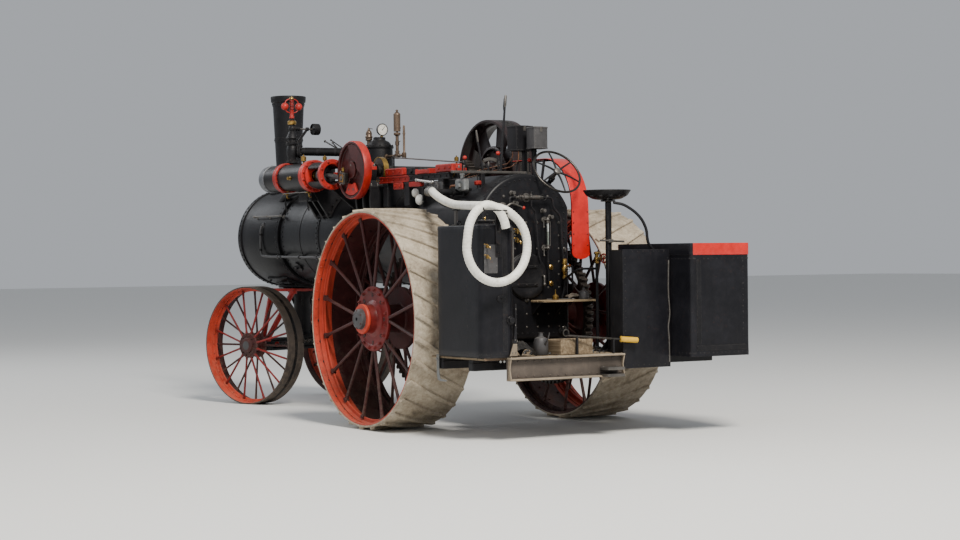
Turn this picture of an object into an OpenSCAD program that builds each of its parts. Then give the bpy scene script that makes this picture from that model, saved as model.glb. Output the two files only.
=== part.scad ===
// Steam traction engine: side-crank engine on top of a locomotive-type boiler,
// two driven rear wheels, a chain-steered front axle, tank, bunker and footplate.
// Millimetres. +X is forward, +Y is the machine's left, +Z is up, z = 0 is the ground.

/* [Boiler] */
// Outside radius of the boiler barrel
boiler_r = 480; // [440:5:490]
// Outside radius of the smokebox
smokebox_r = 505; // [495:5:520]
// Height of the boiler's centre line
boiler_z = 1730; // [1710:5:1750]
// Length of the smokebox
smokebox_len = 940; // [900:10:980]
// Half width of the firebox
firebox_half_w = 455; // [440:5:460]
// Height of the top of the smoke stack
stack_top_z = 3250; // [3100:10:3400]

/* [Rear wheels] */
// Radius over the plain rim of a rear wheel
rear_r = 970; // [960:1:975]
// Width of a rear wheel's rim
rear_w = 590; // [560:10:600]
// Distance from the centre line to a rear wheel's outer edge
rear_out_y = 1310; // [1305:5:1315]

/* [Front wheels] */
// Radius of a front wheel
front_r = 610; // [600:1:615]
// Width of a front wheel's rim
front_w = 230; // [200:10:240]
// Distance from the centre line to a front wheel's outer edge
front_out_y = 830; // [820:5:850]
// Distance from the rear axle to the steering pivot
wheelbase = 3750; // [3740:5:3780]
// Angle at which the front axle stands turned to the left
steer_deg = 19; // [0:1:20]

/* [Engine] */
// Height of the crankshaft
crank_z = 2335; // [2330:1:2345]
// Place of the crankshaft along the machine
crank_x = 1290; // [1280:5:1300]
// Radius of the crank disc
disc_r = 275; // [250:5:280]
// Radius of the flywheel
fly_r = 515; // [500:5:530]
// Face width of the flywheel
fly_w = 265; // [240:5:280]
// Side place of the engine's centre line
eng_y = 745; // [740:1:750]

/* [Tank and bunker] */
// Height of the left water tank's top
tank_top_z = 1760; // [1720:10:1780]
// Plate thickness of tank and bunker
plate = 8; // [6:1:10]
// Height of the footplate's top face
floor_z = 690; // [680:5:700]

/* [Hidden] */
// the origin is under the middle of the machine's box
x_shift = -1213.5;
fire_x0 = -640;
fire_x1 = 520;
barrel_x1 = 3300;
smoke_x1 = barrel_x1 + smokebox_len;
axle_z = rear_r;
front_z = front_r;
rear_in_y = rear_out_y - rear_w;
hub_y = 1357;
counter_x = 745;
counter_z = 1095;
bull_r = 640;
pin_r = 108;
stack_x = 4030;
tank_x0 = -1860;
tank_x1 = -1105;
tank_in_y = 895;

module cx(r, x0, x1, y, z, fn = 64) translate([x0, y, z]) rotate([0, 90, 0]) cylinder(h = x1 - x0, r = r, $fn = fn);
module cy(r, y0, y1, x, z, fn = 64) translate([x, y1, z]) rotate([90, 0, 0]) cylinder(h = y1 - y0, r = r, $fn = fn);
module cz(r, z0, z1, x, y, fn = 64) translate([x, y, z0]) cylinder(h = z1 - z0, r = r, $fn = fn);
module bx(x0, x1, y0, y1, z0, z1) translate([x0, y0, z0]) cube([x1 - x0, y1 - y0, z1 - z0]);
module origin() translate([x_shift, 0, 0]) children();
// a round rod between two points
module rod(a, b, r) {
  d = b - a;
  l = norm(d);
  translate(a) rotate([0, acos(d[2] / l), atan2(d[1], d[0])]) cylinder(h = l, r = r, $fn = 24);
}
// everything on the turned front axle
module turned() translate([wheelbase, 0, 0]) rotate([0, 0, steer_deg]) children();

module boiler_barrel() color("#1c1c1e") origin() {
  cx(boiler_r, fire_x1, barrel_x1, 0, boiler_z, 96);
  // lap bands: [x from, x to]
  for (b = [[1350, 1410], [2420, 2480]]) difference() {
    cx(boiler_r + 7, b[0], b[1], 0, boiler_z, 96);
    cx(boiler_r - 20, b[0] - 1, b[1] + 1, 0, boiler_z, 96);
  }
}

module smokebox() color("#141416") origin() difference() {
  union() {
    cx(smokebox_r, barrel_x1, smoke_x1, 0, boiler_z, 96);
    cx(smokebox_r + 12, smoke_x1 - 70, smoke_x1 - 1, 0, boiler_z, 96);
    // hinge ears for the door: heights
    for (z = [-262, -138, 138, 262]) bx(smoke_x1 - 2, smoke_x1 + 52, -486, -434, boiler_z + z - 14, boiler_z + z + 14);
    // hinge pins
    for (z = [-262, 138]) cz(9, boiler_z + z, boiler_z + z + 124, smoke_x1 + 26, -460, 32);
  }
  cx(smokebox_r - 14, barrel_x1 + 12, smoke_x1 - 22, 0, boiler_z, 96);
  cx(385, smoke_x1 - 40, smoke_x1 + 5, 0, boiler_z, 96);
  cz(118, boiler_z + 300, boiler_z + 600, stack_x, 0);
}

module smokebox_door() color("#101012") origin() {
  translate([smoke_x1 + 6, 0, boiler_z]) rotate([0, 90, 0]) rotate_extrude($fn = 96)
    polygon([[0, 0], [412, 0], [412, 14], [300, 34], [150, 48], [0, 52]]);
  // hinge straps and their knuckles: middle heights
  for (z = [-200, 200]) difference() {
    union() {
      cz(22, boiler_z + z - 42, boiler_z + z + 42, smoke_x1 + 26, -460);
      bx(smoke_x1 + 12, smoke_x1 + 32, -450, -300, boiler_z + z - 30, boiler_z + z + 30);
    }
    cz(9.06, boiler_z + z - 60, boiler_z + z + 60, smoke_x1 + 26, -460);
  }
  // latch boss and handle
  cx(42, smoke_x1 + 40, smoke_x1 + 84, 0, boiler_z);
  cx(26, smoke_x1 + 20, smoke_x1 + 46, 380, boiler_z);
}

module smoke_stack() color("#17171a") origin() translate([stack_x, 0, 0]) difference() {
  rotate_extrude($fn = 96) polygon([
    [112, boiler_z + 492], [215, boiler_z + 440], [215, boiler_z + 492], [150, boiler_z + 545],
    [126, boiler_z + 600], [168, stack_top_z - 70], [186, stack_top_z - 62], [190, stack_top_z],
    [166, stack_top_z], [160, stack_top_z - 40], [112, boiler_z + 600]]);
  translate([-stack_x, 0, 0]) cx(smokebox_r, barrel_x1, smoke_x1, 0, boiler_z, 96);
  translate([-stack_x, 0, 0]) cx(smokebox_r + 12, smoke_x1 - 71, smoke_x1 + 9, 0, boiler_z, 96);
}

module fire_shell(g) {
  r = boiler_r + 20 - g;
  bx(fire_x0 + g, fire_x1 - g, -firebox_half_w + g, firebox_half_w - g, 770 + g, boiler_z);
  cx(r, fire_x0 + g, fire_x1 - g, 0, boiler_z, 96);
}
module firebox() color("#1a1a1c") origin() difference() {
  union() {
    intersection() {
      fire_shell(0);
      bx(fire_x0, fire_x1, -600, 600, 700, 2400);
    }
    // fire hole ring
    cx(205, fire_x0 - 12, fire_x0 + 5, 0, 1330);
  }
  // fire space, open to the back through the fire hole
  bx(fire_x0 + 60, fire_x1 - 60, -firebox_half_w + 60, firebox_half_w - 60, 820, 1780);
  cx(165, fire_x0 - 60, fire_x0 + 120, 0, 1330);
  // footing for the axle brackets stays outside
}

module fire_door() color("#121214") origin() {
  cx(196, fire_x0 - 30, fire_x0 - 14, 0, 1330);
  difference() {
    union() {
      bx(fire_x0 - 34, fire_x0 - 20, -10, 238, 1395, 1425);
      bx(fire_x0 - 34, fire_x0 - 20, -10, 238, 1235, 1265);
      for (z = [1250, 1410]) cz(16, z - 24, z + 24, fire_x0 - 30, 250);
    }
    cz(8.06, 1150, 1500, fire_x0 - 30, 250);
  }
  cx(12, fire_x0 - 62, fire_x0 - 30, -150, 1330, 32);
}

module ash_pan() color("#151515") origin() difference() {
  bx(-560, 440, -400, 400, 560, 770);
  bx(-600, 428, -388, 388, 572, 758);
}

module dome_shape() translate([2010, 0, 0]) rotate_extrude($fn = 64) polygon([[0, 2150], [205, 2150], [205, 2235],
  [138, 2262], [132, 2600], [104, 2650], [62, 2672], [62, 2700], [0, 2700]]);
module steam_dome() color("#1b1b1d") origin() difference() {
  dome_shape();
  cx(boiler_r, 1000, 3000, 0, boiler_z, 96);
}

module safety_valve() color("#8a7440") origin() difference() {
  union() {
    cz(20, 2600, 2671, 2112, 62, 32);
    translate([2112, 62, 0]) rotate_extrude($fn = 32) polygon([[0, 2670], [34, 2670], [38, 2700], [28, 2748], [16, 2772], [8, 2800], [0, 2800]]);
  }
  dome_shape();
}

module steam_gauge() color("#d8d8d2") origin() {
  cz(12, 2700.3, 2715, 1962, 0, 32);
  cx(62, 1938, 1978, 0, 2772);
}

module whistle() color("#9a8a60") origin() {
  // branch from the dome, the whistle's stem and bell, and a second slim valve
  difference() {
    cx(16, 1505, 1900, 0, 2500, 32);
    dome_shape();
  }
  cz(20, 2484, 2700, 1650, 0, 32);
  cz(34, 2735, 2950, 1650, 0, 48);
  cz(28, 2700, 2728, 1650, 0, 48);
  cz(9, 2720, 2740, 1650, 0, 24);
  cz(11, 2484, 2790, 1515, 0, 24);
}

gov_x = 2560;
gov_y = 690;
module steam_pipe() color("#222224") origin() difference() {
  rod([2010, 0, 2545], [gov_x, gov_y, 2575], 42);
  dome_shape();
  cz(56.3, 2300, 2700, gov_x, gov_y, 48);
}

module governor() color("#b03020") origin() translate([gov_x, gov_y, 0]) {
  difference() {
    cz(56, 2380, 2640, 0, 0, 48);
    translate([-gov_x, -gov_y, 0]) cx(132, 1900, 3000, eng_y, 2305);
    translate([-gov_x, -gov_y, 0]) cx(151, 2500, 2606, eng_y, 2305);
    translate([-gov_x, -gov_y, 0]) bx(2000, cyl_x1 - 59.6, 400, eng_y - 59.6, 2100, 2430.4);
  }
  cz(44, 2639, 2700, 0, 0, 48);
  translate([0, 0, 2700]) cylinder(h = 70, r1 = 60, r2 = 34, $fn = 48);
  cz(26, 2765, 2900, 0, 0, 32);
  cz(12, 2895, 3120, 0, 0, 24);
  // ball arms: [side]
  for (s = [-1, 1]) {
    translate([0, s * 78, 3050]) sphere(r = 38, $fn = 32);
    bx(-7, 7, min(0, s * 80), max(0, s * 80), 3078, 3096);
  }
  cz(30, 3096, 3112, 0, 0, 32);
}

cyl_x0 = 1975;
cyl_x1 = 2580;
cyl_end = 2850;
pin_dx = 80;
pin_dz = -76;
module cylinder_body() {
  cx(132, cyl_x0, cyl_end, eng_y, 2305);
  // flanges: [x from, x to, radius]
  for (f = [[cyl_x0 - 34, cyl_x0 + 30, 156], [cyl_x1 - 30, cyl_x1 + 24, 150]]) cx(f[2], f[0], f[1], eng_y, 2305);
  // front cover
  translate([cyl_end, eng_y, 2305]) rotate([0, 90, 0]) rotate_extrude($fn = 64)
    polygon([[0, 0], [138, 0], [136, 70], [116, 130], [70, 165], [0, 176]]);
  // steam chest, inboard of the barrel
  bx(cyl_x0 + 60, cyl_x1 - 60, 470, eng_y - 60, 2190, 2430);
  // saddle down to the boiler
  bx(cyl_x0 + 60, cyl_x1 - 60, 180, eng_y - 60, 2010, 2200);
}
module cylinder_() color("#202022") origin() difference() {
  cylinder_body();
  cx(boiler_r, 1800, 3200, 0, boiler_z, 96);
  cx(boiler_r + 7, 2415, 2485, 0, boiler_z, 96);
  cz(210, 1900, 2700, 2010, 0, 64);
}

module crosshead_guide() color("#a8281c") origin() difference() {
  union() {
    cx(128, 1582, cyl_x0 - 34, eng_y, 2305);
    cx(148, 1582, 1626, eng_y, 2305);
  }
  cx(96, 1500, cyl_x0 - 60, eng_y, 2305);
  // side windows: outer and inner
  bx(1640, 1880, eng_y - 200, eng_y + 200, 2240, 2370);
  cx(26, 1900, 2200, eng_y, 2305);
}

module connecting_rod() color("#c9c9c6") origin() {
  // piston rod, crosshead block, rod and its end with the crank pin's stub
  cx(24, 1800, cyl_x0 - 34, eng_y, 2305, 32);
  cx(88, 1700, 1810, eng_y, 2305, 48);
  rod([1730, eng_y, 2305], [crank_x + pin_dx + 20, eng_y, crank_z + pin_dz + 3], 26);
  cy(58, eng_y - 26, eng_y + 26, crank_x + pin_dx, crank_z + pin_dz, 48);
}

// shaft bearing: side range, inner end of its foot
module bearing(y0, y1, foot) difference() {
  union() {
    cy(86, y0, y1, crank_x, crank_z);
    bx(crank_x - 110, crank_x + 110, y0, y1, crank_z - 180, crank_z);
    bx(crank_x - 150, crank_x + 150, foot, y1, 1960, crank_z - 170);
  }
  cy(45.05, y0 - 5, y1 + 5, crank_x, crank_z);
  cx(boiler_r + 7, 900, 1700, 0, boiler_z, 96);
}
module crank_bearings() color("#a8281c") origin() {
  bearing(480, 590, 250);
  mirror([0, 1, 0]) bearing(400, 515, 250);
}

module crankshaft() color("#7d7d7d") origin() {
  cy(45, -1075, 615, crank_x, crank_z);
}

module crank_disc() color("#a02418") origin() difference() {
  union() {
    cy(disc_r, 625, 710, crank_x, crank_z, 96);
    cy(75, 612, 630, crank_x, crank_z);
  }
  // dished outer face
  difference() {
    cy(disc_r - 30, 680, 720, crank_x, crank_z, 96);
    cy(80, 660, 730, crank_x, crank_z);
    // balance weight opposite the pin
    translate([crank_x, 0, crank_z]) rotate([0, -45, 0]) bx(-300, 300, 660, 730, 70, 300);
  }
  cy(45, 600, 615, crank_x, crank_z);
}

module eccentric() color("#c8a24a") origin() difference() {
  cy(120, 345, 400, crank_x + 28, crank_z + 10, 64);
  cy(45, 340, 410, crank_x, crank_z);
}

module flywheel() color("#201416") origin() {
  y0 = -1055;
  difference() {
    union() {
      difference() {
        cy(fly_r, y0, y0 + fly_w, crank_x, crank_z, 128);
        cy(fly_r - 34, y0 - 5, y0 + fly_w + 5, crank_x, crank_z, 128);
      }
      cy(95, y0 + 20, y0 + fly_w - 20, crank_x, crank_z);
      for (i = [0 : 5]) translate([crank_x, y0 + fly_w / 2, crank_z]) rotate([0, i * 60 + 12, 0])
        translate([60, -28, -30]) cube([fly_r - 84, 56, 60]);
    }
    cy(45, y0 - 5, y0 + fly_w + 5, crank_x, crank_z);
  }
}

// right-hand train from the countershaft up to the loose pinion on the crankshaft: [x, z, radius, y from, y to, bore]
mid_x = 1083;
mid_z = 1864;
train = [[counter_x, counter_z, 430, -606, -536, 60.2], [mid_x, mid_z, 408, -606, -536, 40.2]];
module drive_gears() color("#3a2a26") origin() {
  for (g = train) difference() {
    cy(g[2], g[3], g[4], g[0], g[1], 96);
    cy(g[2] - 60, g[3] - 5, g[3] + 22, g[0], g[1], 96);
    cy(g[2] - 60, g[4] - 22, g[4] + 5, g[0], g[1], 96);
    cy(g[5], g[3] - 5, g[4] + 5, g[0], g[1], 48);
    for (i = [0 : 4]) translate([g[0], 0, g[1]]) rotate([0, i * 72 + 20, 0]) translate([g[2] * 0.5, 0, 0])
      cy(g[2] * 0.2, -700, -500, 0, 0, 48);
  }
  difference() {
    cy(105, -606, -536, crank_x, crank_z);
    cy(45.4, -700, -500, crank_x, crank_z);
  }
}

module gear_guard() color("#d8281c") origin() {
  // sheet beside the firebox: flat top, rounded back corner, then straight down
  difference() {
    union() {
      cy(450, -712, -515, -150, 1950, 96);
      bx(-150, 380, -712, -515, 2300, 2400);
      bx(-600, -500, -712, -515, 1470, 1950);
    }
    cy(442, -720, -510, -150, 1950, 96);
    bx(-150, 390, -720, -510, 1400, 2392);
    bx(-592, 390, -720, -510, 1400, 1951);
  }
  // brackets to the firebox: [x from, x to, z from, z to]
  difference() {
    for (b = [[-592.01, -500, 1690, 1720], [-592.01, -500, 1560, 1590]]) bx(b[0], b[1], -560, -440, b[2], b[3]);
    fire_shell(0);
    bx(-700, 600, -firebox_half_w, firebox_half_w, 700, 1800);
  }
}

module axle_bracket() difference() {
  union() {
    bx(-240, 240, firebox_half_w, firebox_half_w + 40, 780, 1500);
    cy(150, firebox_half_w, 590, 0, axle_z);
    cy(70, 580, hub_y - 20, 0, axle_z);
  }
  cy(30, 700, 2000, 0, axle_z);
}
module axle_brackets() color("#222020") origin() {
  axle_bracket();
  mirror([0, 1, 0]) axle_bracket();
}

module rear_wheel() {
  yc = rear_out_y - rear_w / 2;
  difference() {
    union() {
      difference() {
        cy(rear_r, rear_in_y, rear_out_y, 0, axle_z, 128);
        cy(rear_r - 18, rear_in_y - 5, rear_out_y + 5, 0, axle_z, 128);
      }
      // stiffening rings inside the rim where the spokes land
      for (y = [yc - 190, yc + 190]) difference() {
        cy(rear_r - 10, y - 34, y + 34, 0, axle_z, 128);
        cy(rear_r - 44, y - 40, y + 40, 0, axle_z, 128);
      }
      cy(125, rear_in_y + 20, hub_y - 40, 0, axle_z);
      cy(185, yc - 130, yc - 90, 0, axle_z);
      cy(185, yc + 150, yc + 190, 0, axle_z);
      // spokes: [offset of the hub end, offset of the rim end, start angle]
      for (s = [[-110, -190, 0], [170, 190, 11.25]]) for (i = [0 : 15]) translate([0, yc, axle_z]) rotate([0, s[2] + i * 22.5, 0])
        rod([150, s[0], 0], [rear_r - 34, s[1], 0], 15);
    }
    cy(70.06, 600, 1500, 0, axle_z);
  }
  // hub cap
  difference() {
    cy(90, hub_y - 41, hub_y, 0, axle_z);
    cy(78, hub_y - 60, hub_y - 14, 0, axle_z);
  }
}
module left_rear_wheel() color("#2a1414") origin() rear_wheel();
module right_rear_wheel() color("#2a1414") origin() mirror([0, 1, 0]) rear_wheel();

module bull_gear() difference() {
  cy(bull_r, rear_in_y - 76, rear_in_y - 6, 0, axle_z, 128);
  cy(bull_r - 70, rear_in_y - 90, rear_in_y - 40, 0, axle_z, 128);
  cy(70.06, 600, 900, 0, axle_z);
  for (i = [0 : 7]) translate([0, 0, axle_z]) rotate([0, i * 45, 0]) translate([360, 0, 0]) cy(105, 600, 800, 0, 0);
}
module gear_seat() difference() {
  cy(150, rear_in_y - 7, rear_in_y + 20, 0, axle_z);
  cy(70.06, 600, 900, 0, axle_z);
}
module left_bull_gear() color("#2c2020") origin() union() { bull_gear(); gear_seat(); }
module right_bull_gear() color("#2c2020") origin() mirror([0, 1, 0]) union() { bull_gear(); gear_seat(); }

module pinion() difference() {
  cy(pin_r - 12, rear_in_y - 74, rear_in_y - 8, counter_x, counter_z);
  cy(50.06, 500, 900, counter_x, counter_z);
}
module left_pinion() color("#777069") origin() pinion();
module right_pinion() color("#777069") origin() mirror([0, 1, 0]) pinion();

module countershaft() color("#3a3a3a") origin() {
  cy(50, -rear_in_y + 4, rear_in_y - 4, counter_x, counter_z);
  cy(60, -608, -534, counter_x, counter_z);
  // differential case
  cy(170, -534, -380, counter_x, counter_z);
  // hangers up to the boiler
  difference() {
    for (y = [-240, 240]) bx(counter_x - 70, counter_x + 70, y - 40, y + 40, counter_z - 60, 1500);
    cx(boiler_r, 500, 1000, 0, boiler_z, 96);
  }
  // stub for the middle gear, on a bracket off the boiler's side
  difference() {
    union() {
      cy(40, -625, -470, mid_x, mid_z);
      bx(mid_x - 60, mid_x + 60, -530, -430, mid_z - 160, mid_z + 60);
    }
    cx(boiler_r, 500, 1600, 0, boiler_z, 96);
  }
}

ped_x = wheelbase;
module front_pedestal() color("#1a1a1a") origin() difference() {
  union() {
    bx(ped_x - 190, ped_x + 190, -250, 250, 1225, 1500);
    cz(250, 1196, 1230, ped_x, 0);
  }
  cx(smokebox_r, 3000, 4400, 0, boiler_z, 96);
  cz(45.06, 1100, 1350, ped_x, 0);
}

module front_axle() color("#a8281c") origin() turned() {
  bx(-60, 60, -front_out_y + 240, front_out_y - 240, 545, 675);
  cz(100, 674, 1164, 0, 0);
  bx(-200, 200, -330, 330, 1160, 1190);
  cz(45, 1189, 1216, 0, 0);
  // stays from the top plate to the beam's ends: [side, fore or aft]
  for (s = [-1, 1]) for (e = [-1, 1]) rod([e * 160, s * 295, 1165], [e * 30, s * 560, 655], 24);
  for (s = [-1, 1]) cy(35, s > 0 ? 580 : -front_out_y + 20, s > 0 ? front_out_y - 20 : -580, 0, front_z);
}

module front_wheel() {
  yc = front_out_y - front_w / 2;
  difference() {
    union() {
      difference() {
        cy(front_r, yc - front_w / 2, yc + front_w / 2, 0, front_z, 96);
        cy(front_r - 14, yc - front_w, yc + front_w, 0, front_z, 96);
      }
      difference() {
        cy(front_r - 8, yc - 30, yc + 30, 0, front_z, 96);
        cy(front_r - 34, yc - 35, yc + 35, 0, front_z, 96);
      }
      cy(82, yc - 100, yc + 125, 0, front_z);
      for (s = [[-70, -18, 0], [80, 18, 15]]) for (i = [0 : 11]) translate([0, yc, front_z]) rotate([0, s[2] + i * 30, 0])
        rod([70, s[0], 0], [front_r - 24, s[1], 0], 11);
    }
    cy(35.06, yc - 200, yc + 110, 0, front_z);
  }
}
module left_front_wheel() color("#a8281c") origin() turned() front_wheel();
module right_front_wheel() color("#a8281c") origin() turned() mirror([0, 1, 0]) front_wheel();

// steering column: leans back by this angle from level
col_deg = 36;
sw_pos = [-630, -330, 2240];
roll_x = 1500;
roll_z = 930;
module on_column() translate(sw_pos) rotate([0, -90 + col_deg, 0]) children();
module steering_column() color("#1d1d1f") origin() difference() {
  union() {
    on_column() translate([0, 0, -300]) cylinder(h = 240, r = 26, $fn = 32);
    // bevel box on the firebox, shaft forward, second box, shaft down, third box, shaft to the roller's worm box
    bx(-480, -340, -390, -270, 2040, 2150);
    rod([-341, -330, 2130], [530, -330, 2130], 16);
    bx(520.5, 574, -530, -300, 2060, 2150);
    rod([545, -502, 2061], [545, -502, 900], 14);
    bx(523, 570, -526, -478, 872, 926);
    rod([569, -502, 900], [1421, -502, 900], 14);
    bx(1420, 1580, -540, -450, 850, 1010);
    // hangers for the roller
    for (y = [-436, 400]) bx(roll_x - 50, roll_x + 50, y, y + 34, roll_z - 60, 1560);
  }
  on_column() translate([0, 0, -290]) cylinder(h = 400, r = 12.06, $fn = 32);
  cx(boiler_r + 20, fire_x0, fire_x1, 0, boiler_z, 96);
  cx(boiler_r, fire_x1 - 1, 2000, 0, boiler_z, 96);
  cx(boiler_r + 7, 1345, 1415, 0, boiler_z, 96);
  cy(20.06, -445, 500, roll_x, roll_z, 32);
}
module steering_wheel() color("#111111") origin() on_column() {
  // the rim stands 20 mm up its shaft, clear of the firebox crown
  translate([0, 0, -190]) cylinder(h = 225, r = 12, $fn = 32);
  translate([0, 0, 8]) cylinder(h = 36, r = 34, $fn = 32);
  translate([0, 0, 20]) rotate_extrude($fn = 64) translate([228, 0]) circle(r = 11, $fn = 16);
  for (i = [0 : 5]) translate([0, 0, 20]) rotate([0, 0, i * 60]) rotate([0, 90, 0]) cylinder(h = 226, r = 7, $fn = 16);
}

module steering_roller() color("#2a2a2a") origin() {
  cy(55, -360, 360, roll_x, roll_z);
  cy(20, -443, 440, roll_x, roll_z, 32);
  for (y = [-372, 358]) cy(85, y, y + 14, roll_x, roll_z);
}

module reverse_frame() color("#b43a22") origin() difference() {
  union() {
    // red beam along the boiler's left shoulder, and its posts
    bx(-150, 1120, 440, 500, 2200, 2260);
    for (x = [-60, 560, 960]) bx(x, x + 90, 330, 500, 1960, 2201);
    bx(160, 420, 430, 512, 2259, 2306);
  }
  cx(boiler_r + 20, -700, 521, 0, boiler_z, 96);
  cx(boiler_r, 519, 1400, 0, boiler_z, 96);
}

module control_levers() color("#2c2c2e") origin() difference() {
  union() {
    bx(-420, -372, -160, 610, 2236, 2264);
    for (y = [-120, 300]) bx(-420, -372, y, y + 40, 2100, 2240);
    // levers: [foot y, top y, top z, radius]
    for (l = [[290, 355, 2620, 9], [105, 42, 2940, 13], [235, 228, 2345, 9]])
      rod([-396, l[0], 2255], [-396, l[1], l[2]], l[3]);
  }
  cx(boiler_r + 20, -700, 521, 0, boiler_z, 96);
}

module oil_boxes() color("#202024") origin() difference() {
  union() {
    // boxes: [x from, x to, y from, y to, z from, z to]
    for (b = [[-360, -200, -280, -80, 2450, 2680], [-565, -425, -300, -142, 2460, 2660]]) bx(b[0], b[1], b[2], b[3], b[4], b[5]);
    for (x = [-310, -468]) bx(x, x + 40, -240, -200, 2100, 2461);
  }
  cx(boiler_r + 20, -700, 521, 0, boiler_z, 96);
}

module backhead_fittings() color("#55514a") origin() {
  x = fire_x0;
  // gauge glass with its two cocks
  cz(13, 1560, 1840, x - 60, -190, 24);
  for (z = [1575, 1825]) cx(16, x - 61, x, -190, z, 24);
  // try cocks: heights
  for (z = [1640, 1720, 1800]) cx(14, x - 55, x, 110, z, 24);
  // injector steam valve and its pipe
  cx(20, x - 90, x, 0, 2020, 24);
  cz(30, 1992, 2050, x - 88, 0, 32);
  // shelf below the fire hole
  bx(x - 220, x, -600, -40, 1095, 1118);
  bx(x - 150, x, -620, -600.01, 1040, 1118);
}

// tank shell with rounded upright corners: box size and corner radius
module round_box(x0, x1, y0, y1, z0, z1, r) translate([0, 0, z0]) linear_extrude(z1 - z0) {
  translate([x0 + r, y0]) square([x1 - x0 - 2 * r, y1 - y0]);
  translate([x0, y0 + r]) square([x1 - x0, y1 - y0 - 2 * r]);
  for (x = [x0 + r, x1 - r]) for (y = [y0 + r, y1 - r]) translate([x, y]) circle(r = r, $fn = 48);
}
lid_x = -1560;
lid_y = 1000;
module left_tank() color("#17171a") origin() difference() {
  union() {
    difference() {
      round_box(tank_x0, tank_x1, tank_in_y, 1215, floor_z, tank_top_z, 80);
      round_box(tank_x0 + plate, tank_x1 - plate, tank_in_y + plate, 1215 - plate, floor_z + plate, tank_top_z - plate, 72);
    }
    // filler neck and hinge ears
    cz(66, tank_top_z - 2, tank_top_z + 26, lid_x, lid_y);
    for (x = [lid_x - 44, lid_x + 26]) bx(x, x + 18, 898, 918, tank_top_z - 1, tank_top_z + 46);
  }
  cz(56, tank_top_z - 40, tank_top_z + 60, lid_x, lid_y);
  cx(6.06, lid_x - 60, lid_x + 60, 908, tank_top_z + 36, 32);
}
module tank_lid() color("#c9b48a") origin() {
  cz(74, tank_top_z + 28, tank_top_z + 38, lid_x, lid_y);
  bx(lid_x - 20, lid_x + 20, 908, 940, tank_top_z + 29, tank_top_z + 41);
  cx(6, lid_x - 43, lid_x + 43, 908, tank_top_z + 36, 32);
  cz(12, tank_top_z + 37, tank_top_z + 66, lid_x, lid_y, 32);
}

module right_tank() color("#19191b") origin() difference() {
  union() {
    round_box(-2170, tank_x1, -1268, -644, 650, 1505, 40);
    round_box(-2174, tank_x1 + 4, -1272, -640.3, 1500, 1600, 44);
  }
  round_box(-2170 + plate, tank_x1 - plate, -1268 + plate, -644 - plate, 650 + plate, 1700, 32);
}

module coal_bunker() color("#161617") origin() {
  difference() {
    bx(-1868, -1680, -640, -152, floor_z, 1550);
    bx(-1868 + plate, -1680 - plate, -640 + plate, -152 - plate, floor_z + plate, 1600);
  }
  // back plate with its skirt below the floor
  bx(-1876, -1867.99, -640, -152, 560, 1552);
}

module footplate() color("#5b4630") origin() {
  bx(-1840, -652, -150, 640, floor_z - 20, floor_z);
  bx(-1840, -1000, 639.99, 1190, floor_z - 20, floor_z - 0.5);
  bx(-1679, -652, -640, -149.99, floor_z - 20, floor_z);
  // bearers below the plate and out under the tanks: [x from, x to, y from, y to, z from, z to]
  for (b = [[-1840, -200, 405, 450, 590, 680], [-1679, -200, -450, -405, 590, 680], [-1660, -1590, -1262, 1190, 580, 650], [-1190, -1120, -1262, 1190, 580, 650],
    [-1660, -1590, -640, 1190, 649, 680], [-1190, -1120, -640, 1190, 649, 680]])
    bx(b[0], b[1], b[2], b[3], b[4], b[5]);
}

module drawbar() color("#6b5238") origin() difference() {
  union() {
    // rear cross-beam: web and two flanges, then hitch plates and their gusset
    bx(-1868, -1840.01, -148, 985, 500, 690);
    for (z = [500, 672]) bx(-1908, -1840.01, -148, 985, z, z + 18);
    bx(-1990, -1868, -90, 90, 560, 584);
    bx(-1990, -1868, -90, 90, 504, 528);
  }
  cz(16, 480, 600, -1950, 0, 48);
}

module seat() color("#1a1a1a") origin() {
  translate([-1450, -300, 1975]) rotate_extrude($fn = 64) polygon([[0, 0], [120, 8], [185, 46], [205, 85], [197, 88], [176, 54], [114, 17], [0, 9]]);
  bx(-1490, -1446, -322, -278, floor_z, 1978);
}

// suction hose: from its coupling over the wheel and the tank's front, then one hanging loop
hose_r = 35;
// way in: [x, y, z]
hose_in = [[-360, 790, 2078], [-520, 862, 2052], [-720, 925, 2008], [-960, 985, 1962], [-1150, 1025, 1938], [-1400, 1092, 1926],
  [-1620, 1158, 1918], [-1765, 1190, 1913], [-1885, 1172, 1911], [-1955, 1090, 1886], [-1972, 1005, 1842]];
// hanging loop: middle, radius, first and last angle, step, backward creep
loop_mid = [-1975, 1165, 1597];
loop_r = 298;
loop_creep = 62;
loop_angles = [for (a = [32 : -22.5 : -193]) a];
function loop_at(a) = loop_mid + [-loop_creep * (32 - a) / 225, -loop_r * cos(a), loop_r * sin(a)];
// the free end goes over the saddle and drops inside the loop
hose_out = [[-2036, 1430, 1775], [-2038, 1368, 1868], [-2038, 1275, 1912], [-2038, 1178, 1880], [-2038, 1122, 1800], [-2038, 1100, 1730]];
hose_pts = concat(hose_in, [for (a = loop_angles) loop_at(a)], hose_out);
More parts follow.
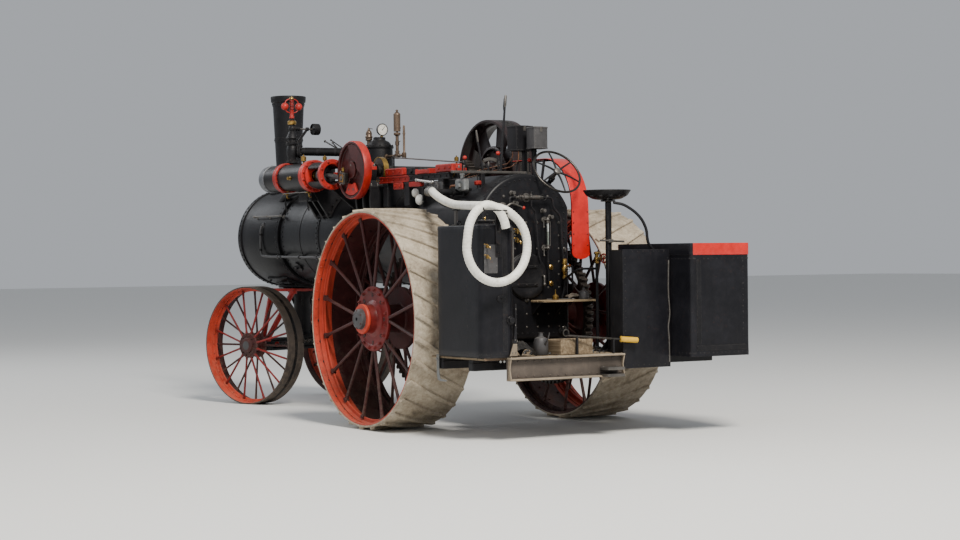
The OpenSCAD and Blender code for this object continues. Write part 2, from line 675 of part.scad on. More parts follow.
// smooth curve through the points, two rings a stretch
function pt(i) = i < 0 ? 2 * hose_pts[0] - hose_pts[1] : i > len(hose_pts) - 1 ? 2 * hose_pts[len(hose_pts) - 1] - hose_pts[len(hose_pts) - 2] : hose_pts[i];
function on_curve(i, t) = let (a = pt(i - 1), b = pt(i), c = pt(i + 1), d = pt(i + 2))
  0.5 * (2 * b + (c - a) * t + (2 * a - 5 * b + 4 * c - d) * t * t + (3 * b - a - 3 * c + d) * t * t * t);
hose_line = concat([for (i = [0 : len(hose_pts) - 2]) for (t = [0, 0.5]) on_curve(i, t)], [hose_pts[len(hose_pts) - 1]]);
hose_n = len(hose_line);
function unit(v) = v / norm(v);
hose_sides = 10;
module suction_hose() color("#e8e8e2") origin() polyhedron(
  points = [for (i = [0 : hose_n - 1])
    let (t = unit(hose_line[min(i + 1, hose_n - 1)] - hose_line[max(i - 1, 0)]), u = unit(cross([-1, 1, 0], t)), v = cross(t, u))
      for (k = [0 : hose_sides - 1]) hose_line[i] + hose_r * (u * cos(k * 360 / hose_sides) + v * sin(k * 360 / hose_sides))],
  faces = concat([[for (k = [0 : hose_sides - 1]) k]],
    [for (i = [0 : hose_n - 2]) for (k = [0 : hose_sides - 1]) let (m = (k + 1) % hose_sides)
      for (f = [[i * hose_sides + k, (i + 1) * hose_sides + k, (i + 1) * hose_sides + m], [i * hose_sides + k, (i + 1) * hose_sides + m, i * hose_sides + m]]) f],
    [[for (k = [hose_sides - 1 : -1 : 0]) (hose_n - 1) * hose_sides + k]]));
module hose_coupling() color("#8a8a86") origin() difference() {
  union() {
    rod([-250, 300, 2078], [-250, 762, 2078], 28);
    translate([-250, 762, 2078]) sphere(r = 44, $fn = 32);
    rod([-250, 762, 2078], [-361, 790, 2078], 46);
  }
  cx(boiler_r + 20, -700, 521, 0, boiler_z, 96);
}
module hose_hook() color("#2a2a2a") origin() {
  // saddle behind the tank: upright, shelf and lip
  bx(-1872, -1860.01, 1040, 1090, 1500, 1875);
  bx(-2090, -1861, 1040, 1090, 1863, 1875);
  bx(-2090, -1900, 1089, 1330, 1863, 1875);
  bx(-2096, -2084, 1040, 1330, 1863, 1915);
  // cradle on the tank's front edge
  cz(16, tank_top_z, 1892, -1150, 1025, 32);
  bx(-1190, -1110, 1005, 1045, 1888, 1900);
}

boiler_barrel();
smokebox();
smokebox_door();
smoke_stack();
firebox();
fire_door();
ash_pan();
steam_dome();
safety_valve();
steam_gauge();
whistle();
steam_pipe();
governor();
cylinder_();  // cylinder
crosshead_guide();
connecting_rod();
crank_bearings();
crankshaft();
crank_disc();
eccentric();
flywheel();
drive_gears();
gear_guard();
axle_brackets();
left_rear_wheel();
right_rear_wheel();
left_bull_gear();
right_bull_gear();
left_pinion();
right_pinion();
countershaft();
front_pedestal();
front_axle();
left_front_wheel();
right_front_wheel();
steering_column();
steering_wheel();
steering_roller();
reverse_frame();
control_levers();
oil_boxes();
backhead_fittings();
left_tank();
tank_lid();
right_tank();
coal_bunker();
footplate();
drawbar();
seat();
suction_hose();
hose_coupling();
hose_hook();
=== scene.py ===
import bpy, math, random
from mathutils import Vector, Matrix, Quaternion


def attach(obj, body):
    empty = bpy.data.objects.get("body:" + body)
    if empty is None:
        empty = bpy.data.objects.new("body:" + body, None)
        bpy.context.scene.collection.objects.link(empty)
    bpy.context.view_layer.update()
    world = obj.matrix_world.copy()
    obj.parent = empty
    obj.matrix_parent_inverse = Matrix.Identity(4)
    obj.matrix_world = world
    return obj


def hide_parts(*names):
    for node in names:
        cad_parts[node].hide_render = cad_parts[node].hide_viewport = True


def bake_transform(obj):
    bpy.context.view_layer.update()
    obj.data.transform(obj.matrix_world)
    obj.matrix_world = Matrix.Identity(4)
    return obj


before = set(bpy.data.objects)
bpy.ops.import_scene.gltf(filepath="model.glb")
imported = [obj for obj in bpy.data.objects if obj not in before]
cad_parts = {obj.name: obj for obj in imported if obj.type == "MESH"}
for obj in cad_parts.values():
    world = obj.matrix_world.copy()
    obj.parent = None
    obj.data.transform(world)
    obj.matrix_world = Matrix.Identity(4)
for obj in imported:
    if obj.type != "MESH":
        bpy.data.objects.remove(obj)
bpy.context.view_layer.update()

rnd = random.Random(7)
S = -1.2135                     # the machine's rear axle is at x = S in the shared frame
BZ, BR = 1.73, 0.48             # boiler centre height and radius
FX0, FX1, FW = -0.64, 0.52, 0.455   # firebox ends and half width
CX, CZ = 1.29, 2.335            # crankshaft
EY = 0.745                      # engine's side place
sc = bpy.context.scene

# ------------------------------------------------------------------ camera
def set_camera():
    f, yaw, pitch, roll = 2000.0, -0.55416, 0.00673, -0.01042
    pos = Vector((-15.4006 + S, 9.6151, 1.5056))
    fwd = Vector((math.cos(yaw) * math.cos(pitch), math.sin(yaw) * math.cos(pitch), -math.sin(pitch)))
    right = Vector((math.sin(yaw), -math.cos(yaw), 0.0))
    up = right.cross(fwd)
    r = math.cos(roll) * right + math.sin(roll) * up
    u = -math.sin(roll) * right + math.cos(roll) * up
    cam = bpy.data.cameras.new("photo_camera")
    cam.sensor_width = 36.0
    cam.lens = f / 960 * 36.0
    cam.clip_end = 400
    ob = bpy.data.objects.new("photo_camera", cam)
    m = Matrix((r, u, -fwd)).transposed().to_4x4()
    m.translation = pos
    ob.matrix_world = m
    sc.collection.objects.link(ob)
    sc.camera = ob
set_camera()

# ------------------------------------------------------------------ node helper
class Nodes:
    """Small helper to write shader trees: n("ShaderNodeX", {inputs}, prop=...)."""
    def __init__(self, mat):
        self.t = mat.node_tree
        self.t.nodes.clear()
        self.x = 0
    def __call__(self, kind, ins=None, **props):
        n = self.t.nodes.new(kind)
        n.location = (self.x, 0)
        self.x += 180
        for k, v in props.items():
            setattr(n, k, v)
        for k, v in (ins or {}).items():
            s = n.inputs[k]
            if isinstance(v, bpy.types.NodeSocket):
                self.t.links.new(v, s)
            else:
                s.default_value = v
        return n
    def ramp(self, fac, stops, interp="LINEAR"):
        n = self("ShaderNodeValToRGB", {"Fac": fac})
        cr = n.color_ramp
        cr.interpolation = interp
        while len(cr.elements) > len(stops):
            cr.elements.remove(cr.elements[-1])
        while len(cr.elements) < len(stops):
            cr.elements.new(0.5)
        for e, (p, c) in zip(cr.elements, stops):
            e.position = p
            e.color = (c, c, c, 1) if not isinstance(c, (tuple, list)) else (*c[:3], 1)
        return n.outputs["Color"]
    def math(self, op, a, b=0.0, c=None, clamp=False):
        n = self("ShaderNodeMath", operation=op, use_clamp=clamp)
        for i, v in enumerate((a, b) if c is None else (a, b, c)):
            if isinstance(v, bpy.types.NodeSocket):
                self.t.links.new(v, n.inputs[i])
            else:
                n.inputs[i].default_value = v
        return n.outputs[0]
    def mix(self, fac, a, b, mode="MIX"):
        n = self("ShaderNodeMix", data_type="RGBA", blend_type=mode)
        for i, v in ((0, fac), (6, a), (7, b)):
            s = n.inputs[i]
            if isinstance(v, bpy.types.NodeSocket):
                self.t.links.new(v, s)
            elif i == 0:
                s.default_value = v
            else:
                s.default_value = (*v[:3], 1)
        return n.outputs[2]
    def noise(self, co, scale, detail=4.0, rough=0.55, dist=0.0):
        return self("ShaderNodeTexNoise", {"Vector": co, "Scale": scale, "Detail": detail, "Roughness": rough, "Distortion": dist}).outputs["Fac"]
    def mapped(self, co, scale=(1, 1, 1), loc=(0, 0, 0), rot=(0, 0, 0)):
        return self("ShaderNodeMapping", {"Vector": co, "Scale": scale, "Location": loc, "Rotation": rot}).outputs["Vector"]
    def coords(self):
        return self("ShaderNodeTexCoord").outputs["Object"]
    def bump(self, height, strength=0.3, dist=0.01, normal=None):
        ins = {"Height": height, "Strength": strength, "Distance": dist}
        if normal is not None:
            ins["Normal"] = normal
        return self("ShaderNodeBump", ins).outputs["Normal"]
    def finish(self, **ins):
        p = self("ShaderNodeBsdfPrincipled")
        for k, v in ins.items():
            k = k.replace("_", " ")
            s = p.inputs[k]
            if isinstance(v, bpy.types.NodeSocket):
                self.t.links.new(v, s)
            elif isinstance(v, (tuple, list)):
                s.default_value = (*v[:3], 1) if s.type == "RGBA" else v
            else:
                s.default_value = v
        out = self("ShaderNodeOutputMaterial")
        self.t.links.new(p.outputs[0], out.inputs[0])

def new_mat(name):
    m = bpy.data.materials.new(name)
    m.use_nodes = True
    return m, Nodes(m)

def aged(name, base, worn=None, dust=(0.30, 0.26, 0.20), rust=(0.16, 0.07, 0.035), dust_amt=0.3, rust_amt=0.25, wear=0.35,
         rough=(0.38, 0.62), metal=0.0, corner_shade_col=(0.006, 0.005, 0.005), corner_shade_amt=0.6, streak=0.12, bump=0.25, coat=0.0, spec=0.4, seed=0.0, vary=0.5, mud=0.0):
    """Aged paint on iron: tone patches, run-down streaks, dust on tops, painted shade in corners, worn edges, fine
    bump.
    """
    m, n = new_mat(name)
    co = n.coords()
    co2 = n.mapped(co, loc=(seed * 3.1, seed * 1.7, seed * 2.3))
    geo = n("ShaderNodeNewGeometry")
    big = n.noise(co2, 2.3, 5, 0.6)
    mid = n.noise(co2, 14.0, 6, 0.65, 0.4)
    fine = n.noise(co2, 95.0, 3, 0.6)
    grit = n.noise(co2, 420.0, 2, 0.5)
    lo = tuple(c * (1 - 0.7 * vary) for c in base)
    hi = tuple(min(1.0, c * (1 + 0.9 * vary) + 0.002) for c in base)
    tone = n.ramp(n.math("ADD", n.math("MULTIPLY", big, 0.6), n.math("MULTIPLY", mid, 0.4)), [(0.34, lo), (0.5, base), (0.68, hi)])
    # streaks that run down
    st = n.noise(n.mapped(co2, scale=(26.0, 26.0, 1.4)), 1.0, 5, 0.6)
    stm = n.math("MULTIPLY", n.ramp(st, [(0.54, 0.0), (0.74, 1.0)]), streak)
    col = n.mix(stm, tone, tuple(0.6 * a + 0.4 * b for a, b in zip(base, dust)))
    # rust freckles
    rm = n.math("MULTIPLY", n.ramp(n.noise(co2, 31.0, 8, 0.72, 0.6), [(0.57, 0.0), (0.67, 1.0)]), n.ramp(big, [(0.42, 0.0), (0.62, 1.0)]))
    rm = n.math("MULTIPLY", rm, rust_amt)
    col = n.mix(rm, col, n.ramp(fine, [(0.3, tuple(c * 0.6 for c in rust)), (0.7, rust)]))
    # painted shade: near-black in corners and recesses, driven by occlusion, a little patchy
    if corner_shade_amt > 0:
        ao = n("ShaderNodeAmbientOcclusion", {"Distance": 0.07}, samples=3)
        am = n.math("MULTIPLY", n.ramp(ao.outputs["AO"], [(0.3, 1.0), (0.8, 0.0)]), corner_shade_amt)
        am = n.math("MULTIPLY", am, n.ramp(mid, [(0.3, 0.6), (0.7, 1.0)]))
        col = n.mix(am, col, corner_shade_col)
    # worn edges
    if worn is not None and wear > 0:
        bv = n("ShaderNodeBevel", {"Radius": 0.006}, samples=3)
        dt = n("ShaderNodeVectorMath", {0: bv.outputs["Normal"], 1: geo.outputs["Normal"]}, operation="DOT_PRODUCT").outputs["Value"]
        em = n.ramp(dt, [(0.90, 1.0), (0.985, 0.0)])
        em = n.math("MULTIPLY", em, n.ramp(n.noise(co2, 40.0, 5, 0.7), [(0.44, 0.0), (0.6, 1.0)]))
        em = n.math("MULTIPLY", em, wear, clamp=True)
        col = n.mix(em, col, worn)
    # dust on what faces up
    sep = n("ShaderNodeSeparateXYZ", {"Vector": geo.outputs["Normal"]})
    um = n.ramp(sep.outputs["Z"], [(0.45, 0.0), (0.97, 1.0)])
    um = n.math("MULTIPLY", um, n.ramp(n.noise(co2, 7.0, 7, 0.7), [(0.38, 0.1), (0.64, 1.0)]))
    um = n.math("MULTIPLY", um, dust_amt)
    film = n.math("MULTIPLY", n.ramp(mid, [(0.5, 0.0), (0.8, 1.0)]), dust_amt * 0.12)
    um = n.math("MAXIMUM", um, film)
    if mud > 0:
        # splashes that fade out with height
        hz = n("ShaderNodeSeparateXYZ", {"Vector": geo.outputs["Position"]}).outputs["Z"]
        lowm = n.ramp(n.math("MULTIPLY", hz, 0.5), [(0.0, 1.0), (0.45, 0.0)])
        sp = n.ramp(n.noise(co2, 22.0, 8, 0.75, 0.3), [(0.46, 0.0), (0.56, 1.0)])
        um = n.math("MAXIMUM", um, n.math("MULTIPLY", n.math("MULTIPLY", lowm, sp), mud))
    col = n.mix(um, col, n.ramp(fine, [(0.3, tuple(c * 0.75 for c in dust)), (0.7, dust)]))
    r0, r1 = rough
    rr = n.math("MULTIPLY_ADD", mid, (r1 - r0) * 1.6, r0 - (r1 - r0) * 0.3)
    rr = n.math("ADD", rr, n.math("MULTIPLY", um, 0.35))
    rr = n.math("ADD", rr, n.math("MULTIPLY", rm, 0.3), clamp=True)
    h = n.math("ADD", n.math("MULTIPLY", fine, 0.5), n.math("MULTIPLY", grit, 0.25))
    h = n.math("ADD", h, n.math("MULTIPLY", mid, 0.9))
    h = n.math("ADD", h, n.math("MULTIPLY", rm, 0.6))
    nb = n.bump(h, bump, 0.004)
    n.finish(Base_Color=col, Roughness=rr, Metallic=metal, Normal=nb, Coat_Weight=coat, Coat_Roughness=0.25, Specular_IOR_Level=spec)
    return m

def hose_mat():
    """Off-white ribbed hose: grubby in patches, and darker along the underside."""
    m, n = new_mat("hose_white")
    co = n.coords()
    geo = n("ShaderNodeNewGeometry")
    mid = n.noise(co, 9.0, 6, 0.7, 0.3)
    fine = n.noise(co, 160.0, 3, 0.6)
    tone = n.ramp(mid, [(0.3, (0.64, 0.61, 0.53)), (0.5, (0.86, 0.84, 0.77)), (0.7, (0.92, 0.91, 0.86))])
    sm = n.math("MULTIPLY", n.ramp(n.noise(co, 30.0, 8, 0.72, 0.5), [(0.54, 0.0), (0.68, 1.0)]), 0.45)
    col = n.mix(sm, tone, (0.24, 0.21, 0.16))
    # darker on the sides and underside, fading out on faces that look up
    sep = n("ShaderNodeSeparateXYZ", {"Vector": geo.outputs["Normal"]})
    um = n.math("MULTIPLY", n.ramp(sep.outputs["Z"], [(0.0, 1.0), (0.4, 0.0)]), 0.18)
    col = n.mix(um, col, (0.35, 0.32, 0.27))
    rr = n.math("MULTIPLY_ADD", mid, 0.3, 0.35)
    n.finish(Base_Color=col, Roughness=rr, Normal=n.bump(n.math("ADD", fine, mid), 0.15, 0.003), Specular_IOR_Level=0.4)
    return m

def dial_mat():
    """Gauge face: pale enamel with a scale of fine ticks, drawn from the angle about the dial's centre (object coordinates)."""
    m, n = new_mat("gauge_face")
    co = n.coords()
    sep = n("ShaderNodeSeparateXYZ", {"Vector": n.mapped(co, loc=(0, 0, -2.772))})
    y, z = sep.outputs["Y"], sep.outputs["Z"]
    ang = n.math("ARCTAN2", y, z)
    rad = n.math("SQRT", n.math("ADD", n.math("MULTIPLY", y, y), n.math("MULTIPLY", z, z)))
    wave = n.math("ABSOLUTE", n.math("SINE", n.math("MULTIPLY", ang, 20.0)))
    tick = n.math("MULTIPLY", n.math("LESS_THAN", wave, 0.22), n.math("GREATER_THAN", rad, 0.038))
    tick = n.math("MULTIPLY", tick, n.math("LESS_THAN", rad, 0.046))
    tick = n.math("MULTIPLY", tick, n.math("LESS_THAN", n.math("ABSOLUTE", ang), 2.4))
    age = n.noise(co, 60.0, 6, 0.7)
    face = n.ramp(age, [(0.35, (0.60, 0.57, 0.48)), (0.6, (0.80, 0.79, 0.74))])
    col = n.mix(tick, face, (0.02, 0.02, 0.02))
    n.finish(Base_Color=col, Roughness=n.math("MULTIPLY_ADD", age, 0.2, 0.25), Coat_Weight=0.6, Coat_Roughness=0.08)
    return m

def glass_mat():
    m, n = new_mat("gauge_glass")
    co = n.coords()
    a = n.noise(co, 70.0, 5, 0.7)
    zz = n("ShaderNodeSeparateXYZ", {"Vector": co}).outputs["Z"]
    lvl = n.math("LESS_THAN", zz, 1.72)
    col = n.mix(lvl, n.ramp(a, [(0.3, (0.55, 0.60, 0.58)), (0.7, (0.70, 0.74, 0.72))]), n.ramp(a, [(0.3, (0.16, 0.20, 0.17)), (0.7, (0.26, 0.30, 0.26))]))
    n.finish(Base_Color=col, Roughness=n.math("MULTIPLY_ADD", a, 0.15, 0.06), Coat_Weight=0.8, Coat_Roughness=0.04)
    return m

def wood_mat(name, c0, c1, along=(1.2, 26.0, 26.0), rough=0.7, dust=(0.30, 0.26, 0.2), dust_amt=0.4):
    """Weathered boards: stretched grain, darker cracks, dusty tops."""
    m, n = new_mat(name)
    co = n.coords()
    geo = n("ShaderNodeNewGeometry")
    g = n.noise(n.mapped(co, scale=along), 1.6, 8, 0.7, 0.8)
    b = n.noise(co, 3.0, 4, 0.6)
    tone = n.ramp(n.math("ADD", n.math("MULTIPLY", g, 0.75), n.math("MULTIPLY", b, 0.25)), [(0.36, tuple(c * 0.45 for c in c0)), (0.48, c0), (0.66, c1)])
    sep = n("ShaderNodeSeparateXYZ", {"Vector": geo.outputs["Normal"]})
    um = n.math("MULTIPLY", n.ramp(sep.outputs["Z"], [(0.5, 0.0), (0.95, 1.0)]), n.ramp(n.noise(co, 8.0, 7, 0.7), [(0.4, 0.0), (0.65, 1.0)]))
    um = n.math("MULTIPLY", um, dust_amt)
    fine = n.noise(co, 120.0, 3, 0.6)
    col = n.mix(um, tone, n.ramp(fine, [(0.3, tuple(c * 0.7 for c in dust)), (0.7, dust)]))
    n.finish(Base_Color=col, Roughness=n.math("MULTIPLY_ADD", g, 0.25, rough - 0.1), Normal=n.bump(g, 0.6, 0.004), Specular_IOR_Level=0.25)
    return m

def tread_mat():
    """Worn rear-wheel tread: earth-tan, polished iron on the high spots, soil in between."""
    m, n = new_mat("tread_tan")
    co = n.coords()
    big = n.noise(co, 4.0, 6, 0.65)
    mid = n.noise(co, 26.0, 8, 0.72, 0.4)
    fine = n.noise(co, 150.0, 3, 0.6)
    tone = n.ramp(n.math("ADD", n.math("MULTIPLY", big, 0.5), n.math("MULTIPLY", mid, 0.5)), [(0.34, (0.12, 0.09, 0.06)), (0.46, (0.31, 0.255, 0.185)), (0.62, (0.50, 0.43, 0.33))])
    bv = n("ShaderNodeBevel", {"Radius": 0.008}, samples=3)
    geo = n("ShaderNodeNewGeometry")
    dt = n("ShaderNodeVectorMath", {0: bv.outputs["Normal"], 1: geo.outputs["Normal"]}, operation="DOT_PRODUCT").outputs["Value"]
    em = n.math("MULTIPLY", n.ramp(dt, [(0.9, 1.0), (0.985, 0.0)]), n.ramp(mid, [(0.4, 0.0), (0.6, 0.6)]))
    col = n.mix(em, tone, (0.42, 0.39, 0.35))
    h = n.math("ADD", n.math("MULTIPLY", mid, 1.0), n.math("MULTIPLY", fine, 0.5))
    n.finish(Base_Color=col, Roughness=n.math("MULTIPLY_ADD", mid, 0.35, 0.55), Metallic=n.math("MULTIPLY", em, 0.7), Normal=n.bump(h, 0.8, 0.006), Specular_IOR_Level=0.3)
    return m

MAT = {}
def mats():
    M = MAT
    # the corner amounts below set how strongly aged() paints shade into corners and recesses
    M["boiler"] = aged("boiler_black", (0.0075, 0.0075, 0.009), worn=(0.09, 0.085, 0.08), dust=(0.055, 0.050, 0.042), dust_amt=0.15, rust_amt=0.16, rough=(0.30, 0.46), bump=0.3, spec=0.2)
    M["cast"] = aged("cast_black", (0.008, 0.0078, 0.009), worn=(0.10, 0.09, 0.08), dust=(0.075, 0.065, 0.052), dust_amt=0.2, rust_amt=0.2, rough=(0.36, 0.55), bump=0.6, seed=1, spec=0.22)
    M["sheet"] = aged("sheet_black", (0.009, 0.0088, 0.0105), worn=(0.11, 0.10, 0.09), dust=(0.075, 0.066, 0.054), dust_amt=0.2, rust_amt=0.2, rough=(0.34, 0.56), bump=0.3, seed=2, spec=0.22)
    M["tank"] = aged("tank_black", (0.008, 0.008, 0.0105), worn=(0.12, 0.11, 0.10), dust=(0.060, 0.052, 0.042), dust_amt=0.15, rust_amt=0.12, rough=(0.26, 0.42), bump=0.3, seed=3, coat=0.04, mud=0.15, spec=0.2)
    M["red"] = aged("red_iron", (0.33, 0.013, 0.008), worn=(0.08, 0.03, 0.02), dust=(0.26, 0.15, 0.10), dust_amt=0.18, rust_amt=0.28, rough=(0.34, 0.52), bump=0.45, seed=4, corner_shade_amt=0.85, vary=0.7)
    M["red_sheet"] = aged("red_sheet", (0.50, 0.012, 0.008), worn=(0.12, 0.04, 0.03), dust=(0.36, 0.18, 0.13), dust_amt=0.15, rust_amt=0.15, rough=(0.28, 0.44), bump=0.3, seed=5, coat=0.25, vary=0.4)
    # wheel_dark and wheel_red also stand for the wheels' one red in shade and in sun: on the rims' insides the dark one
    # is painted shade and the bright band painted sunlight
    M["wheel_dark"] = aged("wheel_dark_red", (0.040, 0.006, 0.006), worn=(0.12, 0.07, 0.05), dust=(0.22, 0.17, 0.12), dust_amt=0.3, rust_amt=0.4, rough=(0.42, 0.66), bump=0.5, seed=6, vary=0.8, mud=0.35)
    M["wheel_red"] = aged("wheel_red", (0.46, 0.042, 0.018), worn=(0.14, 0.06, 0.04), dust=(0.40, 0.22, 0.14), dust_amt=0.3, rust_amt=0.35, rough=(0.42, 0.62), bump=0.45, seed=7, mud=0.3)
    M["hub_red"] = aged("hub_red", (0.16, 0.009, 0.008), worn=(0.12, 0.05, 0.03), dust=(0.22, 0.14, 0.10), dust_amt=0.22, rust_amt=0.3, rough=(0.36, 0.52), bump=0.4, seed=14, corner_shade_amt=0.8, vary=0.8)
    # disc: the crank disc's face in dark maroon, painted shade over the red of its rim
    M["disc"] = aged("disc_maroon", (0.050, 0.0065, 0.006), worn=(0.12, 0.07, 0.06), dust=(0.10, 0.06, 0.045), dust_amt=0.15, rust_amt=0.2, rough=(0.3, 0.48), bump=0.35, seed=28, vary=0.8)
    M["tyre"] = aged("front_tyre_iron", (0.050, 0.038, 0.030), worn=(0.22, 0.19, 0.17), dust=(0.22, 0.165, 0.12), dust_amt=0.45, rust_amt=0.4, rough=(0.5, 0.75), metal=0.2, bump=0.7, seed=29, mud=0.5)
    M["web"] = aged("beam_web", (0.085, 0.068, 0.055), worn=(0.30, 0.24, 0.19), dust=(0.24, 0.19, 0.15), dust_amt=0.5, rust=(0.12, 0.06, 0.035), rust_amt=0.5, rough=(0.55, 0.8), metal=0.1, bump=0.6, seed=30, corner_shade_amt=0.7)
    M["fly"] = aged("flywheel_black", (0.014, 0.005, 0.005), worn=(0.10, 0.08, 0.07), dust=(0.07, 0.05, 0.04), dust_amt=0.18, rust_amt=0.2, rough=(0.3, 0.48), bump=0.35, seed=8)
    M["rim_worn"] = aged("rim_worn", (0.11, 0.10, 0.09), worn=(0.34, 0.32, 0.30), dust=(0.2, 0.17, 0.13), dust_amt=0.2, rust_amt=0.5, rough=(0.25, 0.45), metal=0.8, bump=0.2, seed=15)
    M["gear"] = aged("gear_iron", (0.035, 0.028, 0.024), worn=(0.24, 0.22, 0.20), dust=(0.07, 0.055, 0.04), dust_amt=0.3, rust_amt=0.4, rough=(0.3, 0.55), metal=0.45, bump=0.5, seed=9, wear=0.7)
    M["steel"] = aged("bright_steel", (0.36, 0.35, 0.33), worn=(0.55, 0.55, 0.53), dust=(0.25, 0.22, 0.17), dust_amt=0.15, rust_amt=0.3, rough=(0.18, 0.36), metal=0.95, bump=0.12, seed=10, corner_shade_amt=0.75)
    M["oily"] = aged("oily_shaft", (0.055, 0.05, 0.045), worn=(0.3, 0.29, 0.27), dust=(0.08, 0.07, 0.05), dust_amt=0.2, rust_amt=0.3, rough=(0.22, 0.42), metal=0.85, bump=0.2, seed=16)
    M["worn"] = aged("worn_steel", (0.13, 0.12, 0.11), worn=(0.34, 0.33, 0.31), dust=(0.22, 0.19, 0.15), dust_amt=0.25, rust_amt=0.55, rough=(0.3, 0.55), metal=0.7, bump=0.3, seed=11)
    M["brass"] = aged("dull_brass", (0.42, 0.26, 0.07), worn=(0.72, 0.56, 0.25), dust=(0.25, 0.19, 0.11), dust_amt=0.2, rust=(0.10, 0.09, 0.04), rust_amt=0.5, rough=(0.2, 0.4), metal=0.95, bump=0.2, seed=12, corner_shade_amt=0.8)
    M["bronze"] = aged("whistle_grey", (0.15, 0.105, 0.075), worn=(0.38, 0.29, 0.20), dust=(0.2, 0.15, 0.11), dust_amt=0.2, rust=(0.10, 0.10, 0.06), rust_amt=0.5, rough=(0.28, 0.48), metal=0.7, bump=0.25, seed=17)
    M["copper"] = aged("pipe_copper", (0.24, 0.10, 0.05), worn=(0.5, 0.28, 0.16), dust=(0.2, 0.16, 0.11), dust_amt=0.25, rust=(0.06, 0.10, 0.07), rust_amt=0.6, rough=(0.3, 0.5), metal=0.85, bump=0.2, seed=18)
    M["grey"] = aged("grey_iron", (0.060, 0.058, 0.060), worn=(0.3, 0.29, 0.28), dust=(0.22, 0.20, 0.17), dust_amt=0.25, rust_amt=0.35, rough=(0.4, 0.6), metal=0.2, bump=0.4, seed=19)
    M["galv"] = aged("galvanised", (0.22, 0.225, 0.22), worn=(0.5, 0.5, 0.5), dust=(0.3, 0.27, 0.22), dust_amt=0.3, rust_amt=0.3, rough=(0.32, 0.5), metal=0.6, bump=0.2, seed=20)
    M["rusty"] = aged("rusty_plate", (0.13, 0.085, 0.052), worn=(0.3, 0.27, 0.23), dust=(0.36, 0.29, 0.20), dust_amt=0.55, rust=(0.20, 0.085, 0.03), rust_amt=0.6, rough=(0.55, 0.8), metal=0.2, bump=0.7, seed=13)
    M["tan"] = aged("dusty_beam", (0.24, 0.19, 0.135), worn=(0.42, 0.38, 0.31), dust=(0.46, 0.39, 0.28), dust_amt=0.6, rust=(0.14, 0.07, 0.035), rust_amt=0.55, rough=(0.55, 0.8), metal=0.1, bump=0.6, seed=21, corner_shade_amt=0.7)
    M["yellow"] = aged("yellow_grip", (0.62, 0.36, 0.02), worn=(0.3, 0.2, 0.1), dust=(0.35, 0.26, 0.15), dust_amt=0.2, rust_amt=0.1, rough=(0.35, 0.5), bump=0.2, seed=22)
    M["lagging"] = aged("lagging_black", (0.009, 0.0085, 0.009), worn=(0.10, 0.09, 0.08), dust=(0.06, 0.052, 0.044), dust_amt=0.12, rust_amt=0.12, rough=(0.32, 0.46), bump=0.2, seed=23, spec=0.2)
    M["dome_grey"] = aged("dome_grey", (0.10, 0.105, 0.115), worn=(0.25, 0.25, 0.25), dust=(0.25, 0.23, 0.2), dust_amt=0.3, rust_amt=0.3, rough=(0.32, 0.5), metal=0.15, bump=0.3, seed=24)
    M["coal"] = aged("coal", (0.009, 0.009, 0.010), worn=(0.05, 0.05, 0.05), dust=(0.10, 0.09, 0.08), dust_amt=0.3, rust_amt=0.0, rough=(0.18, 0.5), bump=1.0, seed=25, spec=0.6)
    M["chain"] = aged("chain_iron", (0.045, 0.038, 0.033), worn=(0.22, 0.2, 0.18), dust=(0.2, 0.16, 0.12), dust_amt=0.3, rust_amt=0.6, rough=(0.4, 0.6), metal=0.5, bump=0.4, seed=26)
    M["leather"] = aged("rag_cloth", (0.16, 0.13, 0.10), dust=(0.3, 0.26, 0.2), dust_amt=0.4, rust_amt=0.2, rough=(0.7, 0.9), bump=0.8, seed=27, wear=0)
    M["hose"] = hose_mat()
    M["dial"] = dial_mat()
    M["glass"] = glass_mat()
    M["plank"] = wood_mat("deck_boards", (0.16, 0.115, 0.07), (0.33, 0.26, 0.17))
    M["shelfwood"] = wood_mat("shelf_board", (0.26, 0.19, 0.11), (0.46, 0.36, 0.23), along=(20.0, 1.2, 20.0))
    M["tread"] = tread_mat()
mats()

CAD_MATS = {"boiler_black": "boiler", "cast_black": "cast", "sheet_black": "sheet", "tank_black": "tank", "red_iron": "red",
            "red_sheet": "red_sheet", "wheel_dark_red": "wheel_dark", "wheel_red": "wheel_red", "flywheel_black": "fly",
            "gear_iron": "gear", "bright_steel": "steel", "worn_steel": "worn", "brass": "brass", "rusty_plate": "rusty",
            "pipe_black": "cast", "gauge_white": "worn", "hose_white": "hose"}
for ob in [o for o in sc.objects if o.type == "MESH"]:
    for i, sl in enumerate(ob.material_slots):
        nm = sl.material.name.split(".")[0] if sl.material else ""
        if nm in CAD_MATS:
            sl.material = MAT[CAD_MATS[nm]]

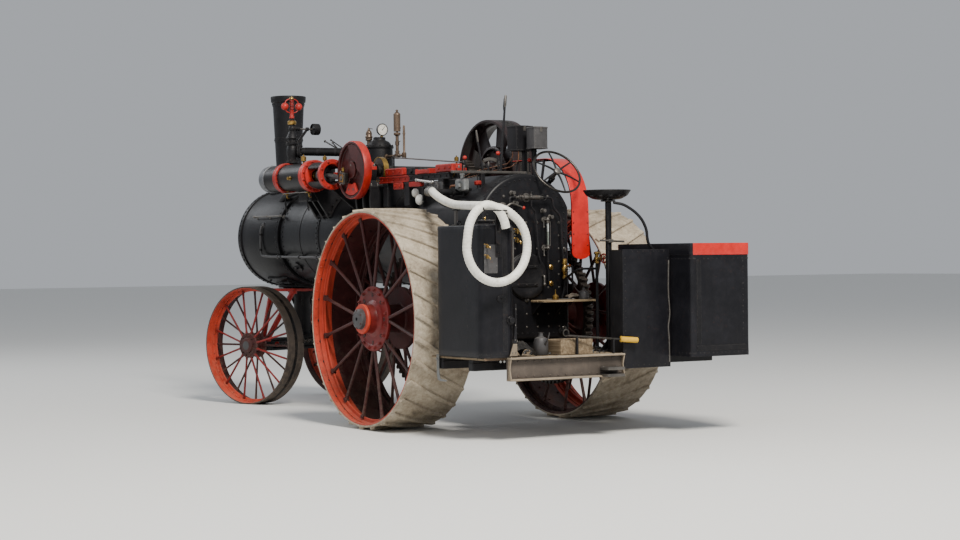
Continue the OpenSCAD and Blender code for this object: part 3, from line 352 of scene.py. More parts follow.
# ------------------------------------------------------------------ floor and light
def stage():
    me = bpy.data.meshes.new("floor")
    me.from_pydata([(-90, -90, 0), (90, -90, 0), (90, 90, 0), (-90, 90, 0)], [], [(0, 1, 2, 3)])
    ob = bpy.data.objects.new("floor", me)
    sc.collection.objects.link(ob)
    m, n = new_mat("floor_pale")
    n.finish(Base_Color=(0.74, 0.74, 0.72), Roughness=0.9, Specular_IOR_Level=0.2)
    me.materials.append(m)
    def area(name, loc, target, size, power, color=(1, 1, 1)):
        l = bpy.data.lights.new(name, "AREA")
        l.shape = "RECTANGLE"
        l.size, l.size_y = size
        l.energy = power
        l.color = color
        o = bpy.data.objects.new(name, l)
        o.location = loc
        o.rotation_euler = (Vector(target) - Vector(loc)).to_track_quat("-Z", "Y").to_euler()
        sc.collection.objects.link(o)
    # key from the camera's right and above, as the sun stands in the photograph
    area("key", (-13.5, 2.9, 14.5), (0.0, 0.0, 1.3), (4.5, 4.5), 5000, (1.0, 0.955, 0.88))
    area("fill", (-9.0, 13.0, 7.0), (0.0, 0.0, 1.5), (9, 6), 260, (0.90, 0.95, 1.0))
    area("rim", (12.0, 6.0, 9.0), (0.0, 0.0, 1.5), (8, 5), 520, (0.95, 0.97, 1.0))
    w = bpy.data.worlds.new("studio")
    w.use_nodes = True
    sc.world = w
    w.node_tree.nodes["Background"].inputs[0].default_value = (0.86, 0.90, 0.96, 1)
    w.node_tree.nodes["Background"].inputs[1].default_value = 0.5
stage()

# ------------------------------------------------------------------ mesh builder
def V3(p):
    return p if isinstance(p, Vector) else Vector(p)

def frame_of(o, d, up=None):
    """Matrix whose z axis runs along d, with its origin at o."""
    z = V3(d).normalized()
    u = V3(up) if up is not None else (Vector((0, 0, 1)) if abs(z.z) < 0.9 else Vector((1, 0, 0)))
    x = (u - z * u.dot(z)).normalized()
    y = z.cross(x)
    m = Matrix((x, y, z)).transposed().to_4x4()
    m.translation = V3(o)
    return m

def spline(pts, k=6):
    """Catmull-Rom line through pts with k steps a stretch."""
    P = [V3(p) for p in pts]
    out = []
    for i in range(len(P) - 1):
        a = P[i - 1] if i else P[0] * 2 - P[1]
        b, c = P[i], P[i + 1]
        d = P[i + 2] if i + 2 < len(P) else P[-1] * 2 - P[-2]
        for j in range(k):
            t = j / k
            out.append(0.5 * (2 * b + (c - a) * t + (2 * a - 5 * b + 4 * c - d) * t * t + (3 * b - a - 3 * c + d) * t ** 3))
    out.append(P[-1])
    return out

def arc_pts(c, r, a0, a1, n, ax=("x", "z"), off=0.0):
    """Points on an arc; ax names the two axes that the angle turns through."""
    out = []
    ix = {"x": 0, "y": 1, "z": 2}
    for i in range(n + 1):
        a = math.radians(a0 + (a1 - a0) * i / n)
        p = [c[0], c[1], c[2]]
        p[ix[ax[0]]] += r * math.cos(a)
        p[ix[ax[1]]] += r * math.sin(a)
        out.append(Vector(p))
    return out

class G:
    """Collects faces for one piece. Coordinates are the machine's own (rear axle at x = 0), in metres."""
    def __init__(s, mat="cast"):
        s.v, s.f, s.fm, s.mats = [], [], [], []
        s.base = Matrix.Translation((S, 0, 0))
        s.m = s.base.copy()
        s.stack = []
        s.mat(mat)
    def mat(s, name):
        if name not in s.mats:
            s.mats.append(name)
        s.cur = s.mats.index(name)
        return s
    def push(s, m):
        s.stack.append(s.m)
        s.m = s.m @ m
    def pop(s):
        s.m = s.stack.pop()
    def add(s, verts, faces):
        o = len(s.v)
        m = s.m
        s.v.extend([m @ V3(p) for p in verts])
        s.f.extend([tuple([i + o for i in f]) for f in faces])
        s.fm.extend([s.cur] * len(faces))
    # chamfered box
    def box(s, x0, x1, y0, y1, z0, z1, b=0.004):
        x0, x1 = min(x0, x1), max(x0, x1)
        y0, y1 = min(y0, y1), max(y0, y1)
        z0, z1 = min(z0, z1), max(z0, z1)
        b = min(b, (x1 - x0) * 0.45, (y1 - y0) * 0.45, (z1 - z0) * 0.45)
        vs, idx = [], {}
        for ix in (0, 1):
            for iy in (0, 1):
                for iz in (0, 1):
                    X, Y, Z = (x0, x1)[ix], (y0, y1)[iy], (z0, z1)[iz]
                    sx, sy, sz = (1, -1)[ix], (1, -1)[iy], (1, -1)[iz]
                    for k in range(3):
                        p = [X, Y, Z]
                        if k != 0: p[0] += sx * b
                        if k != 1: p[1] += sy * b
                        if k != 2: p[2] += sz * b
                        idx[(ix, iy, iz, k)] = len(vs)
                        vs.append(p)
        F = []
        for ix in (0, 1):
            F.append([idx[(ix, a, c, 0)] for a, c in ((0, 0), (1, 0), (1, 1), (0, 1))])
        for iy in (0, 1):
            F.append([idx[(a, iy, c, 1)] for a, c in ((0, 0), (1, 0), (1, 1), (0, 1))])
        for iz in (0, 1):
            F.append([idx[(a, c, iz, 2)] for a, c in ((0, 0), (1, 0), (1, 1), (0, 1))])
        for a in (0, 1):
            for c in (0, 1):
                F.append([idx[(a, c, 0, 0)], idx[(a, c, 1, 0)], idx[(a, c, 1, 1)], idx[(a, c, 0, 1)]])
                F.append([idx[(a, 0, c, 0)], idx[(a, 1, c, 0)], idx[(a, 1, c, 2)], idx[(a, 0, c, 2)]])
                F.append([idx[(0, a, c, 1)], idx[(1, a, c, 1)], idx[(1, a, c, 2)], idx[(0, a, c, 2)]])
                for e in (0, 1):
                    F.append([idx[(a, c, e, 0)], idx[(a, c, e, 1)], idx[(a, c, e, 2)]])
        s.add(vs, F)
    def cbox(s, c, size, b=0.004):
        s.box(c[0] - size[0] / 2, c[0] + size[0] / 2, c[1] - size[1] / 2, c[1] + size[1] / 2, c[2] - size[2] / 2, c[2] + size[2] / 2, b)
    # box between two points, w across and h in the up direction
    def bar(s, a, b, w, h, up=(0, 0, 1), c=0.003):
        a, b = V3(a), V3(b)
        m = frame_of(a, b - a, up)
        s.push(m)
        s.box(-h / 2, h / 2, -w / 2, w / 2, 0, (b - a).length, c)
        s.pop()
    # prism from a 2-D outline, with chamfered rims
    def ext(s, pts, axis, a0, a1, b=0.003):
        n = len(pts)
        ar = sum(pts[i][0] * pts[(i + 1) % n][1] - pts[(i + 1) % n][0] * pts[i][1] for i in range(n))
        if ar < 0:
            pts = pts[::-1]
        a0, a1 = min(a0, a1), max(a0, a1)
        b = min(b, (a1 - a0) * 0.4)
        def to3(p, h):
            return {"x": (h, p[0], p[1]), "y": (p[0], h, p[1]), "z": (p[0], p[1], h)}[axis]
        if b > 0:
            inn = []
            for i in range(n):
                p0, p1, p2 = Vector(pts[i - 1]), Vector(pts[i]), Vector(pts[(i + 1) % n])
                e1, e2 = (p1 - p0), (p2 - p1)
                if e1.length < 1e-9 or e2.length < 1e-9:
                    inn.append(tuple(p1))
                    continue
                e1.normalize(); e2.normalize()
                n1, n2 = Vector((-e1.y, e1.x)), Vector((-e2.y, e2.x))
                m = n1 + n2
                if m.length < 1e-6:
                    m = n1
                m.normalize()
                inn.append(tuple(p1 + m * min(b / max(0.35, m.dot(n1)), b * 2)))
            rings = [(inn, a0), (pts, a0 + b), (pts, a1 - b), (inn, a1)]
        else:
            rings = [(pts, a0), (pts, a1)]
        vs = [to3(p, h) for q, h in rings for p in q]
        F = [tuple(range(n - 1, -1, -1)), tuple(range((len(rings) - 1) * n, len(rings) * n))]
        for k in range(len(rings) - 1):
            for i in range(n):
                j = (i + 1) % n
                F.append((k * n + i, k * n + j, (k + 1) * n + j, (k + 1) * n + i))
        s.add(vs, F)
    # revolve (r, h) points about the line from o along d
    def lathe(s, prof, o, d, n=32, a0=0.0, a1=360.0):
        m = frame_of(o, d)
        full = abs(a1 - a0) >= 359.9
        cols = n if full else n + 1
        vs, rows = [], []
        for r, h in prof:
            if abs(r) < 1e-7:
                rows.append([len(vs)] * cols)
                vs.append(m @ Vector((0, 0, h)))
            else:
                row = []
                for i in range(cols):
                    a = math.radians(a0 + (a1 - a0) * i / n)
                    row.append(len(vs))
                    vs.append(m @ Vector((r * math.cos(a), r * math.sin(a), h)))
                rows.append(row)
        F = []
        for k in range(len(rows) - 1):
            A, Bq = rows[k], rows[k + 1]
            for i in range(n):
                j = (i + 1) % cols if full else i + 1
                q = [A[i], A[j], Bq[j], Bq[i]]
                q2 = []
                for t in q:
                    if t not in q2:
                        q2.append(t)
                if len(q2) > 2:
                    F.append(tuple(q2))
        s.add(vs, F)
    def ringprof(s, r0, r1, h0, h1, c=0.002):
        """Closed profile of a ring with chamfered corners."""
        return [(r0 + c, h0), (r1 - c, h0), (r1, h0 + c), (r1, h1 - c), (r1 - c, h1), (r0 + c, h1), (r0, h1 - c), (r0, h0 + c), (r0 + c, h0)]
    def ring(s, o, d, r0, r1, h0, h1, n=48, c=0.002):
        s.lathe(s.ringprof(r0, r1, h0, h1, c), o, d, n)
    def cyl(s, a, b, r, n=20, c=0.002, r2=None):
        a, b = V3(a), V3(b)
        L = (b - a).length
        if L < 1e-6:
            return
        r2 = r if r2 is None else r2
        c = min(c, L * 0.4, r * 0.5, r2 * 0.5)
        s.lathe([(0, 0), (r - c, 0), (r, c), (r2, L - c), (r2 - c, L), (0, L)], a, b - a, n)
    def disc(s, o, d, prof, n=32):
        s.lathe(prof, o, d, n)
    def sphere(s, c, r, n=16, m=8, sq=1.0, d=(0, 0, 1)):
        prof = [(r * math.sin(math.pi * i / m), -r * sq * math.cos(math.pi * i / m)) for i in range(m + 1)]
        prof[0] = (0, -r * sq)
        prof[-1] = (0, r * sq)
        s.lathe(prof, c, d, n)
    def torus(s, o, d, R, r, n=48, m=10, a0=0, a1=360):
        prof = [(R + r * math.cos(2 * math.pi * i / m), r * math.sin(2 * math.pi * i / m)) for i in range(m + 1)]
        s.lathe(prof, o, d, n, a0, a1)
    def tube(s, pts, r, n=10, caps=True):
        P = [V3(p) for p in pts]
        k = len(P)
        R = [r] * k if not hasattr(r, "__len__") else list(r)
        T = [(P[min(i + 1, k - 1)] - P[max(i - 1, 0)]).normalized() for i in range(k)]
        u = Vector((0, 0, 1)) if abs(T[0].z) < 0.9 else Vector((1, 0, 0))
        u = (u - T[0] * u.dot(T[0])).normalized()
        vs = []
        for i in range(k):
            if i:
                q = T[i - 1].rotation_difference(T[i])
                u = q @ u
                u = (u - T[i] * u.dot(T[i])).normalized()
            w = T[i].cross(u)
            for j in range(n):
                a = 2 * math.pi * j / n
                vs.append(P[i] + (u * math.cos(a) + w * math.sin(a)) * R[i])
        F = []
        for i in range(k - 1):
            for j in range(n):
                jj = (j + 1) % n
                F.append((i * n + j, i * n + jj, (i + 1) * n + jj, (i + 1) * n + j))
        if caps:
            F.append(tuple(range(n - 1, -1, -1)))
            F.append(tuple(range((k - 1) * n, k * n)))
        s.add(vs, F)
    def pipe(s, pts, r, n=10, k=5, flanges=False):
        s.tube(spline(pts, k), r, n)
    # elbowed pipe: straight runs with rounded corners
    def run(s, pts, r, n=10, bend=0.05):
        P = [V3(p) for p in pts]
        out = [P[0]]
        for i in range(1, len(P) - 1):
            a, b, c = P[i - 1], P[i], P[i + 1]
            e1, e2 = (a - b), (c - b)
            t = min(bend, e1.length * 0.45, e2.length * 0.45)
            p1, p2 = b + e1.normalized() * t, b + e2.normalized() * t
            for j in range(6):
                q = j / 5
                out.append(p1 * (1 - q) ** 2 + b * 2 * q * (1 - q) + p2 * q * q)
        out.append(P[-1])
        s.tube(out, r, n)
    def hexa(s, p, d, r=0.012, h=0.009, turn=0.0):
        m = frame_of(p, d)
        c = r * 0.18
        vs = []
        for q, z in ((r, 0), (r, h - c), (r - c, h)):
            for i in range(6):
                a = math.radians(60 * i + turn)
                vs.append(m @ Vector((q * math.cos(a), q * math.sin(a), z)))
        F = [(12, 13, 14, 15, 16, 17)]
        for k in range(2):
            for i in range(6):
                j = (i + 1) % 6
                F.append((k * 6 + i, k * 6 + j, k * 6 + 6 + j, k * 6 + 6 + i))
        F.append((5, 4, 3, 2, 1, 0))
        s.add(vs, F)
    def bolt(s, p, d, r=0.012, h=0.009, stud=True, turn=0.0):
        p, d = V3(p), V3(d).normalized()
        s.lathe([(0, 0), (r * 1.3, 0), (r * 1.3, 0.002), (r * 1.2, 0.0026), (0, 0.0026)], p, d, 10)
        s.hexa(p + d * 0.0025, d, r, h, turn)
        if stud:
            s.lathe([(0, h), (r * 0.5, h), (r * 0.5, h * 1.6), (r * 0.35, h * 1.85), (0, h * 1.85)], p + d * 0.0025, d, 8)
    def rivet(s, p, d, r=0.009, n=8):
        s.lathe([(r, -0.001), (r * 0.93, r * 0.3), (r * 0.62, r * 0.6), (0, r * 0.72)], p, d, n)
    def rivets(s, a, b, pitch, d, r=0.009, n=8):
        a, b = V3(a), V3(b)
        k = max(1, round((b - a).length / pitch))
        for i in range(k + 1):
            s.rivet(a + (b - a) * i / k, d, r, n)
    def rivet_ring(s, o, d, R, k, r=0.009, face=True, a0=0, a1=360):
        """k rivets on a circle about d: on a flat face (heads along d) or on a round surface (heads outward)."""
        m = frame_of(o, d)
        for i in range(k):
            a = math.radians(a0 + (a1 - a0) * i / k)
            e = Vector((math.cos(a), math.sin(a), 0))
            p = m @ (e * R)
            s.rivet(p, V3(d) if face else (m.to_3x3() @ e), r)
    def bolt_ring(s, o, d, R, k, r=0.012, h=0.009, a0=0.0, stud=True):
        m = frame_of(o, d)
        for i in range(k):
            a = math.radians(a0 + 360 * i / k)
            s.bolt(m @ Vector((R * math.cos(a), R * math.sin(a), 0)), d, r, h, stud, turn=a0)
    def spring(s, a, b, R, r, turns, n=6, k=12):
        a, b = V3(a), V3(b)
        m = frame_of(a, b - a)
        L = (b - a).length
        pts = [m @ Vector((R * math.cos(2 * math.pi * i / k), R * math.sin(2 * math.pi * i / k), L * i / (k * turns))) for i in range(int(k * turns) + 1)]
        s.tube(pts, r, n)
    # spoked hand wheel
    def handwheel(s, o, d, R, r=0.006, spokes=5, hub=0.016):
        s.torus(o, d, R, r, 24, 8)
        m = frame_of(o, d)
        for i in range(spokes):
            a = 2 * math.pi * i / spokes
            s.cyl(m @ Vector((hub * 0.7 * math.cos(a), hub * 0.7 * math.sin(a), 0)), m @ Vector((R * math.cos(a), R * math.sin(a), 0)), r * 0.65, 6, 0)
        s.cyl(V3(o) - V3(d).normalized() * hub * 0.6, V3(o) + V3(d).normalized() * hub * 0.6, hub, 10)
        s.hexa(V3(o) + V3(d).normalized() * hub * 0.6, d, hub * 0.5, hub * 0.4)
    # small valve: body along the pipe, bonnet, stem and hand wheel
    def valve(s, p, along, up, k=1.0, wheel=0.035, metal="brass", wheelmat="cast"):
        p, a, u = V3(p), V3(along).normalized(), V3(up).normalized()
        c = s.mats[s.cur]
        s.mat(metal)
        s.hexa(p - a * 0.045 * k, a, 0.021 * k, 0.016 * k)
        s.hexa(p + a * 0.029 * k, a, 0.021 * k, 0.016 * k)
        s.sphere(p, 0.024 * k, 14, 8)
        s.cyl(p - a * 0.032 * k, p + a * 0.032 * k, 0.016 * k, 12)
        s.cyl(p, p + u * 0.04 * k, 0.014 * k, 12)
        s.hexa(p + u * 0.036 * k, u, 0.019 * k, 0.012 * k)
        s.cyl(p + u * 0.046 * k, p + u * 0.085 * k, 0.005 * k, 8)
        if wheel:
            s.mat(wheelmat)
            s.handwheel(p + u * 0.085 * k, u, wheel * k, 0.0045 * k, 4, 0.01 * k)
        s.mat(c)
    # plug cock with a lever
    def cock(s, p, out, up=(0, 0, 1), k=1.0, metal="brass", lever=0.06):
        p, o, u = V3(p), V3(out).normalized(), V3(up).normalized()
        w = o.cross(u)
        c = s.mats[s.cur]
        s.mat(metal)
        s.hexa(p, o, 0.016 * k, 0.012 * k)
        s.cyl(p, p + o * 0.07 * k, 0.009 * k, 10)
        s.cyl(p + o * 0.038 * k - u * 0.02 * k, p + o * 0.038 * k + u * 0.024 * k, 0.014 * k, 12, 0.002, 0.011 * k)
        s.tube(spline([p + o * 0.065 * k, p + o * 0.085 * k - u * 0.008 * k, p + o * 0.09 * k - u * 0.035 * k], 4), 0.008 * k, 8)
        if lever:
            s.cyl(p + o * 0.038 * k + u * 0.028 * k, p + o * 0.038 * k + u * 0.028 * k + w * lever * k, 0.0045 * k, 8)
            s.sphere(p + o * 0.038 * k + u * 0.028 * k + w * lever * k, 0.009 * k, 8, 6)
        s.mat(c)
    def oilcup(s, p, k=1.0, metal="brass"):
        p = V3(p)
        c = s.mats[s.cur]
        s.mat(metal)
        s.lathe([(0, 0), (0.007, 0), (0.007, 0.014), (0.02, 0.02), (0.021, 0.05), (0.016, 0.056), (0.005, 0.06), (0.006, 0.068), (0, 0.07)] if k == 1.0 else
                [(r * k, h * k) for r, h in [(0, 0), (0.007, 0), (0.007, 0.014), (0.02, 0.02), (0.021, 0.05), (0.016, 0.056), (0.005, 0.06), (0.006, 0.068), (0, 0.07)]], p, (0, 0, 1), 14)
        s.mat(c)
    # toothed ring about d: teeth points go round a 2-D outline
    def gear(s, o, d, teeth, rp, mod, h0, h1, r_in, phase=0.0, c=0.003, xdir=(1, 0, 0)):
        """Ring gear rim from r_in to its teeth. phase is the angle of a tooth's middle, measured from xdir."""
        z = V3(d).normalized()
        x = V3(xdir)
        y = z.cross(x)
        ra, rr = rp + mod * 0.85, rp - mod * 1.05
        out = []
        for t in range(teeth):
            a = phase + 360.0 * t / teeth
            p = 360.0 / teeth
            for r, da in ((rr, -0.30), (rp - mod * 0.35, -0.255), (rp, -0.235), (rp + mod * 0.45, -0.18), (ra, -0.115), (ra, 0.115), (rp + mod * 0.45, 0.18), (rp, 0.235), (rp - mod * 0.35, 0.255), (rr, 0.30)):
                out.append((r, a + da * p))
        n = len(out)
        def ringv(h, dr):
            return [V3(o) + z * h + (x * math.cos(math.radians(a)) + y * math.sin(math.radians(a))) * (r - dr) for r, a in out]
        vs = ringv(h0, c) + ringv(h0 + c, 0) + ringv(h1 - c, 0) + ringv(h1, c)
        k0 = len(vs)
        for h in (h0, h1):
            vs += [V3(o) + z * h + (x * math.cos(math.radians(a)) + y * math.sin(math.radians(a))) * r_in for r, a in out]
        F = []
        for k in range(3):
            for i in range(n):
                j = (i + 1) % n
                F.append((k * n + i, k * n + j, (k + 1) * n + j, (k + 1) * n + i))
        for i in range(n):
            j = (i + 1) % n
            F.append((k0 + i, k0 + j, j, i))
            F.append((3 * n + i, 3 * n + j, k0 + n + j, k0 + n + i))
            F.append((k0 + n + i, k0 + n + j, k0 + j, k0 + i))
        s.add(vs, F)
    def make(s, name, body, stand_for=(), angle=34, normals=True):
        me = bpy.data.meshes.new(name)
        me.from_pydata([tuple(p) for p in s.v], [], s.f)
        for mname in s.mats:
            me.materials.append(MAT[mname])
        me.polygons.foreach_set("material_index", s.fm)
        if normals:
            bm = bmesh.new()
            bm.from_mesh(me)
            bmesh.ops.recalc_face_normals(bm, faces=bm.faces)
            bm.to_mesh(me)
            bm.free()
        me.validate()
        me.polygons.foreach_set("use_smooth", [True] * len(me.polygons))
        me.set_sharp_from_angle(angle=math.radians(angle))
        me.update()
        ob = bpy.data.objects.new(name, me)
        sc.collection.objects.link(ob)
        if body:
            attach(ob, body)
        if stand_for:
            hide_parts(*stand_for)
        TRIS[name] = sum(len(f) - 2 for f in s.f)
        return ob

TRIS = {}
import bmesh

def oval(rx, ry, n=24, cx=0.0, cy=0.0):
    return [(cx + rx * math.cos(2 * math.pi * i / n), cy + ry * math.sin(2 * math.pi * i / n)) for i in range(n)]

def rrect(x0, x1, y0, y1, r, n=5):
    """Outline of a rectangle with rounded corners."""
    out = []
    for cx, cy, a in ((x1 - r, y1 - r, 0), (x0 + r, y1 - r, 90), (x0 + r, y0 + r, 180), (x1 - r, y0 + r, 270)):
        for i in range(n + 1):
            t = math.radians(a + 90 * i / n)
            out.append((cx + r * math.cos(t), cy + r * math.sin(t)))
    return out

# ------------------------------------------------------------------ suction hose
def hose():
    P = [(-.360, .790, 2.078), (-.520, .862, 2.052), (-.720, .925, 2.008), (-.960, .985, 1.962), (-1.150, 1.025, 1.938), (-1.400, 1.092, 1.926),
         (-1.620, 1.158, 1.918), (-1.765, 1.190, 1.913), (-1.885, 1.172, 1.911), (-1.955, 1.090, 1.886), (-1.972, 1.005, 1.842)]
    a = 32.0
    while a >= -193:
        P.append((-1.975 - 0.062 * (32 - a) / 225, 1.165 - 0.298 * math.cos(math.radians(a)), 1.597 + 0.298 * math.sin(math.radians(a))))
        a -= 22.5
    P += [(-2.036, 1.430, 1.775), (-2.038, 1.368, 1.868), (-2.038, 1.275, 1.912), (-2.038, 1.178, 1.880), (-2.038, 1.122, 1.800), (-2.038, 1.100, 1.730)]
    line = spline(P, 26)
    # even steps along the line, so that the ribs are even too
    even, d, step = [line[0]], 0.0, 0.0062
    for i in range(1, len(line)):
        a, b = line[i - 1], line[i]
        L = (b - a).length
        while d + L >= step:
            t = (step - d) / L
            a = a + (b - a) * t
            even.append(a.copy())
            L = (b - a).length
            d = 0.0
        d += L
    even.append(line[-1])
    length = sum((even[i] - even[i - 1]).length for i in range(1, len(even)))
    g = G("hose")
    k = len(even)
    g.tube(even, [0.0350 if i % 4 in (0, 1) else 0.0338 for i in range(k)], 18, caps=False)
    # inner wall and the lip at the free end, and the closed start in the coupling
    g.tube([even[-1], even[-1] + (even[-12] - even[-1]) * 1.0], [0.0270, 0.0270], 18, caps=False)
    o, dd = even[-1], (even[-1] - even[-3]).normalized()
    g.lathe([(0.0338, -0.001), (0.0345, 0.0), (0.0335, 0.0015), (0.0275, 0.0015), (0.0270, 0.0)], o - dd * 0.0016, dd, 18)
    g.lathe([(0, 0), (0.027, 0)], o - dd * 0.068, dd, 18)
    ob = g.make("suction_hose_tube", "chassis", ("suction_hose",), angle=50)
    path = [[p.x + S, p.y, p.z] for p in even[::3]]
    if (even[-1] - even[(len(even) - 1) // 3 * 3]).length > 1e-6:
        path.append([even[-1].x + S, even[-1].y, even[-1].z])
    return length
HOSE_LEN = hose()

# ------------------------------------------------------------------ rear wheels
def slant(g, rc, y0, y1, t0, t1, r0, r1, w, n=6, foot=1.35):
    """Cleat that runs across a rim and round it: trapezoid section, w wide at its top."""
    vs, F = [], []
    L = math.hypot(y1 - y0, math.radians(t1 - t0) * r1)
    ca, sa = (y1 - y0) / L, math.radians(t1 - t0) * r1 / L
    for i in range(n + 1):
        u = i / n
        y, t = y0 + (y1 - y0) * u, t0 + (t1 - t0) * u
        end = 0.5 if i in (0, n) else 1.0
        for r, hw in ((r0, w * foot / 2), (r0 + (r1 - r0) * 0.82, w * 0.56), (r1 if end == 1.0 else r0 + (r1 - r0) * 0.9, w * 0.40)):
            for s_ in (-1, 1):
                yy = y - s_ * hw * sa
                tt = math.radians(t) + s_ * hw * ca / r1
                vs.append((rc[0] + r * math.sin(tt), yy, rc[1] + r * math.cos(tt)))
    for i in range(n):
        a, b = i * 6, (i + 1) * 6
        F += [(a, b, b + 2, a + 2), (a + 2, b + 2, b + 4, a + 4), (a + 4, b + 4, b + 5, a + 5), (a + 5, b + 5, b + 3, a + 3), (a + 3, b + 3, b + 1, a + 1), (a + 1, b + 1, b, a)]
    F += [(0, 2, 4, 5, 3, 1), (n * 6, n * 6 + 1, n * 6 + 3, n * 6 + 5, n * 6 + 4, n * 6 + 2)]
    g.add(vs, F)

def rear_wheel(name, body, node, sg):
    z = 0.97
    yi, yo = 0.72, 1.31
    yc = (yi + yo) / 2
    o = (0, 0, z)
    Y = (0, 1, 0)
    g = G("tread")
    g.push(Matrix.Diagonal((1, sg, 1, 1)))
    # rim: worn tread outside
    g.lathe([(0.929, yi + 0.002), (0.931, yi), (0.944, yi), (0.9465, yi + 0.004), (0.9465, yo - 0.004), (0.944, yo), (0.931, yo), (0.929, yo - 0.002)], o, Y, 120)
    # inside of the rim: dark red over most of its width as painted shade, with a broad bright red band along the outer
    # edge as painted sunlight
    g.mat("wheel_dark")
    g.lathe([(0.929, yi + 0.002), (0.929, yi + 0.15), (0.9275, yi + 0.151), (0.9275, yo - 0.192)], o, Y, 120)
    g.mat("wheel_red")
    g.lathe([(0.9275, yo - 0.192), (0.926, yo - 0.191), (0.926, yo - 0.046), (0.929, yo - 0.044), (0.929, yo - 0.002)], o, Y, 120)
    # edge bands riveted inside both edges; the inner one dark as painted shade, the outer one bright red as painted
    # sunlight
    for m_, a, b in (("wheel_dark", yi + 0.004, yi + 0.044), ("wheel_red", yo - 0.044, yo - 0.004)):
        g.mat(m_)
        g.lathe([(0.930, a), (0.917, a), (0.915, a + 0.002), (0.915, b - 0.002), (0.917, b), (0.930, b)], o, Y, 120)
    g.mat("wheel_dark")
    # tee rings where the spokes land; the inner ring dark as painted shade, the outer one bright red as painted
    # sunlight
    for m_, y in (("wheel_dark", yc - 0.19), ("wheel_red", yc + 0.19)):
        g.mat(m_)
        g.lathe([(0.930, y - 0.046), (0.918, y - 0.046), (0.916, y - 0.044), (0.916, y - 0.012), (0.912, y - 0.008), (0.882, y - 0.007), (0.880, y - 0.005),
                 (0.880, y + 0.005), (0.882, y + 0.007), (0.912, y + 0.008), (0.916, y + 0.012), (0.916, y + 0.044), (0.918, y + 0.046), (0.930, y + 0.046)], o, Y, 120)
    # cleats, all slanted the same way, with bolts through the rim
    g.mat("tread")
    N = 30
    for i in range(N):
        t = 360 * i / N
        slant(g, (0, z), yi + 0.012, yo - 0.012, t - 9.5, t + 9.5, 0.942, 0.970, 0.036)
    g.mat("wheel_dark")
    for i in range(N):
        for u in (0.08, 0.36, 0.64, 0.92):
            t = math.radians(360 * i / N - 9.5 + 19 * u)
            y = yi + 0.012 + (yo - yi - 0.024) * u
            g.hexa((0.9275 * math.sin(t), y, z + 0.9275 * math.cos(t)), (-math.sin(t), 0, -math.cos(t)), 0.012, 0.010)
    # hub barrel and flanges
    g.mat("wheel_dark")
    g.lathe([(0.0705, yi + 0.02), (0.118, yi + 0.02), (0.125, yi + 0.027), (0.125, yc - 0.145), (0.135, yc - 0.135), (0.27, yc - 0.131), (0.275, yc - 0.126), (0.275, yc - 0.096), (0.27, yc - 0.091), (0.14, yc - 0.087),
             (0.125, yc - 0.075), (0.120, yc), (0.125, yc + 0.11), (0.140, yc + 0.142)], o, Y, 64)
    g.mat("hub_red")
    g.lathe([(0.140, yc + 0.142), (0.272, yc + 0.148), (0.282, yc + 0.153), (0.286, yc + 0.162), (0.286, yc + 0.182), (0.280, yc + 0.190), (0.236, yc + 0.190), (0.226, yc + 0.181), (0.165, yc + 0.179), (0.148, yc + 0.190)], o, Y, 72)
    g.lathe([(0.148, yc + 0.190), (0.130, yc + 0.200), (0.124, yc + 0.22), (0.124, yc + 0.262), (0.118, yc + 0.268)], o, Y, 64)
    g.mat("wheel_red")
    g.lathe([(0.118, yc + 0.268), (0.128, yc + 0.270), (0.130, yc + 0.274), (0.130, yc + 0.292), (0.126, yc + 0.298), (0.0705, yc + 0.298)], o, Y, 64)
    g.mat("hub_red")
    g.bolt_ring((0, yc + 0.190, z), Y, 0.258, 16, 0.014, 0.012, a0=11.25)
    # spokes: inner row and outer row, each with a forged foot and a bolt head on the ring
    for row, (h0, rr, a0, hr) in enumerate(((-0.11, -0.19, 0.0, 0.262), (0.166, 0.19, 11.25, 0.232))):
        for i in range(16):
            a = math.radians(a0 + 22.5 * i)
            c, s_ = math.cos(a), math.sin(a)
            g.mat("wheel_dark")
            # every spoke is set a little to one side at the hub, as crossed wire would be
            k = 0.045 if i % 2 else -0.045
            p0 = Vector((hr * 0.82 * c - k * s_, yc + h0, z + hr * 0.82 * s_ + k * c))
            p1 = Vector((0.884 * c, yc + rr, z + 0.884 * s_))
            e = (p1 - p0).normalized()
            g.tube([p0, p0 + e * 0.03, p0 + e * 0.09, p1 - e * 0.10, p1 - e * 0.03, p1], [0.021, 0.020, 0.0145, 0.0145, 0.018, 0.020], 10)
            # foot on the ring
            m = frame_of(p1, e, (0, 1, 0))
            g.push(m)
            g.box(-0.020, 0.020, -0.024, 0.024, -0.012, 0.016, 0.003)
            g.pop()
            g.rivet(p1 + Vector((0, 0.008 if row else -0.008, 0)) + e * 0.002, (0, 1 if row else -1, 0), 0.010)
    # rivets through the rings and the edge bands, dark on the inner edge as painted shade and bright red on the outer
    # edge as painted sunlight
    for m_, y in (("wheel_dark", yi + 0.024), ("wheel_red", yo - 0.024)):
        g.mat(m_)
        for i in range(72):
            a = math.radians(5 * i)
            g.rivet((0.915 * math.sin(a), y, z + 0.915 * math.cos(a)), (-math.sin(a), 0, -math.cos(a)), 0.0085, 6)
    # cap on the axle's end
    g.mat("grey")
    y = 1.357
    g.lathe([(0.092, y - 0.052), (0.092, y - 0.044), (0.088, y - 0.042), (0.088, y - 0.012), (0.080, y - 0.004), (0.062, y), (0.058, y - 0.002), (0.054, y - 0.002), (0.050, y), (0, y)], o, Y, 40)
    g.mat("wheel_dark")
    g.bolt_ring((0, y - 0.0058, z), Y, 0.074, 6, 0.009, 0.003, stud=False)
    g.hexa((0, y - 0.004, z), Y, 0.020, 0.004)
    g.pop()
    g.make(name, body, (node,))
rear_wheel("rear_wheel_left", "left_rear", "left_rear_wheel", 1)
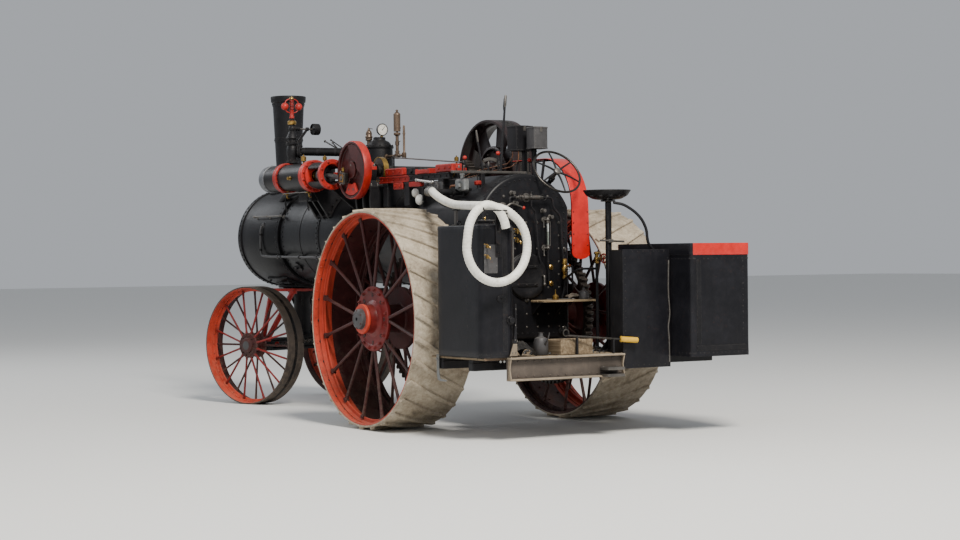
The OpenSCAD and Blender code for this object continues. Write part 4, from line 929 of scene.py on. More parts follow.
rear_wheel("rear_wheel_right", "right_rear", "right_rear_wheel", -1)

def bull(name, body, node, sg):
    o, Y = (0, 0, 0.97), (0, 1, 0)
    y0, y1 = 0.644, 0.714
    g = G("gear")
    g.push(Matrix.Diagonal((1, sg, 1, 1)))
    g.gear(o, Y, 64, 0.6361, 0.0145, y0, y1, 0.585, phase=-9.525)
    g.mat("wheel_dark")
    # rim bead, web with round holes and ribs
    g.lathe([(0.588, y0 + 0.004), (0.575, y0 + 0.006), (0.570, y0 + 0.018), (0.570, y1 - 0.018), (0.575, y1 - 0.006), (0.588, y1 - 0.004)], o, Y, 96)
    ym0, ym1 = y0 + 0.024, y1 - 0.024
    holes = 8
    # web: wedge spokes between the holes
    for i in range(holes):
        a = 360 / holes * i + 22.5
        pts = []
        for j in range(-6, 7):
            t = math.radians(a + j * 1.6 * (1 if abs(j) < 6 else 1))
            pts.append((0.574 * math.cos(t), 0.97 - 0.574 * math.sin(t)))
        for j in range(6, -7, -1):
            t = math.radians(a + j * 2.4)
            pts.append((0.165 * math.cos(t), 0.97 - 0.165 * math.sin(t)))
        # waist the two sides for the round holes
        q = []
        for (px, pz) in pts[:13]:
            q.append((px, pz))
        for s_ in (1,):
            for u in (0.2, 0.4, 0.6, 0.8):
                r = 0.574 + (0.165 - 0.574) * u
                half = 9.6 + (14.4 - 9.6) * u - 5.5 * math.sin(math.pi * u)
                t = math.radians(a + half)
                q.append((r * math.cos(t), 0.97 - r * math.sin(t)))
        q += pts[13:]
        for u in (0.8, 0.6, 0.4, 0.2):
            r = 0.574 + (0.165 - 0.574) * u
            half = 9.6 + (14.4 - 9.6) * u - 5.5 * math.sin(math.pi * u)
            t = math.radians(a - half)
            q.append((r * math.cos(t), 0.97 - r * math.sin(t)))
        g.ext(q, "y", ym0, ym1, 0.003)
        t = math.radians(a)
        g.bar((0.15 * math.cos(t), (y0 + y1) / 2, 0.97 - 0.15 * math.sin(t)), (0.575 * math.cos(t), (y0 + y1) / 2, 0.97 - 0.575 * math.sin(t)), 0.050, 0.022, up=(-math.sin(t), 0, -math.cos(t)))
    g.lathe([(0.0705, y0 + 0.002), (0.150, y0 + 0.002), (0.158, y0 + 0.008), (0.170, y0 + 0.022), (0.170, y1 - 0.022), (0.158, y1 - 0.004), (0.150, y1 + 0.002), (0.150, y1 + 0.024), (0.0705, y1 + 0.024)], o, Y, 48)
    g.bolt_ring((0, y0 + 0.002, 0.97), (0, -1, 0), 0.122, 8, 0.013, 0.010, stud=False)
    g.pop()
    g.make(name, body, (node,))
bull("bull_gear_left_toothed", "left_rear", "left_bull_gear", 1)
bull("bull_gear_right_toothed", "right_rear", "right_bull_gear", -1)

def drive_pinion(name, body, node, sg):
    x, z, Y = 0.745, 1.095, (0, 1, 0)
    g = G("gear")
    g.push(Matrix.Diagonal((1, sg, 1, 1)))
    g.gear((x, 0, z), Y, 12, 0.1193, 0.0145, 0.648, 0.710, 0.0505, phase=180 - 9.525 + 15)
    g.mat("oily")
    g.ring((x, 0, z), Y, 0.0505, 0.080, 0.640, 0.6479, 32)
    g.pop()
    g.make(name, body, (node,))
drive_pinion("pinion_left_toothed", "left_drive_pinion", "left_pinion", 1)
drive_pinion("pinion_right_toothed", "right_drive_pinion", "right_pinion", -1)

# ------------------------------------------------------------------ gear train, countershaft and brackets on the right
def train():
    Y = (0, 1, 0)
    y0, y1 = -0.606, -0.536
    g = G("gear")
    def spur(x, z, teeth, rp, phase, spokes, bore, hub, a0):
        g.mat("gear")
        g.gear((x, 0, z), Y, teeth, rp, 0.009, y0, y1, rp - 0.040, phase=phase)
        g.mat("cast")
        g.lathe([(rp - 0.038, y0 + 0.006), (rp - 0.050, y0 + 0.010), (rp - 0.050, y1 - 0.010), (rp - 0.038, y1 - 0.006)], (x, 0, z), Y, 72)
        for i in range(spokes):
            t = math.radians(a0 + 360 * i / spokes)
            c, s_ = math.cos(t), math.sin(t)
            p0 = Vector((x + hub * 0.9 * c, 0, z + hub * 0.9 * s_))
            p1 = Vector((x + (rp - 0.046) * c, 0, z + (rp - 0.046) * s_))
            tn = Vector((-s_, 0, c))
            # cross-shaped arm: broad flat and a rib
            q = [p0 + tn * 0.042, p1 + tn * 0.026, p1 - tn * 0.026, p0 - tn * 0.042]
            g.ext([(p.x, p.z) for p in q], "y", -0.578, -0.562, 0.003)
            g.bar(p0 + Vector((0, -0.571, 0)), p1 + Vector((0, -0.571, 0)), 0.052, 0.016, up=tn)
        g.ring((x, 0, z), Y, bore, hub, y0 - 0.002, y1 + 0.002, 40, 0.005)
    spur(0.745, 1.095, 82, 0.4305, -66.27, 6, 0.060, 0.105, 20)
    g.bolt_ring((0.745, -0.608, 1.095), (0, -1, 0), 0.082, 4, 0.012, 0.010)
    spur(1.083, 1.864, 78, 0.4095, 180 - 66.27 + 180 / 78, 5, 0.040, 0.088, 8)
    g.mat("gear")
    g.gear((CX, 0, CZ), Y, 20, 0.105, 0.009, y0, y1, 0.0455, phase=180 - 66.27)
    g.mat("oily")
    g.ring((CX, 0, CZ), Y, 0.0462, 0.072, y0 - 0.012, y0 - 0.001, 32)
    g.make("drive_train_toothed", "chassis", ("drive_gears",))

    g = G("oily")
    x, z = 0.745, 1.095
    g.cyl((x, -0.716, z), (x, 0.716, z), 0.050, 32, 0.004)
    g.mat("cast")
    # differential case with its bolted flange, and hangers
    g.lathe([(0.052, -0.534), (0.100, -0.534), (0.125, -0.526), (0.150, -0.505), (0.160, -0.480), (0.1755, -0.476), (0.178, -0.470), (0.178, -0.448), (0.1755, -0.442), (0.160, -0.438), (0.150, -0.412), (0.120, -0.388), (0.085, -0.380), (0.052, -0.380)], (x, 0, z), Y, 56)
    g.bolt_ring((x, -0.442, z), Y, 0.168, 12, 0.009, 0.008)
    for y in (-0.24, 0.24):
        g.ring((x, 0, z), Y, 0.0505, 0.088, y - 0.052, y + 0.052, 40, 0.006)
        g.ext([(x - 0.072, z + 0.02), (x - 0.088, z - 0.05), (x + 0.088, z - 0.05), (x + 0.072, z + 0.02), (x + 0.055, 1.36), (x - 0.055, 1.36)], "y", y - 0.022, y + 0.022, 0.005)
        zc = BZ - math.sqrt(BR ** 2 - y * y)
        g.box(x - 0.075, x + 0.075, y - 0.055, y + 0.055, zc - 0.045, zc + 0.015, 0.006)
        g.box(x - 0.055, x + 0.055, y - 0.040, y + 0.040, 1.30, zc - 0.03, 0.006)
        g.box(x - 0.105, x + 0.105, y - 0.040, y + 0.040, z - 0.075, z - 0.050, 0.004)
        for sx in (-0.085, 0.085):
            g.bolt((x + sx, y, z - 0.075), (0, 0, -1), 0.013, 0.011)
            g.cyl((x + sx, y, z - 0.06), (x + sx, y, z + 0.05), 0.010, 10)
            g.hexa((x + sx, y, z + 0.045), (0, 0, 1), 0.015, 0.011)
        g.oilcup((x, y, z + 0.085), 0.8)
    # stub and bracket of the middle gear
    mx, mz = 1.083, 1.864
    g.mat("oily")
    g.cyl((mx, -0.625, mz), (mx, -0.47, mz), 0.040, 28, 0.004)
    g.mat("cast")
    g.ring((mx, 0, mz), Y, 0.030, 0.056, -0.624, -0.610, 28)
    g.ext([(mx - 0.062, mz + 0.055), (mx + 0.062, mz + 0.055), (mx + 0.085, mz - 0.15), (mx - 0.085, mz - 0.15)], "y", -0.528, -0.468, 0.006)
    g.box(mx - 0.10, mx + 0.10, -0.500, -0.452, mz - 0.165, mz + 0.065, 0.006)
    for dx in (-0.078, 0.078):
        for dz in (-0.13, 0.04):
            g.bolt((mx + dx, -0.500, mz + dz), (0, -1, 0), 0.013, 0.011)
    g.make("countershaft_and_case", "chassis", ("countershaft",))

    # axle brackets: plate, boss and stub on each side
    g = G("cast")
    for sg in (1, -1):
        g.push(Matrix.Diagonal((1, sg, 1, 1)))
        g.ext([(-0.24, 0.80), (-0.22, 0.78), (0.22, 0.78), (0.24, 0.80), (0.24, 1.20), (0.17, 1.50), (-0.17, 1.50), (-0.24, 1.20)], "y", 0.4551, 0.482, 0.005)
        g.lathe([(0.03, 0.470), (0.20, 0.470), (0.205, 0.476), (0.200, 0.490), (0.158, 0.505), (0.150, 0.520), (0.150, 0.582), (0.142, 0.590), (0.070, 0.590)], (0, 0, 0.97), Y, 48)
        # webs
        for a in (90, 210, 330, 30, 150):
            t = math.radians(a)
            ct, st = math.cos(t), math.sin(t)
            L = 0.32 if a == 90 else 0.22
            p = [(0.13, 0.478), (L, 0.478), (0.148, 0.575), (0.13, 0.575)]
            g.push(Matrix.Translation((0, 0, 0.97)) @ Matrix.Rotation(-t, 4, "Y"))
            g.ext([(q[0], q[1]) for q in p], "z", -0.013, 0.013, 0.003)
            g.pop()
        for bx_, bz in ((-0.20, 0.83), (0.20, 0.83), (-0.20, 0.99), (0.20, 0.99), (-0.20, 1.16), (0.20, 1.16), (-0.155, 1.33), (0.155, 1.33), (-0.13, 1.455), (0.13, 1.455), (0, 1.455)):
            g.bolt((bx_, 0.482, bz), Y, 0.015, 0.013)
        g.mat("oily")
        g.lathe([(0.070, 0.585), (0.070, 1.300), (0.066, 1.304), (0.030, 1.304)], (0, 0, 0.97), Y, 40)
        g.mat("cast")
        g.pop()
    g.make("axle_bracket_castings", "chassis", ("axle_brackets",))
train()

# ------------------------------------------------------------------ front axle, wheels and turntable
def front():
    T = Matrix.Translation((3.75, 0, 0)) @ Matrix.Rotation(math.radians(19), 4, "Z")
    Y = (0, 1, 0)
    def wheel(name, body, node, sg):
        g = G("tyre")
        g.push(T)
        g.push(Matrix.Diagonal((1, sg, 1, 1)))
        yi, yo, z = 0.60, 0.83, 0.61
        yc = 0.715
        o = (0, 0, z)
        g.lathe([(0.596, yi), (0.6085, yi + 0.001), (0.610, yi + 0.003), (0.610, yo - 0.003), (0.6085, yo - 0.001), (0.596, yo)], o, Y, 96)
        g.mat("cast")
        # worn black outer edge and guide band round the tread's middle
        g.lathe([(0.6098, yc - 0.022), (0.6100, yc - 0.020), (0.6100, yc + 0.020), (0.6098, yc + 0.022)], o, Y, 96)
        # inside of the rim: the outer part bright red as painted sunlight, the inner part dark as painted shade; the
        # tee ring in the middle takes the bright red
        g.mat("wheel_red")
        g.lathe([(0.5945, yc - 0.030), (0.5945, yo - 0.002), (0.596, yo)], o, Y, 96)
        g.mat("wheel_dark")
        g.lathe([(0.596, yi), (0.5945, yi + 0.002), (0.5945, yc - 0.030)], o, Y, 96)
        g.mat("wheel_red")
        g.lathe([(0.595, yc - 0.036), (0.586, yc - 0.034), (0.584, yc - 0.010), (0.562, yc - 0.006), (0.560, yc), (0.562, yc + 0.006), (0.584, yc + 0.010), (0.586, yc + 0.034), (0.595, yc + 0.036)], o, Y, 96)
        g.mat("wheel_dark")
        g.lathe([(0.0352, yc - 0.10), (0.078, yc - 0.10), (0.082, yc - 0.094), (0.082, yc - 0.060), (0.128, yc - 0.056), (0.130, yc - 0.052), (0.130, yc - 0.040), (0.126, yc - 0.036), (0.078, yc - 0.030),
                 (0.074, yc), (0.078, yc + 0.062), (0.126, yc + 0.070), (0.130, yc + 0.074), (0.130, yc + 0.088), (0.126, yc + 0.092), (0.082, yc + 0.098), (0.078, yc + 0.116), (0.070, yc + 0.122), (0.052, yc + 0.1245), (0, yc + 0.1245)], o, Y, 48)
        g.bolt_ring((0, yc + 0.091, z), Y, 0.106, 12, 0.010, 0.009, a0=15)
        g.mat("grey")
        g.lathe([(0.050, yc + 0.118), (0.050, yc + 0.1235), (0.044, yc + 0.1248), (0, yc + 0.1248)], o, Y, 24)
        for h0, h1, a0 in ((-0.046, -0.012, 0.0), (0.080, 0.012, 15.0)):
            for i in range(12):
                a = math.radians(a0 + 30 * i)
                c, s_ = math.cos(a), math.sin(a)
                p0 = Vector((0.105 * c, yc + h0, z + 0.105 * s_))
                p1 = Vector((0.572 * c, yc + h1, z + 0.572 * s_))
                e = (p1 - p0).normalized()
                # inner row of spokes in the dark red as painted shade, outer row in hub red
                g.mat("hub_red" if h1 > 0 else "wheel_dark")
                g.tube([p0, p0 + e * 0.02, p0 + e * 0.05, p1 - e * 0.06, p1 - e * 0.015, p1], [0.016, 0.016, 0.0105, 0.0105, 0.013, 0.015], 8)
                g.rivet(p1, (0, 1 if h1 > 0 else -1, 0), 0.011)
        for i in range(36):
            a = math.radians(10 * i)
            for y in (yc - 0.025, yc + 0.025):
                g.rivet((0.585 * math.sin(a), y, z + 0.585 * math.cos(a)), (-math.sin(a), 0, -math.cos(a)), 0.007, 6)
        g.pop(); g.pop()
        g.make(name, body, (node,))
    wheel("front_wheel_left_spoked", "left_front", "left_front_wheel", 1)
    wheel("front_wheel_right_spoked", "right_front", "right_front_wheel", -1)

    g = G("cast")
    g.push(T)
    # axle beam: forged I with pads, swelled ends
    g.ext([(-0.060, 0.545), (0.060, 0.545), (0.060, 0.566), (0.024, 0.578), (0.024, 0.642), (0.060, 0.654), (0.060, 0.675), (-0.060, 0.675), (-0.060, 0.654), (-0.024, 0.642), (-0.024, 0.578), (-0.060, 0.566)], "y", -0.52, 0.52, 0.004)
    for s_ in (-1, 1):
        g.box(-0.058, 0.058, s_ * 0.50, s_ * 0.588, 0.546, 0.674, 0.010)
        g.mat("oily")
        g.cyl((0, s_ * 0.56, 0.61), (0, s_ * 0.80, 0.61), 0.035, 28, 0.004)
        g.mat("cast")
        g.ring((0, 0, 0.61), Y, 0.035, 0.052, min(s_ * 0.586, s_ * 0.597), max(s_ * 0.586, s_ * 0.597), 28)
    # post with a collar and ribs
    g.lathe([(0, 0.674), (0.150, 0.674), (0.152, 0.680), (0.150, 0.696), (0.112, 0.706), (0.092, 0.730), (0.088, 1.06), (0.100, 1.10), (0.150, 1.150), (0.160, 1.162), (0, 1.162)], (0, 0, 0), (0, 0, 1), 40)
    for a in range(4):
        g.push(Matrix.Rotation(math.radians(45 + 90 * a), 4, "Z"))
        g.ext([(0.085, 0.70), (0.140, 0.70), (0.100, 0.80), (0.085, 0.85)], "y", -0.010, 0.010, 0.003)
        g.ext([(0.085, 1.00), (0.150, 1.158), (0.085, 1.158)], "y", -0.010, 0.010, 0.003)
        g.pop()
    # top plate (lower half of the turntable)
    g.mat("red")
    g.ext(rrect(-0.20, 0.20, -0.33, 0.33, 0.05), "z", 1.160, 1.190, 0.004)
    g.mat("oily")
    g.cyl((0, 0, 1.188), (0, 0, 1.216), 0.045, 32)
    g.ring((0, 0, 0), (0, 0, 1), 0.046, 0.20, 1.189, 1.1945, 48)
    g.mat("red")
    for s_ in (-1, 1):
        for e in (-1, 1):
            a, b = Vector((e * 0.16, s_ * 0.295, 1.165)), Vector((e * 0.03, s_ * 0.56, 0.655))
            d = (b - a).normalized()
            g.tube([a, b], [0.0285, 0.0285], 16)
            # forged eyes and bolts at both ends
            g.cyl(a - Vector((0, 0, 0.030)), a + Vector((0, 0, 0.0)), 0.040, 20)
            g.bolt(a + Vector((0, 0, 0.024)), (0, 0, 1), 0.018, 0.003, stud=False)
            g.box(e * 0.03 - 0.034, e * 0.03 + 0.034, s_ * 0.56 - 0.030, s_ * 0.56 + 0.024, 0.640, 0.674, 0.005)
            g.bolt((e * 0.03, s_ * 0.56, 0.674), (0, 0, 1), 0.014, 0.010)
    # chain eyes on the beam's front and rear
    for s_ in (-1, 1):
        g.ring((-0.078, s_ * 0.46, 0.61), (0, 1, 0), 0.014, 0.028, -0.010, 0.010, 20)
        g.bolt((-0.058, s_ * 0.46, 0.61), (-1, 0, 0), 0.014, 0.002, stud=False)
    g.pop()
    g.make("front_axle_forging", "steering_axle", ("front_axle",))

    # pedestal under the smokebox
    g = G("cast")
    x0 = 3.75
    def saddle_z(y, r):
        return BZ - math.sqrt(max(0.0, r * r - y * y))
    n = 14
    for xa, xb in ((x0 - 0.19, x0 - 0.15), (x0 + 0.15, x0 + 0.19), (x0 - 0.02, x0 + 0.02)):
        top = [(y, saddle_z(y, 0.5052)) for y in [(-0.25 + 0.5 * i / n) for i in range(n + 1)]]
        pts = [(-0.21, 1.232)] + [(0.21, 1.232)] + top[::-1]
        g.ext(pts, "x", xa, xb, 0.004)
    for y0, y1 in ((-0.25, -0.215), (0.215, 0.25)):
        g.box(x0 - 0.185, x0 + 0.185, y0, y1, 1.30, 1.290 + 0.0 + saddle_z(0.25, 0.505) - 1.292, 0.005)
        g.ext([(x0 - 0.16, 1.235), (x0 + 0.16, 1.235), (x0 + 0.185, 1.31), (x0 - 0.185, 1.31)], "y", y0 * 0.9, y1 * 0.9, 0.004)
    g.box(x0 - 0.185, x0 + 0.185, -0.20, 0.20, 1.228, 1.262, 0.005)
    # saddle flange that follows the smokebox
    vs, F = [], []
    m_ = 16
    for xs in (x0 - 0.235, x0 + 0.235):
        for i in range(m_ + 1):
            t = math.radians(-34 + 68 * i / m_)
            for r in (0.5055, 0.525):
                vs.append((xs, r * math.sin(t), BZ - r * math.cos(t)))
    w = (m_ + 1) * 2
    for i in range(m_):
        a = i * 2
        F += [(a, a + 2, w + a + 2, w + a), (a + 1, w + a + 1, w + a + 3, a + 3), (a, a + 1, a + 3, a + 2), (w + a, w + a + 2, w + a + 3, w + a + 1)]
    F += [(0, w, w + 1, 1), (m_ * 2, m_ * 2 + 1, w + m_ * 2 + 1, w + m_ * 2)]
    g.add(vs, F)
    for xs in (x0 - 0.212, x0 + 0.212):
        for i in range(7):
            t = math.radians(-30 + 10 * i)
            g.bolt((xs, 0.525 * math.sin(t), BZ - 0.525 * math.cos(t)), (0, math.sin(t), -math.cos(t)), 0.012, 0.010)
    # turntable disc, hollow for the pin
    g.lathe([(0.0455, 1.1965), (0.243, 1.1965), (0.250, 1.203), (0.250, 1.223), (0.243, 1.2295), (0.047, 1.2295), (0.0455, 1.228), (0.0455, 1.1965)], (x0, 0, 0), (0, 0, 1), 64)
    g.bolt_ring((x0, 0, 1.2297), (0, 0, 1), 0.226, 12, 0.012, 0.010)
    g.make("front_pedestal_casting", "chassis", ("front_pedestal",))
front()

# ------------------------------------------------------------------ boiler, smokebox, firebox
def on_barrel(a, r=BR):
    """Point and outward direction on the boiler at angle a (0 = left side, 90 = top)."""
    t = math.radians(a)
    return Vector((0, r * math.cos(t), BZ + r * math.sin(t))), Vector((0, math.cos(t), math.sin(t)))

def boiler():
    X = (1, 0, 0)
    g = G("boiler")
    c = (0, 0, BZ)
    # barrel courses: the middle one laps over the others, with calked edges
    g.lathe([(0, 0.521), (0.470, 0.521), (0.4795, 0.524), (0.480, 0.53), (0.480, 1.349), (0.4865, 1.351), (0.487, 1.353), (0.487, 1.407), (0.4865, 1.409), (0.480, 1.411), (0.480, 2.419), (0.4865, 2.421), (0.487, 2.423), (0.487, 2.477),
             (0.4865, 2.479), (0.480, 2.481), (0.480, 3.295), (0.4795, 3.299), (0, 3.299)], c, X, 128)
    # rivets: double rows at the laps, single at the ends, a lap seam along the upper right side
    for x, rr in ((0.56, 0.480), (0.62, 0.480), (1.366, 0.487), (1.394, 0.487), (2.436, 0.487), (2.464, 0.487), (3.235, 0.480)):
        k = 60
        for i in range(k):
            a = 360 * i / k + (3 if x in (1.394, 2.464, 0.62) else 0)
            p, d = on_barrel(a, rr)
            g.rivet(p + Vector((x, 0, 0)), d, 0.0105, 8)
    for a in (128, 132.5):
        p, d = on_barrel(a, 0.480)
        for x0, x1 in ((0.70, 1.32), (1.45, 2.38), (2.52, 3.2)):
            g.rivets(p + Vector((x0, 0, 0)), p + Vector((x1, 0, 0)), 0.055, d, 0.0095, 7)
    # cleading bands with their bolts
    for x in (0.98, 1.86, 2.86):
        g.lathe([(0.4800, x - 0.024), (0.4835, x - 0.023), (0.4835, x + 0.023), (0.4800, x + 0.024)], c, X, 128)
        for a in (-88,):
            p, d = on_barrel(a, 0.487)
            g.box(x - 0.024, x + 0.024, p.y - 0.03, p.y - 0.012, p.z - 0.02, p.z + 0.012, 0.003)
            g.box(x - 0.024, x + 0.024, p.y + 0.012, p.y + 0.03, p.z - 0.02, p.z + 0.012, 0.003)
            g.bolt((x, p.y + 0.03, p.z - 0.008), (0, 1, 0), 0.009, 0.008)
    # hand holes and wash-out plugs low on the barrel
    for x, a in ((0.86, -40), (2.20, -48), (3.08, -40), (0.86, 220), (2.20, 228), (3.08, 220)):
        p, d = on_barrel(a, 0.480)
        p = p + Vector((x, 0, 0))
        g.cyl(p - d * 0.004, p + d * 0.012, 0.058, 24, 0.004)
        g.mat("cast")
        g.bar(p + d * 0.014 - Vector((0.07, 0, 0)), p + d * 0.014 + Vector((0.07, 0, 0)), 0.028, 0.016, up=d)
        g.bolt(p + d * 0.022, d, 0.014, 0.012)
        g.mat("boiler")
    g.make("boiler_courses", "chassis", ("boiler_barrel",))

    # feed pipe along the left side, up the smokebox to a flange, and a short rail above it
    g = G("grey")
    g.run([(1.32, 0.455, 1.53), (1.32, 0.500, 1.50), (1.42, 0.500, 1.500), (3.50, 0.502, 1.528), (3.655, 0.520, 1.540), (3.660, 0.524, 1.620), (3.660, 0.524, 1.800), (3.660, 0.510, 1.845), (3.660, 0.485, 1.850)], 0.0125, 14, 0.045)
    for x in (2.42, 3.30):
        z = 1.500 + 0.028 * (x - 1.42) / 2.08
        g.hexa((x - 0.016, 0.5005, z), (1, 0, 0), 0.021, 0.032)
    g.lathe([(0.014, 0.0), (0.034, 0.0), (0.036, 0.003), (0.036, 0.010), (0.020, 0.014), (0.018, 0.026), (0.013, 0.028)], (3.660, 0.4845, 1.850), (0, 1, 0), 22)
    g.mat("cast")
    for x in (1.70, 2.25, 2.80, 3.22):
        z = 1.500 + 0.028 * (x - 1.42) / 2.08
        g.ring((x, 0.501, z), (1, 0, 0), 0.0127, 0.0185, -0.011, 0.011, 20, 0.002)
        g.bar((x, 0.487, z + 0.004), (x, 0.425, z + 0.020), 0.020, 0.007, up=(1, 0, 0))
        g.rivet((x, 0.4360, z + 0.016), (0, 1, -0.4), 0.009, 8)
    for z in (1.60, 1.76):
        g.ring((3.660, 0.524, z), (0, 0, 1), 0.0127, 0.0185, -0.010, 0.010, 20, 0.002)
    g.mat("worn")
    g.cyl((3.20, 0.496, 1.945), (3.90, 0.496, 1.950), 0.0080, 12)
    for x in (3.24, 3.55, 3.86):
        g.cyl((x, 0.446, 1.938), (x, 0.498, 1.9475), 0.0068, 10)
        g.sphere((x, 0.4965, 1.9475), 0.0135, 14, 8)
        g.lathe([(0.020, 0.0), (0.020, 0.004), (0.012, 0.010), (0.008, 0.014)], (x, 0.4555, 1.9385), (0, 1, 0.45), 14)
    g.make("side_feed_pipe", "chassis", ())

    # smokebox shell
    g = G("boiler")
    r = 0.505
    g.lathe([(0.490, 3.301), (0.503, 3.301), (r, 3.304), (r, 4.169), (0.5165, 4.1705), (0.517, 4.173), (0.517, 4.234), (0.5155, 4.239), (0.500, 4.2395), (0.385, 4.2395), (0.385, 4.200), (0.491, 4.200), (0.491, 3.312), (0.490, 3.301)], c, X, 128)
    g.lathe([(0.481, 3.302), (0.491, 3.3015)], c, X, 96)
    g.mat("cast")
    g.lathe([(0, 3.312), (0.491, 3.312)], c, X, 96)
    # tube ends
    g.mat("worn")
    for iy in range(-4, 5):
        for iz in range(-3, 4):
            y, z = iy * 0.078 + (0.039 if iz % 2 else 0), iz * 0.068
            if math.hypot(y, z) < 0.33:
                g.lathe([(0.020, 3.312), (0.027, 3.313), (0.027, 3.322), (0.0245, 3.326), (0.020, 3.326), (0.020, 3.313)], (0, y, BZ + z), X, 10)
    g.mat("boiler")
    for x, rr, k, off in ((3.345, 0.505, 60, 0), (4.205, 0.517, 60, 3)):
        for i in range(k):
            p, d = on_barrel(360 * i / k + off, rr)
            g.rivet(p + Vector((x, 0, 0)), d, 0.0105, 8)
    p, d = on_barrel(-90, 0.505)
    for y in (-0.02, 0.02):
        g.rivets((3.4, y, BZ - 0.5046), (3.52, y, BZ - 0.5046), 0.055, d, 0.0095, 7)
    # door ring with its studs
    g.bolt_ring((4.239, 0, BZ), X, 0.462, 22, 0.012, 0.009, a0=8)
    # hinge ears and pins
    for z in (-0.262, -0.138, 0.138, 0.262):
        g.box(4.236, 4.292, -0.486, -0.434, BZ + z - 0.014, BZ + z + 0.014, 0.004)
    g.box(4.236, 4.250, -0.492, -0.428, BZ - 0.285, BZ - 0.115, 0.003)
    g.box(4.236, 4.250, -0.492, -0.428, BZ + 0.115, BZ + 0.285, 0.003)
    g.mat("worn")
    for z in (-0.262, 0.138):
        g.cyl((4.266, -0.46, BZ + z - 0.006), (4.266, -0.46, BZ + z + 0.136), 0.0088, 14, 0.001)
        g.sphere((4.266, -0.46, BZ + z + 0.138), 0.013, 12, 6)
    g.make("smokebox_shell", "chassis", ("smokebox",))

    # smokebox door
    g = G("boiler")
    x1 = 4.24
    g.lathe([(0, x1 + 0.007), (0.395, x1 + 0.007), (0.409, x1 + 0.008), (0.412, x1 + 0.011), (0.412, x1 + 0.018), (0.409, x1 + 0.021), (0.392, x1 + 0.022), (0.370, x1 + 0.024), (0.300, x1 + 0.040), (0.230, x1 + 0.049), (0.150, x1 + 0.054), (0.060, x1 + 0.057), (0, x1 + 0.058)], c, X, 96)
    g.mat("cast")
    for z in (-0.2, 0.2):
        # strap follows the dished door
        g.ring((4.266, -0.46, 0), (0, 0, 1), 0.0094, 0.022, BZ + z - 0.042, BZ + z + 0.042, 24)
        pts = [(-0.455, 4.262), (-0.41, 4.270), (-0.36, 4.276), (-0.26, 4.291), (-0.13, 4.301), (0.02, 4.305)]
        for i in range(len(pts) - 1):
            (ya, xa), (yb, xb) = pts[i], pts[i + 1]
            w = 0.030 - 0.004 * i * 0.5
            g.bar((xa, ya, BZ + z), (xb, yb, BZ + z), 2 * w, 0.010, up=(1, 0, 0), c=0.002)
        for y, x in ((-0.36, 4.281), (-0.24, 4.297), (-0.10, 4.307)):
            g.rivet((x, y, BZ + z), X, 0.013)
    g.lathe([(0.075, x1 + 0.055), (0.072, x1 + 0.062), (0.046, x1 + 0.066), (0.042, x1 + 0.082), (0, x1 + 0.084)], c, X, 32)
    g.mat("worn")
    # dart handles are short and lie flat to the boss
    g.bar((x1 + 0.074, 0, BZ), (x1 + 0.074, 0.02, BZ - 0.19), 0.022, 0.012, up=X)
    g.bar((x1 + 0.079, 0, BZ), (x1 + 0.079, 0.14, BZ - 0.10), 0.020, 0.008, up=X)
    g.mat("cast")
    g.lathe([(0.030, x1 + 0.02), (0.026, x1 + 0.038), (0.018, x1 + 0.046), (0, x1 + 0.046)], (0, 0.380, BZ), X, 20)
    for a in range(0, 360, 30):
        if 140 < a < 220:
            continue
        t = math.radians(a)
        g.box(x1 + 0.020, x1 + 0.030, 0.393 * math.cos(t) - 0.014, 0.393 * math.cos(t) + 0.014, BZ + 0.393 * math.sin(t) - 0.014, BZ + 0.393 * math.sin(t) + 0.014, 0.003)
    g.make("smokebox_door_dished", "smoke_door", ("smokebox_door",))

    # stack: cast saddle base, riveted taper barrel, rolled lip
    g = G("cast")
    x = 4.03
    vs, F = [], []
    k = 48
    rows = []
    for r, h in ((0.208, 0.0), (0.213, 0.014), (0.160, 0.030), (0.144, 0.055), (0.136, 0.100), (0.136, 0.112)):
        row = []
        for i in range(k):
            a = 2 * math.pi * i / k
            px, py = r * math.cos(a), r * math.sin(a)
            zb = math.sqrt(0.506 ** 2 - py * py)
            top = 0.5065
            blend = max(0.0, 1 - h / 0.10)
            pz = BZ + zb * blend + top * (1 - blend) + h + (0.014 if x + px > 4.16 and h < 0.02 else 0.0)
            row.append(len(vs))
            vs.append((x + px, py, pz))
        rows.append(row)
    for a, b in zip(rows, rows[1:]):
        for i in range(k):
            j = (i + 1) % k
            F.append((a[i], a[j], b[j], b[i]))
    g.add(vs, F)
    for i in range(10):
        a = math.radians(36 * i + 18)
        px, py = 0.187 * math.cos(a), 0.187 * math.sin(a)
        if x + px > 4.165:
            continue
        zb = math.sqrt(0.506 ** 2 - py * py)
        g.bolt((x + px, py, BZ + zb + 0.020), (0, py / 0.5, 1), 0.013, 0.011)
    g.mat("sheet")
    zt = 3.25
    g.lathe([(0.112, 2.30), (0.128, 2.325), (0.1285, 2.345), (0.168, zt - 0.074), (0.1725, zt - 0.072), (0.180, zt - 0.068), (0.186, zt - 0.058), (0.190, zt - 0.010), (0.1875, zt - 0.002), (0.182, zt), (0.172, zt - 0.001), (0.167, zt - 0.006),
             (0.160, zt - 0.040), (0.150, zt - 0.10), (0.118, 2.34), (0.112, 2.26)], (x, 0, 0), (0, 0, 1), 72)
